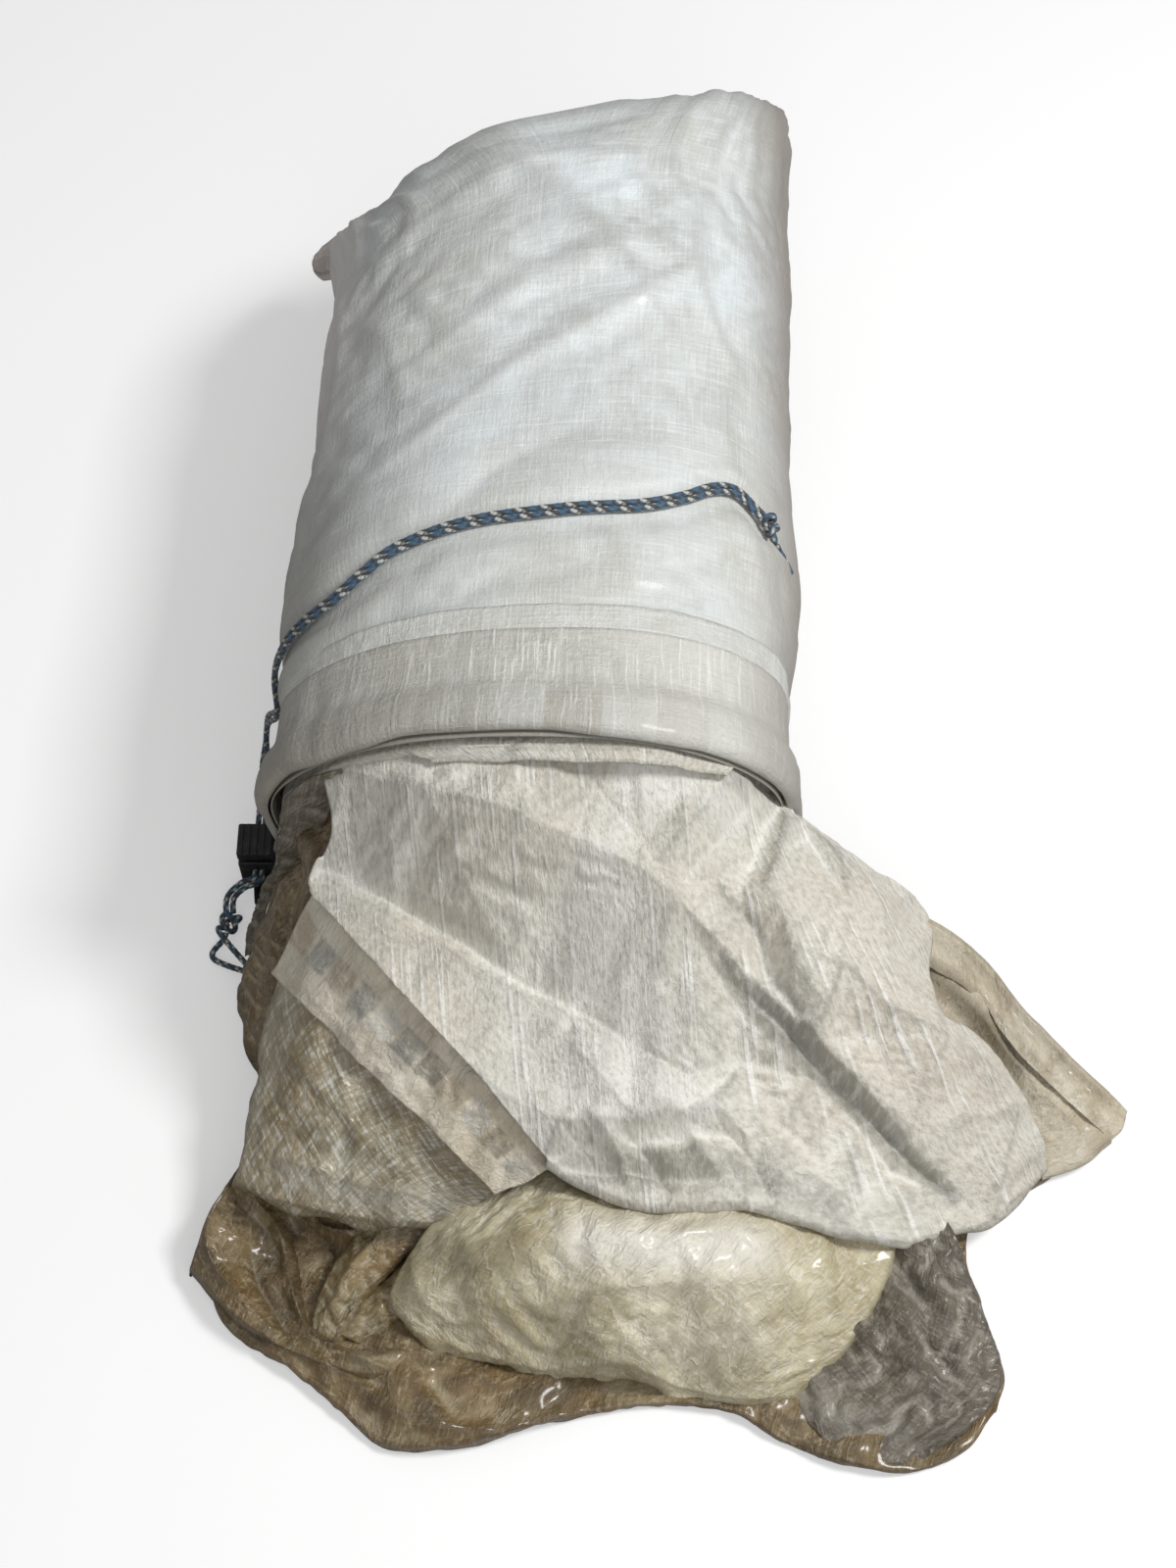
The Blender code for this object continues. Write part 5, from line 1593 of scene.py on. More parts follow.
@dataclass(frozen=True)
class HemCloth(Cloth):
    """The hem's doubled laminate: bands of lighter and browner patches between upright creases."""

    band: float = 17.0
    tan: Colour = (0.40, 0.365, 0.285)
    pale: Colour = (0.72, 0.73, 0.70)
    upright: Colour = (0.90, 0.90, 0.87)
    rim: Colour = (0.36, 0.35, 0.31)
    # Painted shade at the lower left
    corner: Colour = (0.24, 0.215, 0.17)
    # Painted shade on the rim's left part
    under: Colour = (0.22, 0.205, 0.17)
    # Painted shade towards the left
    left: Colour = (0.31, 0.29, 0.245)
    # Painted light right of the middle
    lit: Colour = (0.76, 0.76, 0.71)
    # Painted shade at the right edge
    right: Colour = (0.28, 0.25, 0.22)

    def dress(self, name: str) -> bpy.types.Material:
        """Make the material.

        Args:
            name: material name.

        Returns:
            The material.
        """
        material = super().dress(name)
        graph = Graph.of(material)
        colour = graph.shader.inputs["Base Color"].links[0].from_socket
        flat = graph.warped(graph.place(uv=True), 90.0, 0.0015)
        inwards, around, _ = graph.add("SeparateXYZ", {0: flat}).outputs
        cell = graph.apply("FLOOR", graph.product(around, 1000 / self.band))
        tone = graph.picked(cell)
        reach = graph.span(graph.picked(graph.sum(cell, 0.37)), 0.0, 1.0, 0.006, 0.030)
        within = graph.span(graph.sum(inwards, reach, "SUBTRACT"), -0.0006, 0.0006, 1.0, 0.0)
        worn = graph.span(graph.noise(flat, 300.0, 3.0, 0.65), 0.35, 0.62, 0.4, 1.0)
        tan = graph.product(graph.product(graph.span(tone, 0.62, 0.66, 0.0, 0.7), within), worn)
        colour = graph.mix(tan, colour, self.tan)
        colour = graph.mix(graph.product(graph.span(tone, 0.26, 0.22, 0.0, 0.4), within), colour, self.pale)
        upright = graph.add("Mapping", {"Vector": flat, "Scale": (1000 / 22.0, 1000 / 1.1, 1.0)}).outputs[0]
        lines = graph.span(graph.noise(upright, 1.0, 1.0), 0.61, 0.66)
        colour = graph.over(colour, lines, 0.60, self.upright)
        rim = graph.span(inwards, 0.013, 0.022, 1.0, 0.0)
        colour = graph.over(colour, rim, 0.38, self.rim)
        # By place on the sack: painted shade at the lower left, on the rim's left part, towards the left and
        # at the right edge, and painted light right of the middle
        x, _, z = graph.add("SeparateXYZ", {0: graph.add("TexCoord").outputs["Object"]}).outputs
        corner = graph.product(graph.span(z, 0.045, 0.115, 1.0, 0.0), graph.span(x, -0.085, -0.045, 1.0, 0.0))
        colour = graph.over(colour, corner, 0.72, self.corner)
        under = graph.product(rim, graph.span(x, -0.050, -0.005, 0.3, 0.0))
        colour = graph.mix(under, colour, self.under)
        colour = graph.mix(graph.span(x, -0.085, 0.005, 0.45, 0.0), colour, self.left)
        colour = graph.mix(graph.span(x, 0.005, 0.050, 0.0, 0.45), colour, self.lit)
        colour = graph.mix(graph.span(x, 0.064, 0.088, 0.0, 0.75), colour, self.right)
        graph.put(graph.shader.inputs["Base Color"], colour)
        return material


@dataclass(frozen=True)
class BandCloth(Cloth):
    """The taped seam: a row of darker and bluish squares along its middle, where the layers under it show."""

    middle: float = 14.0
    half: float = 5.0
    step: float = 10.5
    squares: tuple[Colour, ...] = ((0.085, 0.07, 0.048), (0.20, 0.215, 0.21), (0.36, 0.27, 0.15),
                                   (0.52, 0.53, 0.50))
    picks: tuple[float, ...] = (0.30, 0.62, 0.82)

    def dress(self, name: str) -> bpy.types.Material:
        """Make the material.

        Args:
            name: material name.

        Returns:
            The material.
        """
        material = super().dress(name)
        graph = Graph.of(material)
        colour = graph.shader.inputs["Base Color"].links[0].from_socket
        split = graph.add("SeparateXYZ", {0: graph.warped(graph.place(uv=True), 120.0, 0.0025)})
        places = graph.product(split.outputs[0], 1000.0 / self.step)
        pick = graph.picked(graph.apply("FLOOR", places))
        square = self.squares[0]
        for other, start in zip(self.squares[1:], self.picks):
            square = graph.mix(graph.span(pick, start, start + 0.04), square, other)
        away = graph.apply("ABSOLUTE", graph.sum(split.outputs[1], self.middle * MM, "SUBTRACT"))
        inside = graph.span(away, (self.half - 0.6) * MM, (self.half + 0.6) * MM, 1.0, 0.0)
        aside = graph.apply("ABSOLUTE", graph.sum(graph.apply("FRACT", places), 0.5, "SUBTRACT"))
        gap = graph.span(aside, 0.38, 0.46, 1.0, 0.25)
        thin = graph.span(graph.noise(graph.place(uv=True), 260.0, 4.0, 0.65), 0.35, 0.62, 0.35, 0.9)
        share = graph.product(graph.product(inside, gap), thin)
        colour = graph.over(colour, share, 0.7, square)
        graph.put(graph.shader.inputs["Base Color"], colour)
        return material


SACK_GLOW = SackCloth(**vars(SACK))
HEM_BANDS = HemCloth(**vars(HEM))
BAND = replace(BandCloth(**vars(CREAM)), light=(0.86, 0.79, 0.64), dark=(0.60, 0.53, 0.41))
EAR = replace(HEM, light=(0.70, 0.64, 0.61), dark=(0.50, 0.43, 0.40))


def finish(thing: bpy.types.Object, look: bpy.types.Material, slot: str, body: Body, *nodes: str) -> None:
    """Dress a piece, attach it to its body and hide the CAD nodes that it stands for.

    Args:
        thing: the piece.
        look: its material.
        slot: not used.
        body: the body that it rides on.
        nodes: CAD nodes that it replaces.
    """
    thing.data.materials.clear()
    thing.data.materials.append(look)
    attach(thing, body.value)
    if nodes:
        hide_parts(*nodes)
    LOG.info("%s: %d points", thing.name, len(thing.data.vertices))


# Drawcord and lock


@dataclass
class Drawcord:
    """The drawcord's two strands over the sack, their leads, knots and tail."""

    sack: StuffSack
    diameter: float = 0.0021
    gap: float = 0.0003
    lock_x: float = -0.097
    lock_y: float = -0.115
    lock_width: float = 0.013
    lock_slide: float = 0.016
    cord_height: float = 0.0082
    knot_tall: float = 0.0030
    knot_long: float = 0.0045
    gather: tuple[float, float, float] = (-0.106, -0.139, 0.0032)
    pitch: float = 0.0040
    knot_scale: float = 0.00118
    cord_depth: float = 7.0 / 13.0
    lead_angles: tuple[float, float] = (216.0, 225.0)
    hidden_start: float = 225.5
    braid_step: float = 0.00034
    look: bpy.types.Material | None = None

    # The pair over the sack: distance in (mm), angle (degrees), height off the wall (mm)
    over: ClassVar[tuple] = (
        (66, 185, 2.0), (65.5, 172, 0.8), (64, 157, 0.2), (63.5, 145, 0.2), (65, 134, 0.1), (70, 126, 0.1),
        (76, 117, 0), (80, 102, 0), (82, 86, 0), (84, 71, 0), (89, 61, 0), (95, 53, 0), (97, 46, 0),
        (94, 39, 0))
    knot_spot: ClassVar[tuple] = (0.090, 34.0)
    tail_run: ClassVar[tuple] = ((87, 28.5), (85, 24), (84, 18))

    def route(self) -> Array:
        """Middle line of the two strands from the gather knot, through the lock, to the end knot.

        Returns:
            Points of the line.
        """
        apart = self.diameter + self.gap
        lift = apart / 2 + self.gap
        start = self.lock_y - self.lock_width / 2 - 0.003
        stop = self.lock_y + self.lock_width / 2 + self.lock_slide + 0.006
        gather = np.array(self.gather)
        points = [gather, gather + (-0.0005, 0.008, 0.002),
                  (self.lock_x - 0.0052, start - 0.0020, self.cord_height - 0.0012)]
        points += [(self.lock_x, start + (stop - start) * i / 6, self.cord_height) for i in range(7)]
        points += [(self.lock_x + 0.0010, stop + 0.0065, self.cord_height + 0.0085),
                   (self.lock_x + 0.0040, stop + 0.0085, self.cord_height + 0.0300)]
        table = np.array(self.over, float)
        points += list(self.sack.skin(table[:, 0] * MM, np.radians(table[:, 1]), lift + table[:, 2] * MM))
        points.append(self.end_place())
        return spline(points, 460)

    def end_place(self) -> Array:
        """Centre of the end knot."""
        return self.sack.skin(self.knot_spot[0], np.radians(self.knot_spot[1]), self.knot_tall + self.gap)

    def sides(self, route: Array) -> tuple[Array, Array]:
        """The route's two strands: level over the floor, side by side along the wall on the sack.

        Args:
            route: points of the pair's middle line.

        Returns:
            The right strand and the left strand.
        """
        run = np.gradient(route, axis=0)
        run /= np.linalg.norm(run, axis=1, keepdims=True)
        centre, half, low, high, power = self.sack.section((route[:, 1] - MOUTH_Y) / self.sack.length)
        across = signed_power((route[:, 0] - centre) / half, power / 2)
        up = signed_power((2 * route[:, 2] - high - low) / (high - low), power / 2)
        wall = self.sack.outward(np.full(len(route), 0.1), np.arctan2(up, across))
        climb = np.where(route[:, 0] < 0, past(route[:, 2], 0.010, 0.035), 1.0)[:, None]
        outward = np.array((0.0, 0.0, 1.0)) * (1 - climb) + wall * climb
        side = np.cross(run, outward)
        side *= (self.diameter + self.gap) / 2 / np.linalg.norm(side, axis=1, keepdims=True)
        return route + side, route - side

    def braid(self, name: str, path: Array, body: Body = Body.SACK, *nodes: str) -> bpy.types.Object:
        """Braided tube along a path.

        Two families of strands wind opposite ways; a point's height and colour come from the strand that is
        on top in its cell: white and blue flecks in pairs on black.

        Args:
            name: piece name.
            path: even points of the centreline.
            body: body that it rides on.
            nodes: CAD nodes that it replaces.

        Returns:
            The piece.
        """
        length = run_of(path)
        line = spline(path, max(int(length / self.braid_step), 8))
        side, up = frames_along(line)
        turn = np.linspace(0, TAU, 16, endpoint=False)[None]
        s = np.linspace(0, length, len(line))[:, None]
        first = turn / TAU * 4 + s / self.pitch * 2
        second = turn / TAU * 4 - s / self.pitch * 2
        over = (np.floor(first) + np.floor(second)) % 2 == 0
        across = np.where(over, first, second) % 1.0
        lengthwise = np.where(over, second, first) % 1.0
        bulge = np.sin(np.pi * across) ** 0.7 * np.sin(np.pi * np.clip(lengthwise, 0.02, 0.98)) ** 0.4
        radius = self.diameter / 2 * (0.90 + 0.13 * bulge)
        points = (line[:, None] + radius[..., None] * (np.cos(turn)[..., None] * side[:, None]
                                                       + np.sin(turn)[..., None] * up[:, None]))
        pick = np.floor(np.where(over, first, second)).astype(int) % 4
        light = (pick == 0) & (over | (lengthwise > 0.35))
        blue = (pick == 2) | ((~over) & (pick == 1))
        tint = np.full(points.shape, 0.012)
        tint[light] = (0.66, 0.66, 0.60)
        tint[blue] = (0.022, 0.115, 0.22)
        # Darker where each strand dips under the next: painted shade in the braid's grooves
        tint *= (0.35 + 0.65 * bulge)[..., None]
        points = capped(points, line)
        tint = np.concatenate([tint[:1], tint, tint[-1:]], 0)
        thing = grid_mesh(name, points, True, tint=tint)
        finish(thing, self.look, "drawcord", body, *nodes)
        return thing

    def overhand(self, centre: Array, along: Array, up: Array, scale: float) -> Array:
        """Path of an overhand knot: an open trefoil, its ends leaving along the cord.

        Args:
            centre: middle of the knot.
            along: direction of the cord.
            up: direction square to it.
            scale: size of the knot.

        Returns:
            Points of the path.
        """
        t = np.linspace(0.16, TAU - 0.16, 90)
        x = np.sin(t) + 2 * np.sin(2 * t)
        y = np.cos(t) - 2 * np.cos(2 * t)
        z = -1.15 * np.sin(3 * t)
        across = np.cross(up, along)
        return centre + scale * (y[:, None] * along + x[:, None] * across + z[:, None] * up)

    def build(self) -> None:
        self.look = Braid().dress("braided_cord")
        gather = np.array(self.gather)
        route = self.route()
        right, left = self.sides(route)
        trim = int((self.knot_long - 0.0008) / run_of(route) * len(route))
        end = self.end_place()
        end_up = self.sack.outward(np.array(self.knot_spot[0]), np.radians(np.array(self.knot_spot[1])))
        tail = np.array([end] + [self.sack.skin(s * MM, math.radians(a), self.diameter / 2 + self.gap)
                                 for s, a in self.tail_run])
        along = (tail[1] - end) / np.linalg.norm(tail[1] - end)
        inwards, upright = np.array((0.0, 1.0, 0.0)), np.array((0.0, 0.0, 1.0))
        for name, centre, run, up, node in (("gather_knot_cord", gather, inwards, upright, "gather_knot"),
                                            ("end_knot_cord", end, along, end_up, "end_knot")):
            up = up - run * (up @ run)
            up /= np.linalg.norm(up)
            path = self.overhand(centre, run, up, self.knot_scale)
            self.braid(name, path, Body.SACK, node)
        tail_line = spline(tail, 60)
        tail_piece = self.braid("tail_cord", tail_line[8:], Body.SACK, "drawcord_tail")
        for name, path, node in (("strand_right_cord", right, "drawcord_strand_right"),
                                 ("strand_left_cord", left, "drawcord_strand_left")):
            path = path[trim:-trim]
            thing = self.braid(name, path, Body.SACK, node)
            round(run_of(path), 3)
        self.build_leads(gather)
        self.build_hidden()

    def channel(self, degrees: Array | float, rise: float = 0.0) -> Array:
        """Middle of the hem's channel.

        Args:
            degrees: angles round the sack.
            rise: how far off the channel's middle.

        Returns:
            The places.
        """
        sack, angle = self.sack, np.radians(degrees)
        walls = [sack.skin(0.0, angle, offset) * (1 - self.cord_depth)
                 + sack.skin(sack.channel_end, angle, offset) * self.cord_depth
                 for offset in (rise, sack.channel + rise)]
        return (walls[0] + walls[1]) / 2

    def build_hidden(self) -> None:
        """The cord inside the channel, which follows the hem as it is tucked in beside the lock."""
        degrees = np.linspace(self.hidden_start, self.lead_angles[0] + 360.0, 240)
        path = self.sack.tucked(self.channel(degrees))
        points = tube(path, self.diameter / 2)
        thing = grid_mesh("cord_in_hem", points, True, tint=np.full(points.shape, 0.03))
        finish(thing, self.look, "drawcord", Body.SACK, "drawcord_in_hem")

    def build_leads(self, gather: Array) -> None:
        """The two leads from the channel's ends to the gather knot.

        Args:
            gather: centre of the gather knot.
        """
        sack = self.sack
        high, low = self.lead_angles
        leads = (("lead_upper_cord", high, 1, (-0.0012, -0.003, 0.0022), "drawcord_lead_upper"),
                 ("lead_lower_cord", low, -1, (-0.0022, -0.0062, -0.0012), "drawcord_lead_lower"))
        for name, angle, way, spread, node in leads:
            spread = np.array(spread)
            clear = sack.skin(0.007, math.radians(angle + way * 2.7), sack.channel + sack.sleeve + 0.002)
            near = gather + spread * 2.2
            near[2] = max(near[2], self.diameter / 2 + self.gap)
            last = [gather + spread] if "upper" in name else [gather + spread, gather + spread * 0.52]
            first = [self.channel(angle + way * 0.45), self.channel(angle + way * 1.8, 0.0006)]
            path = spline([*first, clear, near, *last], 60)[:-1]
            thing = self.braid(name, path, Body.SACK, node)
            length = max(round(run_of(path), 3), 0.03)


@dataclass(frozen=True)
class CordLock:
    """The cord lock: moulded pieces of the CAD model, and a spring wound between its seats."""

    turns: int = 2
    wire: float = 0.0004
    pressed: float = 0.40

    def build(self, nodes: dict[str, bpy.types.Object]) -> None:
        """Dress the moulded pieces and wind the spring between its seats.

        Args:
            nodes: the frame's CAD nodes by name.
        """
        plastic = LOCK_PLASTIC.dress("lock_plastic")
        for name in ("lock_body", "lock_button"):
            nodes[name].data.materials.clear()
            nodes[name].data.materials.append(plastic)
        low, high = (np.array(corner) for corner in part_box("lock_spring"))
        middle, radius = (low + high) / 2, (high[0] - low[0] - self.wire) / 2
        share = np.linspace(0, 1, 48 * self.turns)
        turn = TAU * self.turns * share
        path = np.stack([middle[0] + radius * np.cos(turn), middle[1] + radius * np.sin(turn),
                         low[2] + self.wire / 2 + (high[2] - low[2] - self.wire) * share], 1)
        spring = grid_mesh("return_spring", tube(path, self.wire / 2), True)
        finish(spring, SPRING_STEEL.dress("spring_steel"), "spring_steel", Body.LOCK, "lock_spring")
        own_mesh(spring)


# Spilled cloth


@dataclass(frozen=True)
class Fold:
    """A fold: its line in plan, height, the widths of its two sides and its lean."""

    line: Curve
    tall: float
    left: float
    right: float
    lean: float = 0.0
    sharp: float = 1.4
    fade: float = 0.6

    def shape(self, x: Array, out: Array) -> tuple[Array, Array, Array]:
        """Rise of the fold and its sideways push, in mm.

        The profile falls off as exp(-(d/width)^sharp) on each side; the lean pushes the crest to the left.

        Args:
            x: first plan coordinate of each point.
            out: distance out of the mouth of each point.

        Returns:
            The rise, and the push along x and out.
        """
        run = spline(self.line, max(6, 4 * len(self.line)))
        away, share = line_distance(x, out, run)
        width = np.where(away > 0, self.left, self.right)
        crest = np.exp(-np.abs(away / width) ** self.sharp)
        crest = crest * np.sin(np.pi * np.clip(share, 0.015, 0.985)) ** self.fade
        chord = run[-1] - run[0]
        chord = chord / np.linalg.norm(chord)
        return self.tall * crest, -chord[1] * self.lean * crest, chord[0] * self.lean * crest


@dataclass(frozen=True)
class Edge:
    """A border that turns down: how far it swells outwards, how low it goes and how far it curls under."""

    reach: float
    floor: float | None = None
    drop: float = 0.0
    curl: float = 0.0
    rows: int = 9

    def turn(self, grid: Array, seed: int) -> Array:
        """Add rows past the last one.

        The profile swells outwards as a half sine, falls at a growing rate and curls back under at its end.

        Args:
            grid: points in millimetres, the border as the last row.
            seed: start of the random order.

        Returns:
            The grid with its new rows.
        """
        edge, before = grid[-1], grid[-4]
        run = np.gradient(edge, axis=0)[:, :2]
        way = np.stack([run[:, 1], -run[:, 0]], 1)
        way *= np.sign((way * (edge - before)[:, :2]).sum(1))[:, None]
        way /= np.maximum(np.linalg.norm(way, axis=1, keepdims=True), 1e-9)
        kernel = np.ones(9) / 9
        way = np.stack([np.convolve(np.pad(way[:, k], 4, mode="edge"), kernel, "valid") for k in (0, 1)], 1)
        share = np.linspace(0, 1, self.rows + 1)[1:, None]
        along = np.append(0, np.cumsum(np.linalg.norm(np.diff(edge, axis=0), axis=1)))[None]
        wave = swell(along, 20 * share, 11.0, seed + 60) * np.sin(np.pi * share) ** 0.5
        bulge = self.reach * (np.sin(share * np.pi * 0.62) + 0.5 * wave) - self.curl * ease(share * 1.6 - 0.6)
        floor = self.floor if self.floor is not None else edge[None, :, 2] - self.drop
        fall = edge[None, :, 2] + (floor - edge[None, :, 2]) * share ** 1.2
        extra = np.concatenate([edge[None, :, :2] + way[None] * bulge[..., None], fall[..., None]], 2)
        return np.concatenate([grid, extra], 0)


@dataclass
class Sheet:
    """One visible sheet of the spilled tent, in millimetres.

    Its plan is a patch between the borders near, far, left and right. Its height is the smoothest one through
    the spots, or the borders' own third value. Folds, net, crush and levels shape its creases, and edges says
    which borders turn down. The inlet is its tongue into the mouth, the grain sets its threads' fan, and the
    shades are its lines of painted light and painted shade.
    """

    name: str
    nodes: tuple[str, ...]
    slot: str
    look: Cloth
    near: Curve
    far: Curve
    left: Curve
    right: Curve
    spots: Sequence[tuple[float, float, float]]
    folds: Sequence[Fold] = ()
    across: int = 150
    down: int = 150
    crush: float = 1.6
    crush_size: float = 20.0
    seed: int = 1
    lift: float = 0.8
    top: float = 131.0
    low: float = 1.0
    edges: dict[str, Edge] = field(default_factory=dict)
    inlet: float = 0.0
    levels: tuple[Buckle, ...] = CRUSHED
    body: Body = Body.TENT
    held: str = "draped"
    rests_on: tuple[str, ...] = ("ground_layer",)
    stretch: tuple[float, float] = (1.0, 1.0)
    crisp: float = 0.55
    net: Sequence[Curve] = ()
    net_share: float = 0.8
    grain: tuple[float, float, float, float] | None = None
    shades: Sequence[tuple[Curve, float, float]] = ()
    within_mouth: bool = False

    def creases(self, grid: Array, amount: float, levels: Sequence[tuple[float, float]]) -> Array:
        """A share of the listed folds, and flat facets at several sizes, as a shift of each point.

        Args:
            grid: points in millimetres.
            amount: share of the folds.
            levels: share and size of each family of facets.

        Returns:
            The shifts.
        """
        x, out, z = grid[..., 0], -grid[..., 1], grid[..., 2]
        shift = np.zeros_like(grid)
        for fold in self.folds:
            rise, dx, dout = fold.shape(x, out)
            shift += amount * np.stack([dx, -dout, rise], 2)
        hung = len(self.near[0]) == 3
        u, v = x * self.stretch[0], (out - z if hung else out) * self.stretch[1]
        rough = np.zeros(x.shape)
        for share, size in levels:
            rough += share * self.crush * facets(u, v, size * self.crush_size, self.seed + int(10 * size))
        way = normals_of(grid) if hung else np.array((0.0, 0.0, 1.0))
        return shift + rough[..., None] * way

    def drape(self) -> Array:
        """The smooth drape with the soft share of its folds and its turned-down edges, in millimetres.

        Returns:
            The grid, with its turned edges' rows.
        """
        plan = patch(self.near, self.far, self.left, self.right, self.across, self.down)
        x, out = plan[..., 0], plan[..., 1]
        z = plan[..., 2] if plan.shape[2] == 3 else thin_plate(self.spots)(x, out) + self.lift
        if self.net:
            flat = crease_net(self.net)(x, out) + self.lift
            z = np.where(np.isnan(flat), z, self.net_share * flat + (1 - self.net_share) * z)
        points = np.stack([x, -out, z], 2)
        points = points + self.creases(points, 1 - self.crisp, ((1.0, 1.0), (0.35, 0.42)))
        points[..., 2] = np.clip(points[..., 2], self.low, self.top)
        for side, edge in self.edges.items():
            turned = {"far": points, "near": points[::-1], "right": np.swapaxes(points, 0, 1),
                      "left": np.swapaxes(points, 0, 1)[::-1]}[side]
            turned = edge.turn(turned, self.seed)
            points = {"far": turned, "near": turned[::-1], "right": np.swapaxes(turned, 0, 1),
                      "left": np.swapaxes(turned[::-1], 0, 1)}[side]
        return points

    def thread_chart(self, points: Array) -> Array | None:
        """Map whose threads are straight lines that fan out from the mouth, in metres.

        The thread at u on the rim runs along x = u + slope(u) out. The slope rises by its gain past the fan's
        start, and u is found for each point by halving its range.

        Args:
            points: grid in metres.

        Returns:
            Array of shape (rows, columns, 2), or nothing for a sheet without a grain.
        """
        if self.grain is None:
            return None
        first, gain, start, width = self.grain
        x, out = points[..., 0] / MM, (MOUTH_Y - points[..., 1]) / MM
        low, high = np.full(x.shape, -300.0), np.full(x.shape, 300.0)
        for _ in range(24):
            u = (low + high) / 2
            slope = first + gain * past(u, start, width)
            beyond = u + slope * np.maximum(out, 0) > x
            low, high = np.where(beyond, low, u), np.where(beyond, u, high)
        return np.stack([u, out * np.hypot(1.2, slope)], 2) * MM

    def shaded(self, points: Array) -> Array | None:
        """Shade at each point: each listed line's share falls off as exp(-(distance/width)^2).

        Args:
            points: grid in metres.

        Returns:
            The shades, or nothing for a sheet without lines.
        """
        if not self.shades:
            return None
        x, out = points[..., 0] / MM, (MOUTH_Y - points[..., 1]) / MM
        shade = np.zeros(x.shape)
        for line, width, share in self.shades:
            away, _ = line_distance(x, out, spline(line, 4 * len(line)))
            shade += share * np.exp(-(away / width) ** 2)
        return shade

    @staticmethod
    def kept_within(points: Array) -> Array:
        """Move the cloth right of the mouth's left wall, up to the rim.

        The wall leans left by a millimetre for each one out of the mouth, and turns in towards the floor. The
        rim stands further out the lower it is. Past the rim the shift fades out as a smooth step.

        Args:
            points: grid in millimetres.

        Returns:
            The shifted grid.
        """
        x, out, z = points[..., 0], -points[..., 1], points[..., 2]
        wall = -71.5 - np.maximum(out, 0) + 1.4 * np.maximum(20 - z, 0) - 0.25 * np.clip(z - 62, 0, 24)
        rim = 3.0 + 0.55 * np.clip(58 - z, 0, 36)
        shift = short_of(out, rim + 3.0, 5.0) * np.maximum(wall - x, 0)
        return points + np.stack([shift, 0 * shift, 0 * shift], -1)

    def surface(self) -> Array:
        """Points of the sheet in metres: the buckled drape, with the tongue that runs into the mouth.

        Returns:
            The grid in metres.
        """
        full = self.drape()
        pinned = np.zeros(full.shape[:2])
        if self.inlet:
            pinned[:INLET_ROWS] = np.linspace(1, 0, INLET_ROWS)[:, None] ** 2
        points = buckled(full, self.levels, self.seed, self.low, pinned)
        points = points + self.creases(full, self.crisp, ((0.30, 0.80), (0.22, 0.42), (0.11, 0.19)))
        points[..., 2] = np.clip(points[..., 2], self.low, self.top)
        if self.within_mouth:
            points = self.kept_within(points)
        points = points * MM + np.array((0.0, MOUTH_Y, 0.0))
        if self.inlet:
            share = np.linspace(1, 0, INLET_ROWS, endpoint=False)[:, None]
            edge = points[0]
            extra = np.stack([edge[:, 0] * (1 - 0.04 * share), edge[None, :, 1] + self.inlet * MM * share,
                              edge[None, :, 2] - 3.0 * MM * share ** 2], 2)
            points = np.concatenate([extra, points], 0)
        return points

    def build(self) -> bpy.types.Object:
        """Returns:
            The piece.
        """
        points = self.surface()
        crest = 2.0 * crest_of(points, 2) + 1.5 * crest_of(points, 5)
        chart = self.thread_chart(points)
        shade = self.shaded(points)
        thing = grid_mesh(self.name, points[:, ::-1], False, crest[:, ::-1],
                          chart=None if chart is None else chart[:, ::-1],
                          shade=None if shade is None else shade[:, ::-1])
        thicken(thing, CLOTH_THICK)
        finish(thing, self.look.dress(self.name + "_cloth"), self.slot, self.body, *self.nodes)
        steps_across = np.linalg.norm(np.diff(points, axis=1), axis=2).sum(1)
        steps_down = np.linalg.norm(np.diff(points, axis=0), axis=2).sum(0)
        one, two = np.diff(points, axis=1)[:-1], np.diff(points, axis=0)[:, :-1]
        area = float(np.linalg.norm(np.cross(one, two), axis=2).sum())
        width, length = round(float(steps_across.mean()), 3), round(float(steps_down.mean()), 3)
        area = min(max(area, 0.31 * width * length), width * length)
        return thing


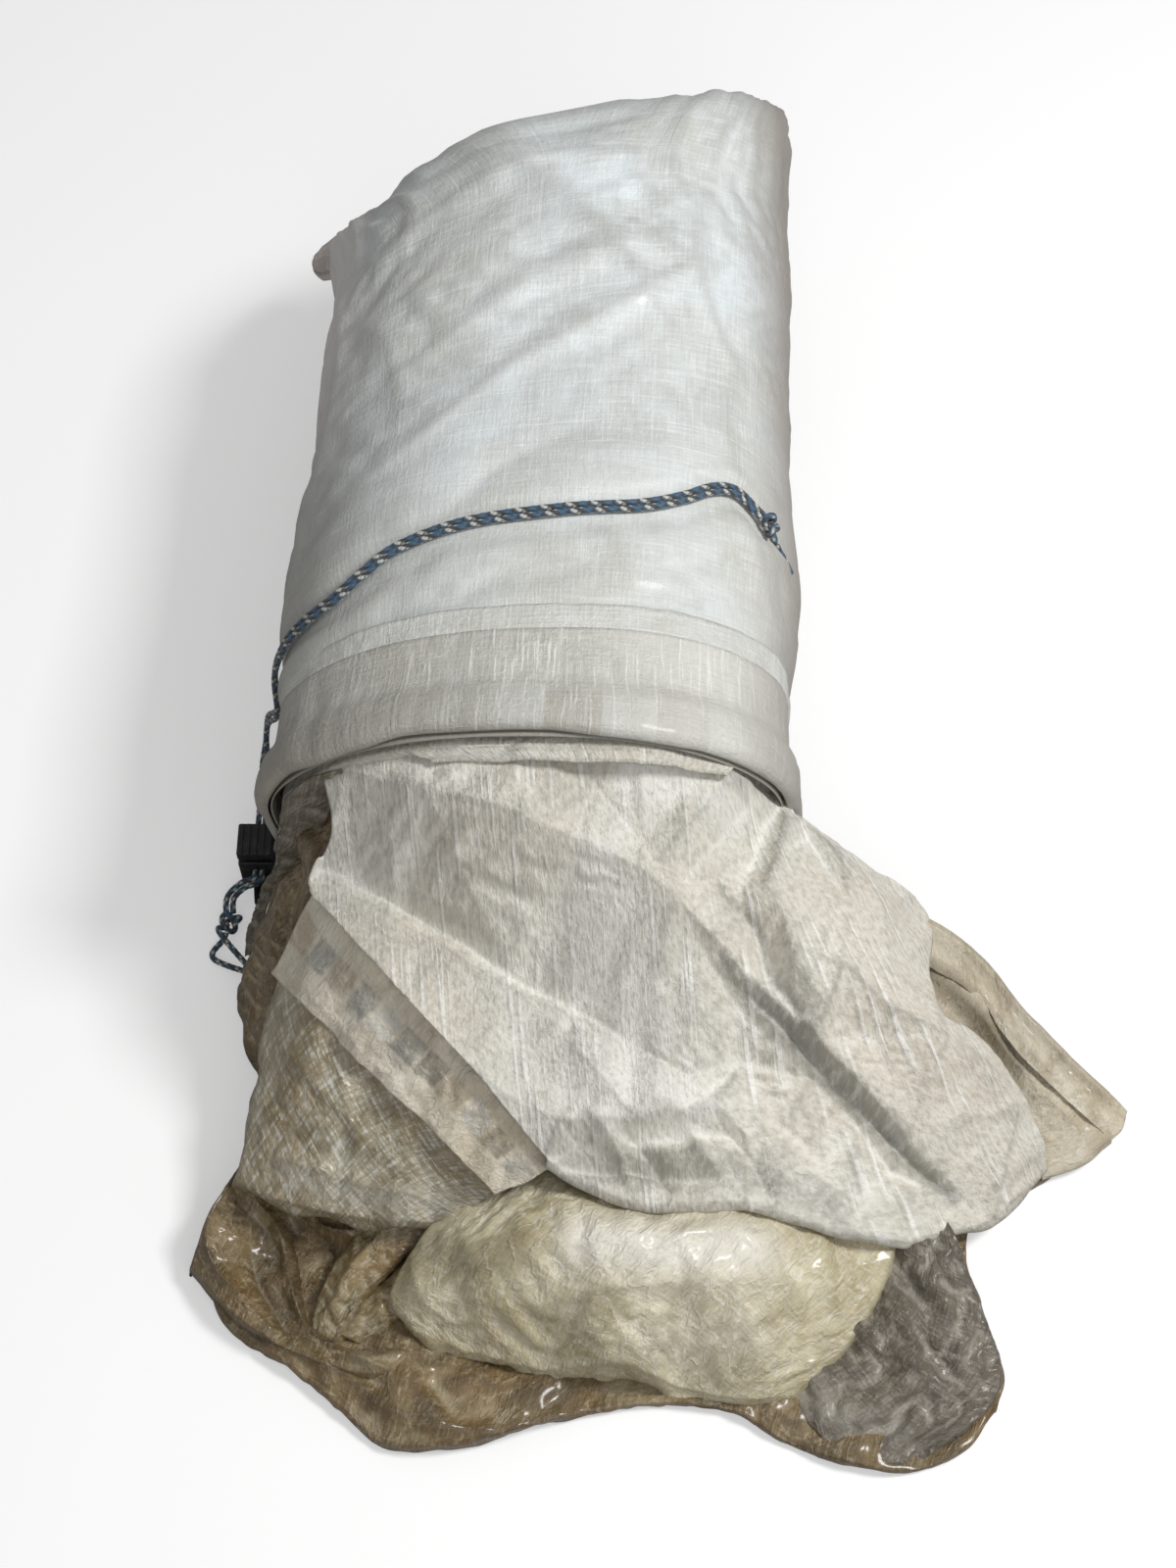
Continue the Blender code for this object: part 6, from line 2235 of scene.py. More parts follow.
# Crease lines of the canopy, (x, out, z) in mm: its border first, then ridges and valleys
CANOPY_NET = (
    ((-62, 0, 112), (-55, 0, 119), (-46, 0, 124), (-31, 0, 128.5), (-12, 0, 131), (8, 0, 131.5),
     (35, 0, 129.5), (60, 0, 120), (72, 0, 109), (80, 0, 98), (86, 0, 92)),
    ((-62, 0, 112), (-61, 12, 100), (-67, 24, 88.5), (-59, 37, 86.5), (-37, 60, 79.5), (-19, 77, 71.5),
     (-4, 92, 62.5), (6, 103, 54)),
    ((6, 103, 54), (35, 114, 47), (68, 113, 44), (95, 117, 31), (117, 118, 24), (131, 114, 18),
     (150, 107, 12), (170, 88, 9)),
    ((86, 0, 92), (103, 11, 82), (125, 16, 64), (132, 23, 55), (131, 38, 52), (135, 52, 50), (149, 58, 40),
     (163, 72, 27), (170, 88, 9)),
    ((-55, 1, 118), (-30, 11, 127.5), (2, 21, 124), (20, 25, 119), (35, 31, 113), (47, 39, 105), (58, 45, 95),
     (66, 54, 84), (76, 61, 74), (92, 72, 60), (107, 82, 45), (119, 92, 34), (131, 100, 22)),
    ((44, 42, 101), (55, 48, 88), (64, 57, 75), (74, 64, 64), (90, 75, 50), (105, 85, 36), (117, 95, 25)),
    ((-68, 23, 88), (-56, 26, 87.5), (-44, 34, 86.5), (-25, 44, 84), (-3, 56, 78.5), (14, 62, 73),
     (28, 67, 69.5), (42, 74, 65.5), (51, 77, 61), (57, 82, 57)),
    ((-64, 19, 88), (-54, 22, 85), (-41, 30, 83), (-23, 40, 81), (-2, 52, 76), (15, 59, 71.5)),
    ((57, 1, 118.5), (47, 8, 117), (36, 22, 113.5)),
    ((68, 1, 116), (62, 4, 115.5), (51, 16, 113), (40, 28, 109)),
    ((75, 1, 104), (69, 5, 103), (59, 18, 102), (49, 30, 100)),
    ((31, 1, 127.5), (20, 6, 125.5), (7, 16, 124)),
    ((79, 2, 97), (75, 7, 95.5), (71, 20, 94), (66, 30, 93.5), (68, 36, 91), (76, 43, 82), (79, 51, 76),
     (86, 61, 67)), ((82, 5, 99), (79, 17, 98.5), (74, 28, 97)),
    ((79, 35, 92.5), (83, 45, 88), (88, 54, 81), (94, 61, 74)),
    ((91, 65, 69), (99, 61, 68), (106, 64, 61.5), (114, 64, 60)),
    ((99, 49, 83), (114, 57, 71), (134, 61, 55), (147, 65, 43), (159, 75, 28), (166, 84, 13)),
    ((88, 3, 93), (99, 13, 87), (113, 24, 77), (128, 31, 59)),
    ((89, 8, 89), (101, 29, 82), (115, 45, 72), (130, 49, 57)),
    ((11, 92, 62), (32, 91, 62), (47, 88, 61), (59, 86, 59), (69, 93, 50), (84, 101, 41.5), (102, 107, 32),
     (115, 109, 27)), ((16, 96, 50.5), (35, 95, 51), (50, 94, 49), (62, 93, 49)),
    ((23, 76, 69), (38, 85, 64)), ((69, 71, 56), (80, 88, 47), (94, 97, 36)),
    ((32, 47, 92), (41, 57, 82), (50, 66, 72)), ((-35, 20, 106), (-17, 31, 103), (7, 37, 97)))
CANOPY_FOLDS = (
    Fold(((53, 40), (62, 47), (77, 56), (98, 71), (117, 84), (133, 96)), 4.0, 2.4, 9.0, 2.5, 1.15, 0.4),
    Fold(((60, 48), (66, 54), (81, 63), (100, 77), (119, 89), (136, 101)), -7.0, 2.4, 2.2, 0.0, 1.4, 0.4),
    Fold(((60, 29), (65, 34), (72, 39), (75, 47), (79, 54), (86, 61)), -3.0, 2.0, 2.0, 0.0, 1.3, 0.4),
    Fold(((-63, 33), (-41, 54), (-26, 70), (-5, 86), (20, 95)), 2.0, 4.0, 4.0, 0.0, 1.1),
    Fold(((7, 63), (20, 76), (32, 88), (50, 98)), 2.4, 4.0, 5.0, 0.0, 1.1),
    Fold(((-6, 2), (0, 14), (-2, 24)), 1.6, 3.0, 3.0),
    Fold(((10, 98), (26, 95), (44, 98), (62, 95)), 4.0, 3.0, 3.0, 1.2),
    Fold(((7, 104), (32, 103), (50, 105), (72, 103)), -5.0, 2.4, 2.4),
    Fold(((18, 88), (28, 97), (33, 108)), 3.4, 2.4, 2.4),
    Fold(((50, 90), (55, 99), (66, 107)), 3.4, 2.4, 2.4),
    Fold(((30, 92), (40, 101), (44, 110)), -3.0, 2.0, 2.0),
    Fold(((60, 90), (70, 99), (76, 110)), -2.6, 2.0, 2.4),
    Fold(((72, 88), (84, 98), (100, 108)), 2.6, 3.0, 3.0),
    Fold(((169, 74), (146, 80), (126, 87)), 2.0, 4.0, 4.0),
    Fold(((30, 45), (44, 52), (58, 66), (70, 82)), 1.6, 5.0, 5.0, 0.0, 1.1),
    Fold(((-20, 24), (0, 40), (16, 60)), 1.6, 5.0, 5.0, 0.0, 1.1),
    Fold(((-48, 8), (-40, 22), (-44, 38)), 1.8, 4.0, 4.0, 0.0, 1.1))

# Hollows that the light doesn't reach (above nought) and bright faces (below): line, width in mm, share
CANOPY_SHADES = (
    (((62, 50), (66, 54), (81, 63), (100, 77), (119, 89), (137, 102)), 2.0, 0.80),
    (((60, 29), (65, 34), (73, 39), (75, 47), (79, 54), (86, 61)), 1.5, 0.60),
    (((58, 4), (50, 12), (39, 22), (31, 30)), 3.5, 0.32), (((29, 1), (17, 10), (2, 20)), 3.5, 0.22),
    (((-54, 8), (-60, 23), (-54, 39)), 11.0, 0.34), (((-45, 45), (-35, 54)), 10.0, 0.16),
    (((12, 98), (32, 102), (50, 102), (64, 101), (81, 107), (98, 111)), 5.0, 0.50),
    (((20, 82), (38, 83), (56, 86)), 8.0, -0.50), (((20, 38), (30, 52), (34, 62)), 12.0, -0.40),
    (((26, 32), (37, 10)), 10.0, -0.35), (((30, 3), (46, 5), (60, 8)), 6.0, -0.60))

RIM_CANOPY = ((-62, 0.5), (-30, 0.5), (12, 0.5), (50, 0.5), (85, 0.5))
CANOPY_SHEET = Sheet(
    "canopy_spill", ("canopy_main", "canopy_side_fan"), "canopy_cloth", CANOPY, near=RIM_CANOPY,
    far=((7, 102), (35, 113), (68, 112), (95, 116), (117, 117), (131, 113), (150, 106), (169, 88)),
    left=((-62, 0.5), (-60, 12), (-67, 24), (-58, 37), (-36, 60), (-18, 77), (-3, 92), (7, 102)),
    right=((85, 0.5), (104, 11), (124, 16), (131, 23), (130, 38), (134, 52), (148, 58), (162, 72), (169, 88)),
    spots=list(dict.fromkeys(spot for line in CANOPY_NET for spot in line[::2])), net=CANOPY_NET,
    folds=CANOPY_FOLDS, across=244, down=180, crush=2.6, crush_size=34.0, seed=3, inlet=12.0, levels=CREASED,
    crisp=0.65, grain=(0.09, 0.62, 40.0, 60.0), shades=CANOPY_SHADES,
    edges={"far": Edge(2.0, drop=9.0, curl=5.0)}, top=132.0, low=6.0, lift=1.2)

SHEETS = (
    CANOPY_SHEET,
    Sheet("canopy_second_fold", ("canopy_tuck",), "canopy_cloth", CANOPY,
          near=((-34, 0.5), (16, 0.5), (64, 0.5)), far=((-28, 3), (-4, 4.4), (20, 5), (40, 4.6), (62, 2.6)),
          left=((-34, 0.5), (-31, 2), (-28, 3)), right=((64, 0.5), (63, 1.6), (62, 2.6)),
          spots=((-34, 0, 129.5), (16, 0, 134.2), (64, 0, 120.5), (-28, 3, 130.2), (20, 5, 133.2),
                 (62, 3, 121), (-4, 4, 133), (40, 4, 131), (0, 2, 134), (36, 2, 132.6)),
          folds=(Fold(((-24, 2), (10, 3), (50, 2)), 0.8, 1.6, 1.6),), across=150, down=24, crush=0.5,
          crush_size=10.0, seed=5, inlet=10.0,
          edges={"far": Edge(0.8, drop=2.6, curl=2.0, rows=5)}, top=136.0, levels=CALM),
    Sheet("side_flap_cloth", ("side_flap",), "clear_laminate", CREAM,
          near=((130, 33), (147, 38), (163, 55), (193, 75)),
          far=((129, 44), (133, 54), (147, 60), (161, 74), (169, 88)),
          left=((130, 33), (129, 44)), right=((193, 75), (182, 83), (169, 88)),
          spots=((133, 34, 50), (150, 42, 36.5), (163, 56, 26), (190, 75, 9.5), (180, 81, 8), (169, 84, 9),
                 (161, 71, 19), (147, 57, 31), (132, 52, 42)),
          folds=(Fold(((131, 37), (147, 44), (163, 60), (186, 77)), 1.6, 2.0, 2.0),
                 Fold(((132, 42), (148, 51), (164, 68), (178, 81)), -2.2, 3.0, 3.0),
                 Fold(((134, 48), (150, 58), (164, 74)), 1.2, 2.5, 2.5)), across=130, down=60, crush=0.7,
          crush_size=14.0, seed=8, edges={"right": Edge(1.5, 3.0)}, low=3.0, lift=0.2, levels=CREASED,
          shades=((((130, 36), (139, 40), (150, 48), (160, 59)), 4.5, 0.75),
                  (((160, 62), (180, 80)), 5.0, -0.2))),
    Sheet("side_flap_hem_cloth", ("side_flap_hem",), "clear_laminate", CREAM,
          near=((128, 20), (150, 27), (169, 45), (199, 67)), far=((130, 35), (147, 40), (163, 57), (193, 77)),
          left=((128, 20), (129, 28), (130, 35)), right=((199, 67), (197, 73), (193, 77)),
          spots=((128, 20, 58), (131, 24, 56), (150, 28, 39), (169, 47, 27), (198, 69, 8), (192, 76, 8),
                 (163, 56, 27), (147, 39, 38), (130, 34, 53)),
          folds=(Fold(((130, 31), (148, 37), (164, 54), (194, 74)), 2.2, 2.5, 3.0),
                 Fold(((130, 26), (150, 32), (168, 49), (197, 70)), -1.2, 2.5, 2.5),
                 Fold(((129, 22), (150, 29), (169, 47), (197, 68)), 1.4, 1.6, 1.6)), across=170, down=40,
          crush=0.5, crush_size=14.0, seed=12, edges={"near": Edge(1.0, 4.0)}, low=3.5, lift=0.8,
          levels=CREASED,
          shades=((((130, 26), (150, 32), (168, 49), (190, 64)), 2.5, 0.30),
                  (((131, 35), (140, 38), (150, 45)), 3.5, 0.70))),
    Sheet("seam_band_cloth", ("canopy_seam_band",), "clear_laminate", BAND,
          near=((-64, 23), (-56, 36), (-34, 58), (-16, 74), (-1, 90), (9, 101)),
          far=((-82, 39), (-72, 51), (-49, 74), (-31, 90), (-10, 109)),
          left=((-64, 23), (-73, 31), (-82, 39)), right=((9, 101), (0, 106), (-10, 109)),
          spots=((7, 99, 50.5), (-2, 91, 58.5), (-17, 75, 67.5), (-35, 59, 75), (-58, 36, 82), (-66, 26, 83),
                 (-80, 38, 57), (-72, 50, 61), (-49, 73, 59), (-31, 89, 54), (-10, 107, 45)),
          folds=(Fold(((-66, 26), (-55, 40), (-33, 64), (-12, 84), (6, 100)), 1.4, 2.5, 2.5),
                 Fold(((-80, 38), (-60, 60), (-38, 82), (-12, 106)), 1.2, 2.0, 2.0)), across=160, down=60,
          crush=1.2, crush_size=13.0, seed=16, lift=1.6, low=4.0, levels=CALM,
          shades=((((-72, 28), (-66, 36)), 8.0, -0.35), (((-63, 46), (-50, 63), (-39, 75)), 8.0, -0.40))),
    Sheet("corner_panel_cloth", ("corner_panel",), "tan_laminate", TAN,
          near=((-78, 36), (-70, 48), (-48, 70), (-30, 86), (-8, 105)),
          far=((-93, 98), (-78, 105), (-64, 109), (-40, 113), (-20, 113)),
          left=((-78, 36), (-84, 48), (-87, 58), (-87, 66), (-89, 80), (-93, 98)),
          right=((-8, 105), (-14, 109), (-20, 113)),
          spots=((-80, 38, 54), (-72, 50, 58), (-49, 73, 56), (-31, 89, 51), (-10, 107, 42), (-22, 110, 35),
                 (-40, 110, 32), (-64, 106, 30), (-77, 102, 30), (-91, 96, 26), (-88, 80, 32), (-86, 66, 36),
                 (-86, 58, 38), (-75, 75, 46), (-50, 95, 38)),
          folds=(Fold(((-80, 60), (-66, 76), (-50, 92), (-34, 104)), 2.6, 5.0, 5.0),
                 Fold(((-90, 92), (-72, 96), (-50, 103), (-30, 108)), 3.0, 4.0, 3.0, 1.0),
                 Fold(((-84, 70), (-76, 84), (-66, 98)), -2.2, 4.0, 4.0),
                 Fold(((-60, 62), (-58, 78), (-52, 96)), 1.6, 3.0, 3.0)), across=150, down=120, crush=1.5,
          crush_size=18.0, seed=21, levels=CREASED,
          shades=((((-76, 98), (-62, 104), (-40, 107), (-24, 109)), 3.0, -0.25),),
          edges={"far": Edge(2.5, drop=11.0, curl=7.0), "left": Edge(3.0, 4.0)}, low=4.0),
    Sheet("left_gusset_cloth", ("left_gusset",), "brown_laminate", BROWN,
          near=((-76, -5, 58), (-72, -6, 76), (-66, -6, 92), (-57, -6, 104)),
          far=((-84, 62, 8), (-83, 52, 24), (-78, 38, 50)),
          left=((-76, -5, 58), (-80, 5, 52), (-88, 13, 42), (-95, 19, 31), (-99, 25, 18), (-97, 33, 12),
                (-94, 44, 10), (-90, 54, 9), (-84, 62, 8)),
          right=((-57, -6, 104), (-60, 8, 93), (-66, 24, 78), (-78, 38, 50)), spots=(),
          folds=(Fold(((-70, 2), (-74, 16), (-84, 42)), -4.5, 3.0, 2.5),
                 Fold(((-66, 4), (-69, 18), (-76, 34)), 4.0, 3.0, 3.0),
                 Fold(((-80, 6), (-83, 22), (-90, 46)), 4.0, 3.0, 3.0),
                 Fold(((-84, 16), (-90, 30), (-92, 48)), -3.0, 2.5, 2.5)), across=110, down=150, crush=1.2,
          crush_size=14.0, seed=26, edges={"left": Edge(1.2, 3.0)}, low=3.0, top=110.0, within_mouth=True),
    Sheet("hem_flap", (), "sack_hem", FLAP_IN_SHADE, body=Body.SACK,
          near=((-77.5, 0.3, 86), (-77.3, 0.3, 95), (-74.8, 0.3, 103), (-69.7, 0.3, 110.5), (-63, 0.3, 116),
                (-56, 0.4, 119)),
          far=((-98, 14, 17), (-97, 14, 18.5), (-96, 14, 20)),
          left=((-77.5, 0.3, 86), (-80.4, 2, 73.5), (-83.9, 4, 56.2), (-89.4, 6, 43.8), (-95, 10, 28.4),
                (-98, 14, 17)),
          right=((-56, 0.4, 119), (-61.8, 1.5, 99.7), (-66.4, 2.5, 86.2), (-73.7, 3.5, 70.3),
                 (-80.7, 5, 58.1), (-88.3, 8, 41.3), (-96, 14, 20)), spots=(), across=70, down=110, crush=0.7,
          crush_size=12.0, seed=99, levels=CALM,
          edges={"right": Edge(1.0, drop=1.5, curl=1.5, rows=5)}, low=2.0, top=124.0,
          rests_on=("left_gusset",)),
    Sheet("floor_lobe_cloth", ("floor_lobe",), "floor_laminate", OLIVE,
          near=((-26, 104), (-10, 100), (7, 94), (35, 103), (68, 102), (95, 107), (119, 110)),
          far=((-35, 142), (-21, 147), (-5, 151), (11, 154), (32, 156), (50, 160), (69, 163), (84, 161)),
          left=((-26, 104), (-28, 112), (-35, 121), (-40, 128), (-42, 134), (-35, 142)),
          right=((119, 110), (115, 124), (110, 134), (99, 148), (84, 161)),
          spots=((-24, 110, 32), (-10, 107, 36), (7, 100, 37), (35, 107, 34), (68, 106, 32), (95, 111, 23),
                 (117, 112, 18), (35, 116, 43), (68, 115, 39), (108, 133, 15), (97, 147, 10), (83, 158, 7),
                 (69, 164, 7), (50, 159, 8), (7, 152, 10), (-17, 146, 12), (-35, 140, 13), (-41, 132, 15),
                 (-34, 120, 25), (-28, 130, 27), (-8, 128, 38), (10, 125, 45), (45, 130, 44), (75, 130, 37),
                 (-14, 142, 22), (20, 145, 31), (60, 148, 27), (36, 156, 19)),
          folds=(Fold(((-30, 118), (-6, 126), (30, 124), (70, 122), (100, 120)), 1.8, 5.0, 5.0),
                 Fold(((-34, 134), (0, 140), (40, 137), (90, 134)), 1.6, 4.0, 5.0, 1.0),
                 Fold(((-20, 146), (20, 151), (66, 152)), 1.4, 4.0, 4.0),
                 Fold(((-36, 120), (-34, 132), (-26, 142)), 2.4, 4.0, 3.0),
                 Fold(((60, 112), (72, 128), (92, 142)), 1.6, 5.0, 4.0),
                 Fold(((12, 108), (18, 122), (8, 138)), -1.4, 4.0, 4.0),
                 Fold(((88, 112), (96, 124), (96, 140)), 1.8, 4.0, 4.0)), across=200, down=120, crush=1.1,
          crush_size=16.0, seed=30, levels=CREASED,
          shades=((((-32, 122), (-22, 126), (-4, 128)), 11.0, 0.42),
                  (((14, 106), (40, 107), (72, 106)), 3.0, 0.45),
                  (((18, 125), (45, 128), (70, 126)), 10.0, -0.75), (((40, 150), (70, 150)), 7.0, -0.25)),
          edges={"far": Edge(0.8, 2.5), "right": Edge(0.8, 2.5), "left": Edge(1.2, drop=9.0, curl=4.0)},
          low=2.5, lift=1.4),
    Sheet("mesh_lobe_cloth", ("mesh_lobe",), "mesh_cloth", MESH,
          near=((106, 108), (120, 107), (133, 106)), far=((82, 162), (102, 178), (118, 180), (134, 174)),
          left=((106, 108), (103, 123), (97, 134), (86, 148), (82, 162)),
          right=((133, 106), (142, 132), (149, 152), (145, 164), (134, 174)),
          spots=((106, 112, 13), (130, 109, 17), (140, 132, 11), (147, 152, 7), (143, 163, 6), (133, 171, 5),
                 (118, 178, 4), (102, 175, 4), (84, 160, 2), (88, 148, 3), (99, 133, 7), (125, 136, 15),
                 (115, 156, 12), (104, 164, 9)),
          folds=(Fold(((121, 112), (130, 132), (136, 152), (130, 166)), 2.6, 3.5, 3.0),
                 Fold(((114, 126), (121, 146), (116, 162), (102, 172)), 2.4, 3.0, 3.0),
                 Fold(((126, 112), (137, 134), (143, 154)), 1.8, 2.5, 2.5),
                 Fold(((108, 136), (112, 150), (104, 164), (92, 168)), -2.0, 3.0, 3.0),
                 Fold(((118, 120), (126, 140), (124, 158), (112, 170)), -1.8, 2.5, 2.5)), across=110,
          down=130, crush=1.2, crush_size=11.0, seed=36,
          edges={"far": Edge(0.6, 1.2), "right": Edge(0.6, 1.2)}, low=1.5, lift=0.6,
          shades=((((114, 172), (100, 170), (88, 160)), 5.0, -0.40),)),
    Sheet("corner_swirl_cloth", ("corner_swirl",), "brown_laminate", SWIRL,
          near=((-93, 92), (-78, 97), (-64, 101), (-40, 104), (-20, 104)),
          far=((-108, 121), (-93, 137), (-72, 149), (-46, 155), (-33, 144)),
          left=((-93, 92), (-100, 104), (-108, 121)), right=((-20, 104), (-20, 119), (-26, 131), (-33, 144)),
          spots=((-92, 93, 20), (-98, 103, 16), (-106, 119, 8), (-97, 117, 13), (-92, 130, 10), (-80, 142, 9),
                 (-66, 150, 9), (-46, 152, 8), (-84, 101, 8), (-82, 110, 4), (-74, 127, 3), (-64, 143, 4),
                 (-68, 121, 2.5), (-68, 135, 2.5), (-58, 144, 3), (-78, 104, 6), (-61, 105, 10),
                 (-40, 106, 12), (-22, 108, 18), (-46, 130, 4), (-50, 141, 3), (-35, 141, 5), (-30, 146, 7),
                 (-22, 130, 10), (-56, 124, 6)),
          folds=(Fold(((-95, 97), (-101, 107), (-102, 118), (-92, 131), (-78, 144)), 5.0, 5.0, 4.0, 0.0, 1.2,
                      0.4),
                 Fold(((-90, 98), (-80, 108), (-75, 124), (-69, 138), (-54, 149), (-38, 156)), 7.0, 3.5, 2.6,
                      2.0, 1.2, 0.4),
                 Fold(((-77, 98), (-69, 110), (-68, 124), (-66, 136), (-56, 142), (-42, 141)), -4.0, 4.0, 4.0,
                      0.0, 1.2),
                 Fold(((-90, 112), (-86, 126), (-76, 142)), -2.4, 2.4, 2.4, 0.0, 1.2),
                 Fold(((-72, 102), (-62, 110), (-52, 112), (-44, 110)), 3.5, 2.0, 2.0, 0.0, 1.1),
                 Fold(((-78, 101), (-66, 108), (-50, 110), (-36, 109)), 5.0, 2.5, 2.5, 1.5, 1.2),
                 Fold(((-62, 150), (-48, 150), (-36, 148)), 3.0, 3.0, 3.0)), across=170, down=130, crush=1.1,
          crush_size=13.0, seed=41, edges={"left": Edge(1.0, 1.5), "far": Edge(1.0, 1.5)}, low=1.5, lift=0.4,
          levels=CALM, shades=((((-50, 150), (-38, 153)), 6.0, -0.3),)),
    Sheet("swirl_ribbon_upper", (), "brown_laminate", GOLD,
          near=((-38, 103), (-32, 107), (-25, 109)), far=((-69, 141), (-63, 145), (-58, 145)),
          left=((-38, 103), (-52, 110), (-62, 122), (-69, 141)),
          right=((-25, 109), (-41, 121), (-52, 132), (-58, 145)),
          spots=((-36, 104, 25), (-27, 109, 26), (-52, 110, 15), (-41, 121, 17), (-45, 115, 20),
                 (-61, 122, 11), (-51, 131, 12), (-56, 126, 16), (-66, 136, 8), (-57, 142, 7),
                 (-61, 138, 11)),
          folds=(Fold(((-34, 106), (-48, 114), (-58, 126), (-64, 142)), 2.0, 2.0, 2.0),), across=44, down=130,
          crush=0.8, crush_size=9.0, seed=91,
          edges={"left": Edge(0.8, drop=7.0, curl=3.0, rows=6),
                 "right": Edge(0.8, drop=7.0, curl=3.0, rows=6)}, low=2.0, lift=0.0, held="gathered",
          rests_on=("corner_swirl",)),
    Sheet("swirl_ribbon_lower", (), "brown_laminate", GOLD,
          near=((-28, 109), (-24, 113), (-20, 117)), far=((-60, 139), (-55, 143), (-49, 144)),
          left=((-28, 109), (-40, 122), (-51, 131), (-60, 139)),
          right=((-20, 117), (-33, 130), (-42, 138), (-49, 144)),
          spots=((-27, 110, 24), (-21, 117, 20), (-40, 122, 14), (-33, 130, 12), (-36, 126, 17),
                 (-50, 131, 9), (-42, 138, 8), (-46, 134, 12), (-58, 139, 5), (-50, 144, 5), (-54, 141, 8)),
          across=40, down=110, crush=0.8, crush_size=8.0, seed=95,
          edges={"left": Edge(0.6, drop=6.0, curl=2.0, rows=6),
                 "right": Edge(0.6, drop=6.0, curl=2.0, rows=6)}, low=2.0, lift=0.0, held="gathered",
          rests_on=("corner_swirl",)),
    Sheet("ground_layer_cloth", ("ground_layer",), "brown_laminate", BROWN,
          near=((-84, 50), (-30, 44), (10, 30), (84, 2), (128, 24), (160, 44), (188, 70)),
          far=((-104, 119), (-95, 137), (-74, 152), (-58, 164), (-42, 175), (-20, 175), (7, 168), (38, 163),
               (63, 165), (81, 174), (100, 180), (118, 182), (136, 176), (147, 165)),
          left=((-84, 50), (-88, 78), (-93, 98), (-104, 119)),
          right=((188, 70), (170, 88), (144, 106), (144, 134), (150, 153), (147, 165)),
          spots=((-84, 50, 4), (84, 2, 4), (188, 70, 4), (-109, 121, 3), (-74, 152, 5), (-42, 175, 4),
                 (7, 168, 4), (63, 165, 4), (118, 182, 3), (147, 165, 3), (0, 100, 4), (60, 60, 4),
                 (120, 80, 4), (-34, 162, 9), (20, 150, 3), (-20, 140, 3), (60, 150, 3)),
          folds=(Fold(((-100, 126), (-84, 140), (-60, 154), (-36, 166)), 3.0, 3.0, 3.0),
                 Fold(((-58, 158), (-36, 168), (-10, 171), (10, 167)), 3.4, 3.0, 3.0),
                 Fold(((-50, 152), (-34, 162), (-20, 172)), 3.0, 3.0, 3.0),
                 Fold(((-30, 154), (-24, 164), (-22, 173)), -2.4, 2.5, 2.5),
                 Fold(((6, 167), (30, 163), (50, 163), (74, 170)), 1.4, 2.0, 2.0)), across=230, down=120,
          crush=1.3, crush_size=14.0, seed=50, low=0.6, lift=0.0, held="laid", top=12.0, levels=CALM,
          shades=((((2, 160), (12, 161)), 6.0, 0.5), (((30, 158), (42, 159)), 5.0, -0.35)),
          edges={"far": Edge(0.5, 0.4), "left": Edge(0.5, 0.4), "right": Edge(0.5, 0.4)},
          rests_on=("stowed_floor",)),
)


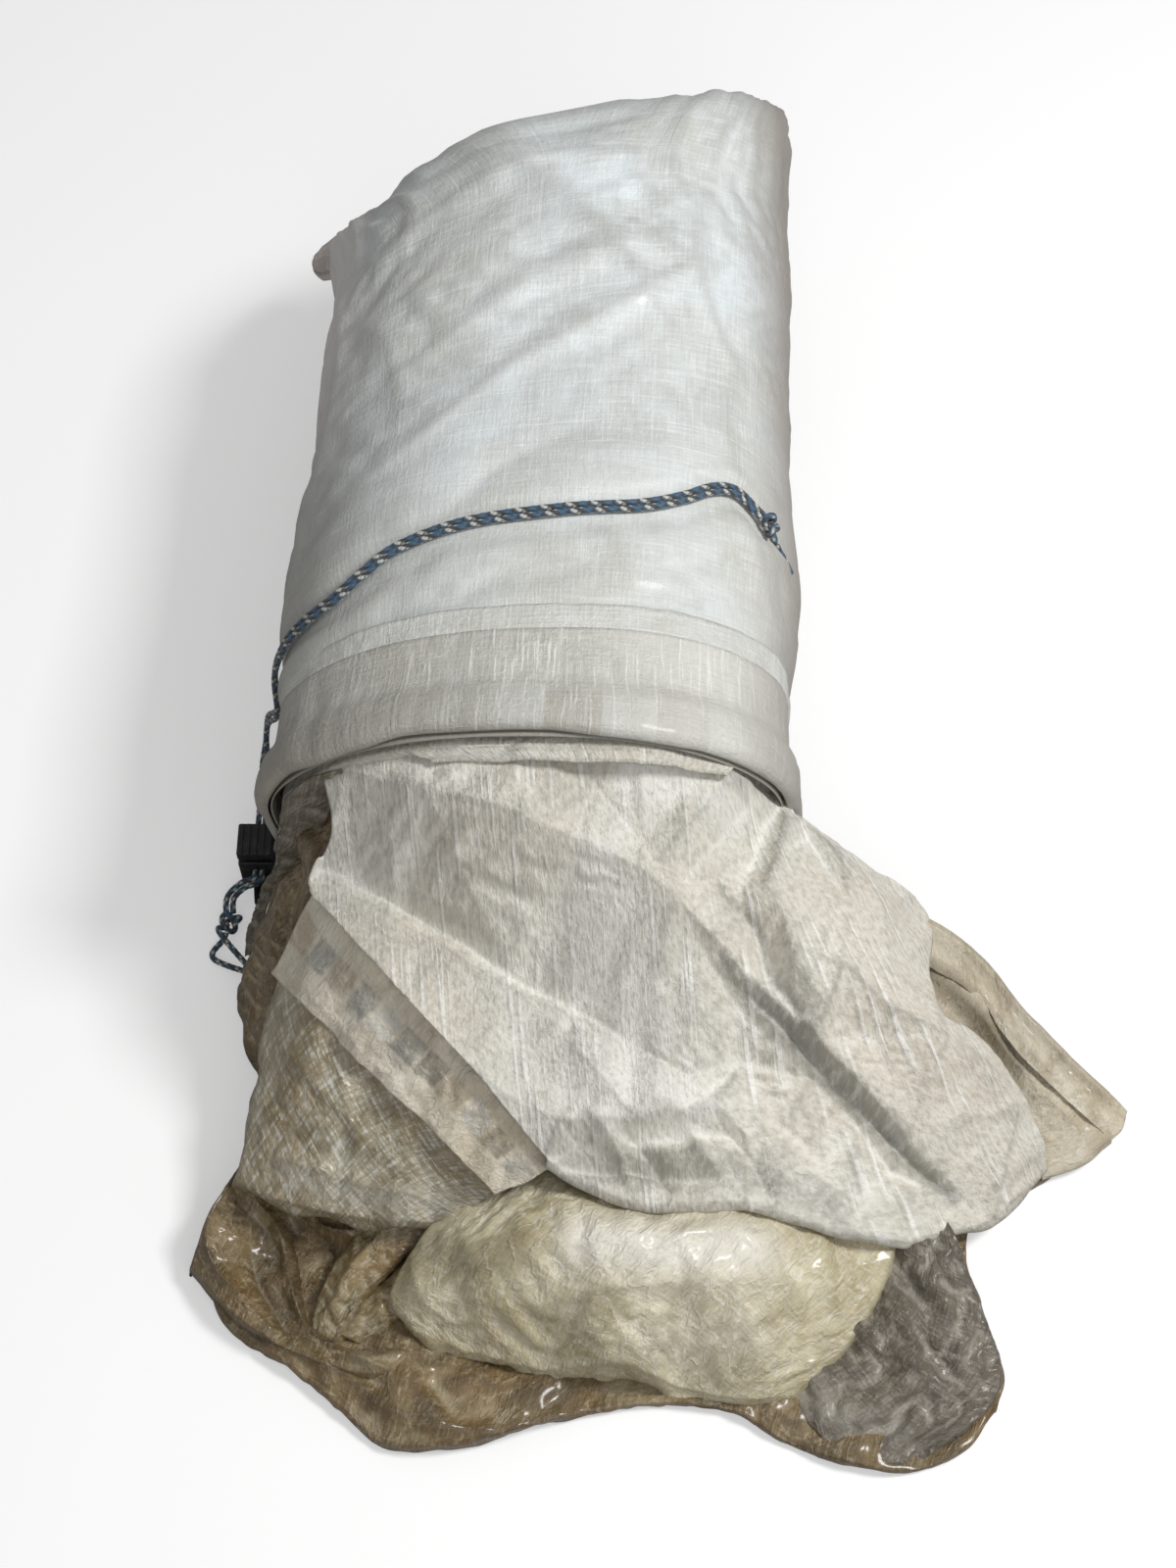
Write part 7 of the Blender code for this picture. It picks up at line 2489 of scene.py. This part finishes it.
@dataclass
class StowedTent:
    """The part of the tent that is still in the sack: canopy, mesh and floor, folded."""

    sack: StuffSack
    splits: tuple[float, float] = (0.046, 0.068)
    floor: float = 0.0063
    room: float = 0.0024

    def layer(self, name: str, low: float, high: float, look: Cloth, slot: str) -> None:
        """One folded layer: rings of the sack's inner section cut between two levels, crushed inwards.

        Args:
            name: CAD node and piece name.
            low: lower level in metres.
            high: upper level in metres.
            look: its cloth.
            slot: its slot name.
        """
        share = np.linspace(0, 0.94, 150)
        under, over = self.sack.section(share)[2:4]
        mid, reach = self.sack.section(np.minimum(share, self.sack.pillow_start))[:2]
        left, right = mid - reach + self.room, self.sack.width / 2 - self.room
        top = np.minimum(over, self.sack.height) - self.room - 0.006 * share
        bottom = np.maximum(under + self.room, 0)
        power = self.sack.roundness
        level = np.linspace(0, 1, 44)
        z_low = np.maximum(np.maximum(low, self.floor + 0.0024 * share), bottom)
        z_high = np.minimum(high, top)
        z = z_low[:, None] + (z_high - z_low)[:, None] * level[None]
        unit = np.clip((2 * z - (top + bottom)[:, None]) / (top - bottom)[:, None], -1, 1)
        wide = (1 - np.abs(unit) ** power) ** (1 / power)
        mid_x, half_x = ((left + right) / 2)[:, None], ((right - left) / 2)[:, None]
        flat = np.linspace(-1, 1, 60)[1:-1]
        right_side = np.stack([mid_x + half_x * wide, z], 2)
        left_side = np.stack([mid_x - half_x * wide, z], 2)[:, ::-1]
        ceiling = np.stack([mid_x + half_x * wide[:, -1:] * -flat, np.repeat(z[:, -1:], len(flat), 1)], 2)
        base = np.stack([mid_x + half_x * wide[:, :1] * flat, np.repeat(z[:, :1], len(flat), 1)], 2)
        ring = np.concatenate([right_side, ceiling, left_side, base], 1)
        around_count = ring.shape[1]
        y = MOUTH_Y + (self.sack.end_y + self.sack.end_skew * ring[..., 0] - MOUTH_Y) * share[:, None]
        middle_z = ((z_low + z_high) / 2)[:, None]
        heart = np.stack([np.repeat(mid_x, around_count, 1), np.repeat(middle_z, around_count, 1)], 2)
        inward = heart - ring
        inward /= np.maximum(np.linalg.norm(inward, axis=2, keepdims=True), 1e-9)
        seed = 70 + int(low * 1000)
        around = np.arange(around_count)[None] * 1.1
        dent = 0.0016 * (1 + crumple(around, y / MM, 18.0, seed))
        dent = dent + 0.0009 * (1 + swell(around, y / MM * 0.3, 7.0, seed + 4))
        ring = ring + inward * np.clip(dent, 0, 0.006)[..., None]
        points = self.sack.tucked(np.stack([ring[..., 0], y, ring[..., 1]], 2), True)
        ends = []
        for rim, bulge in ((points[0], 1), (points[-1], -1)):
            middle = rim.mean(0)
            rows = []
            for t in (0.75, 0.5, 0.25, 0.02):
                row = middle + (rim - middle) * t
                sway = 0.5 + 0.5 * swell(row[:, 0] / MM, row[:, 2] / MM, 12.0, seed + 9)
                row[:, 1] += bulge * 0.0015 * sway
                rows.append(row)
            ends.append(rows)
        points = np.concatenate([np.array(ends[0][::-1]), points, np.array(ends[1])], 0)
        crest = 3.0 * crest_of(points, 2)
        thing = grid_mesh(name + "_folds", points[:, ::-1], True, crest[:, ::-1])
        finish(thing, look.dress(name + "_cloth"), slot, Body.TENT, name)

    def build(self) -> None:
        """Make the three layers."""
        lower, upper = self.splits
        self.layer("stowed_floor", 0.0, lower, OLIVE, "floor_laminate")
        self.layer("stowed_mesh", lower + 0.0003, upper, MESH, "mesh_cloth")
        self.layer("stowed_canopy", upper + 0.0003, 1.0, CANOPY, "canopy_cloth")


# Stage


@dataclass
class Studio:
    """Camera at the photograph's view, pale floor and soft light."""

    target: tuple[float, float, float] = (0.0195, -0.110, 0.05)
    pitch: float = math.radians(60.0)
    distance: float = 0.8
    lens: float = 54.0
    sky: float = 0.30

    def build(self) -> None:
        """Make the camera, the floor, the lamps and the world."""
        scene = bpy.context.scene
        self.build_camera(scene)
        self.build_floor(scene)
        self.lamp("key", (0.72, -0.12, 1.08), (0.0, -0.10, 0.03), 0.28, 10.5)
        self.lamp("fill", (0.20, -0.95, 0.85), (0.0, -0.1, 0.03), 0.8, 2.6)
        world = bpy.data.worlds.new("studio")
        world.use_nodes = True
        world.node_tree.nodes["Background"].inputs[0].default_value = (1.0, 1.0, 1.0, 1.0)
        world.node_tree.nodes["Background"].inputs[1].default_value = self.sky
        scene.world = world

    def build_camera(self, scene: bpy.types.Scene) -> None:
        """Camera at the photograph's view.

        Args:
            scene: the scene.
        """
        data = bpy.data.cameras.new("view")
        data.lens = self.lens
        data.sensor_width = 36.0
        data.clip_start = 0.01
        camera = bpy.data.objects.new("view", data)
        target = Vector(self.target)
        camera.location = target + Vector((0, -math.cos(self.pitch), math.sin(self.pitch))) * self.distance
        camera.rotation_euler = (math.pi / 2 - self.pitch, 0, 0)
        scene.collection.objects.link(camera)
        scene.camera = camera
        scene.view_settings.view_transform = "Standard"

    @staticmethod
    def build_floor(scene: bpy.types.Scene) -> None:
        """Floor that looks paler to the camera than to the light that bounces off it.

        Args:
            scene: the scene.
        """
        floor_mesh = bpy.data.meshes.new("floor")
        floor_mesh.from_pydata([(-4, -4, 0), (4, -4, 0), (4, 4, 0), (-4, 4, 0)], [], [(0, 1, 2, 3)])
        floor = bpy.data.objects.new("floor", floor_mesh)
        floor.location.z = -0.0004
        scene.collection.objects.link(floor)
        graph = Graph("floor")
        paint = graph.noise(graph.place(), 3.0)
        seen = graph.add("LightPath").outputs["Is Camera Ray"]
        pale = graph.mix(paint, (0.66, 0.66, 0.66), (0.68, 0.68, 0.68))
        graph.put(graph.shader.inputs["Base Color"], graph.mix(seen, (0.42, 0.41, 0.40), pale))
        graph.put(graph.shader.inputs["Emission Strength"], graph.sum(seen, 0.38, "MULTIPLY"))
        graph.shader.inputs["Emission Color"].default_value = (1.0, 1.0, 1.0, 1.0)
        graph.shader.inputs["Roughness"].default_value = 0.9
        floor_mesh.materials.append(graph.material)

    def lamp(self, name: str, place: Sequence[float], aim: Sequence[float], size: float,
             power: float) -> None:
        """One soft square lamp.

        Args:
            name: lamp name.
            place: where it stands.
            aim: where it points.
            size: its side.
            power: its power in watts.
        """
        data = bpy.data.lights.new(name, "AREA")
        data.size = size
        data.energy = power
        thing = bpy.data.objects.new(name, data)
        thing.location = place
        thing.rotation_euler = (Vector(aim) - Vector(place)).to_track_quat("-Z", "Y").to_euler()
        bpy.context.scene.collection.objects.link(thing)


def main() -> None:
    """Load the frame and build the classes in order."""
    logging.basicConfig(level=logging.INFO, format="%(message)s")
    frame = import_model()
    Studio().build()
    sack = StuffSack()
    drawcord = Drawcord(sack)
    drawcord.build()
    right, left = drawcord.sides(drawcord.route())
    sack.cord_line = np.concatenate([right, left])[::2]
    sack.build()
    StowedTent(sack).build()
    for sheet in SHEETS:
        sheet.build()
    CordLock().build(frame["nodes"])


if __name__ == "__main__":
    main()
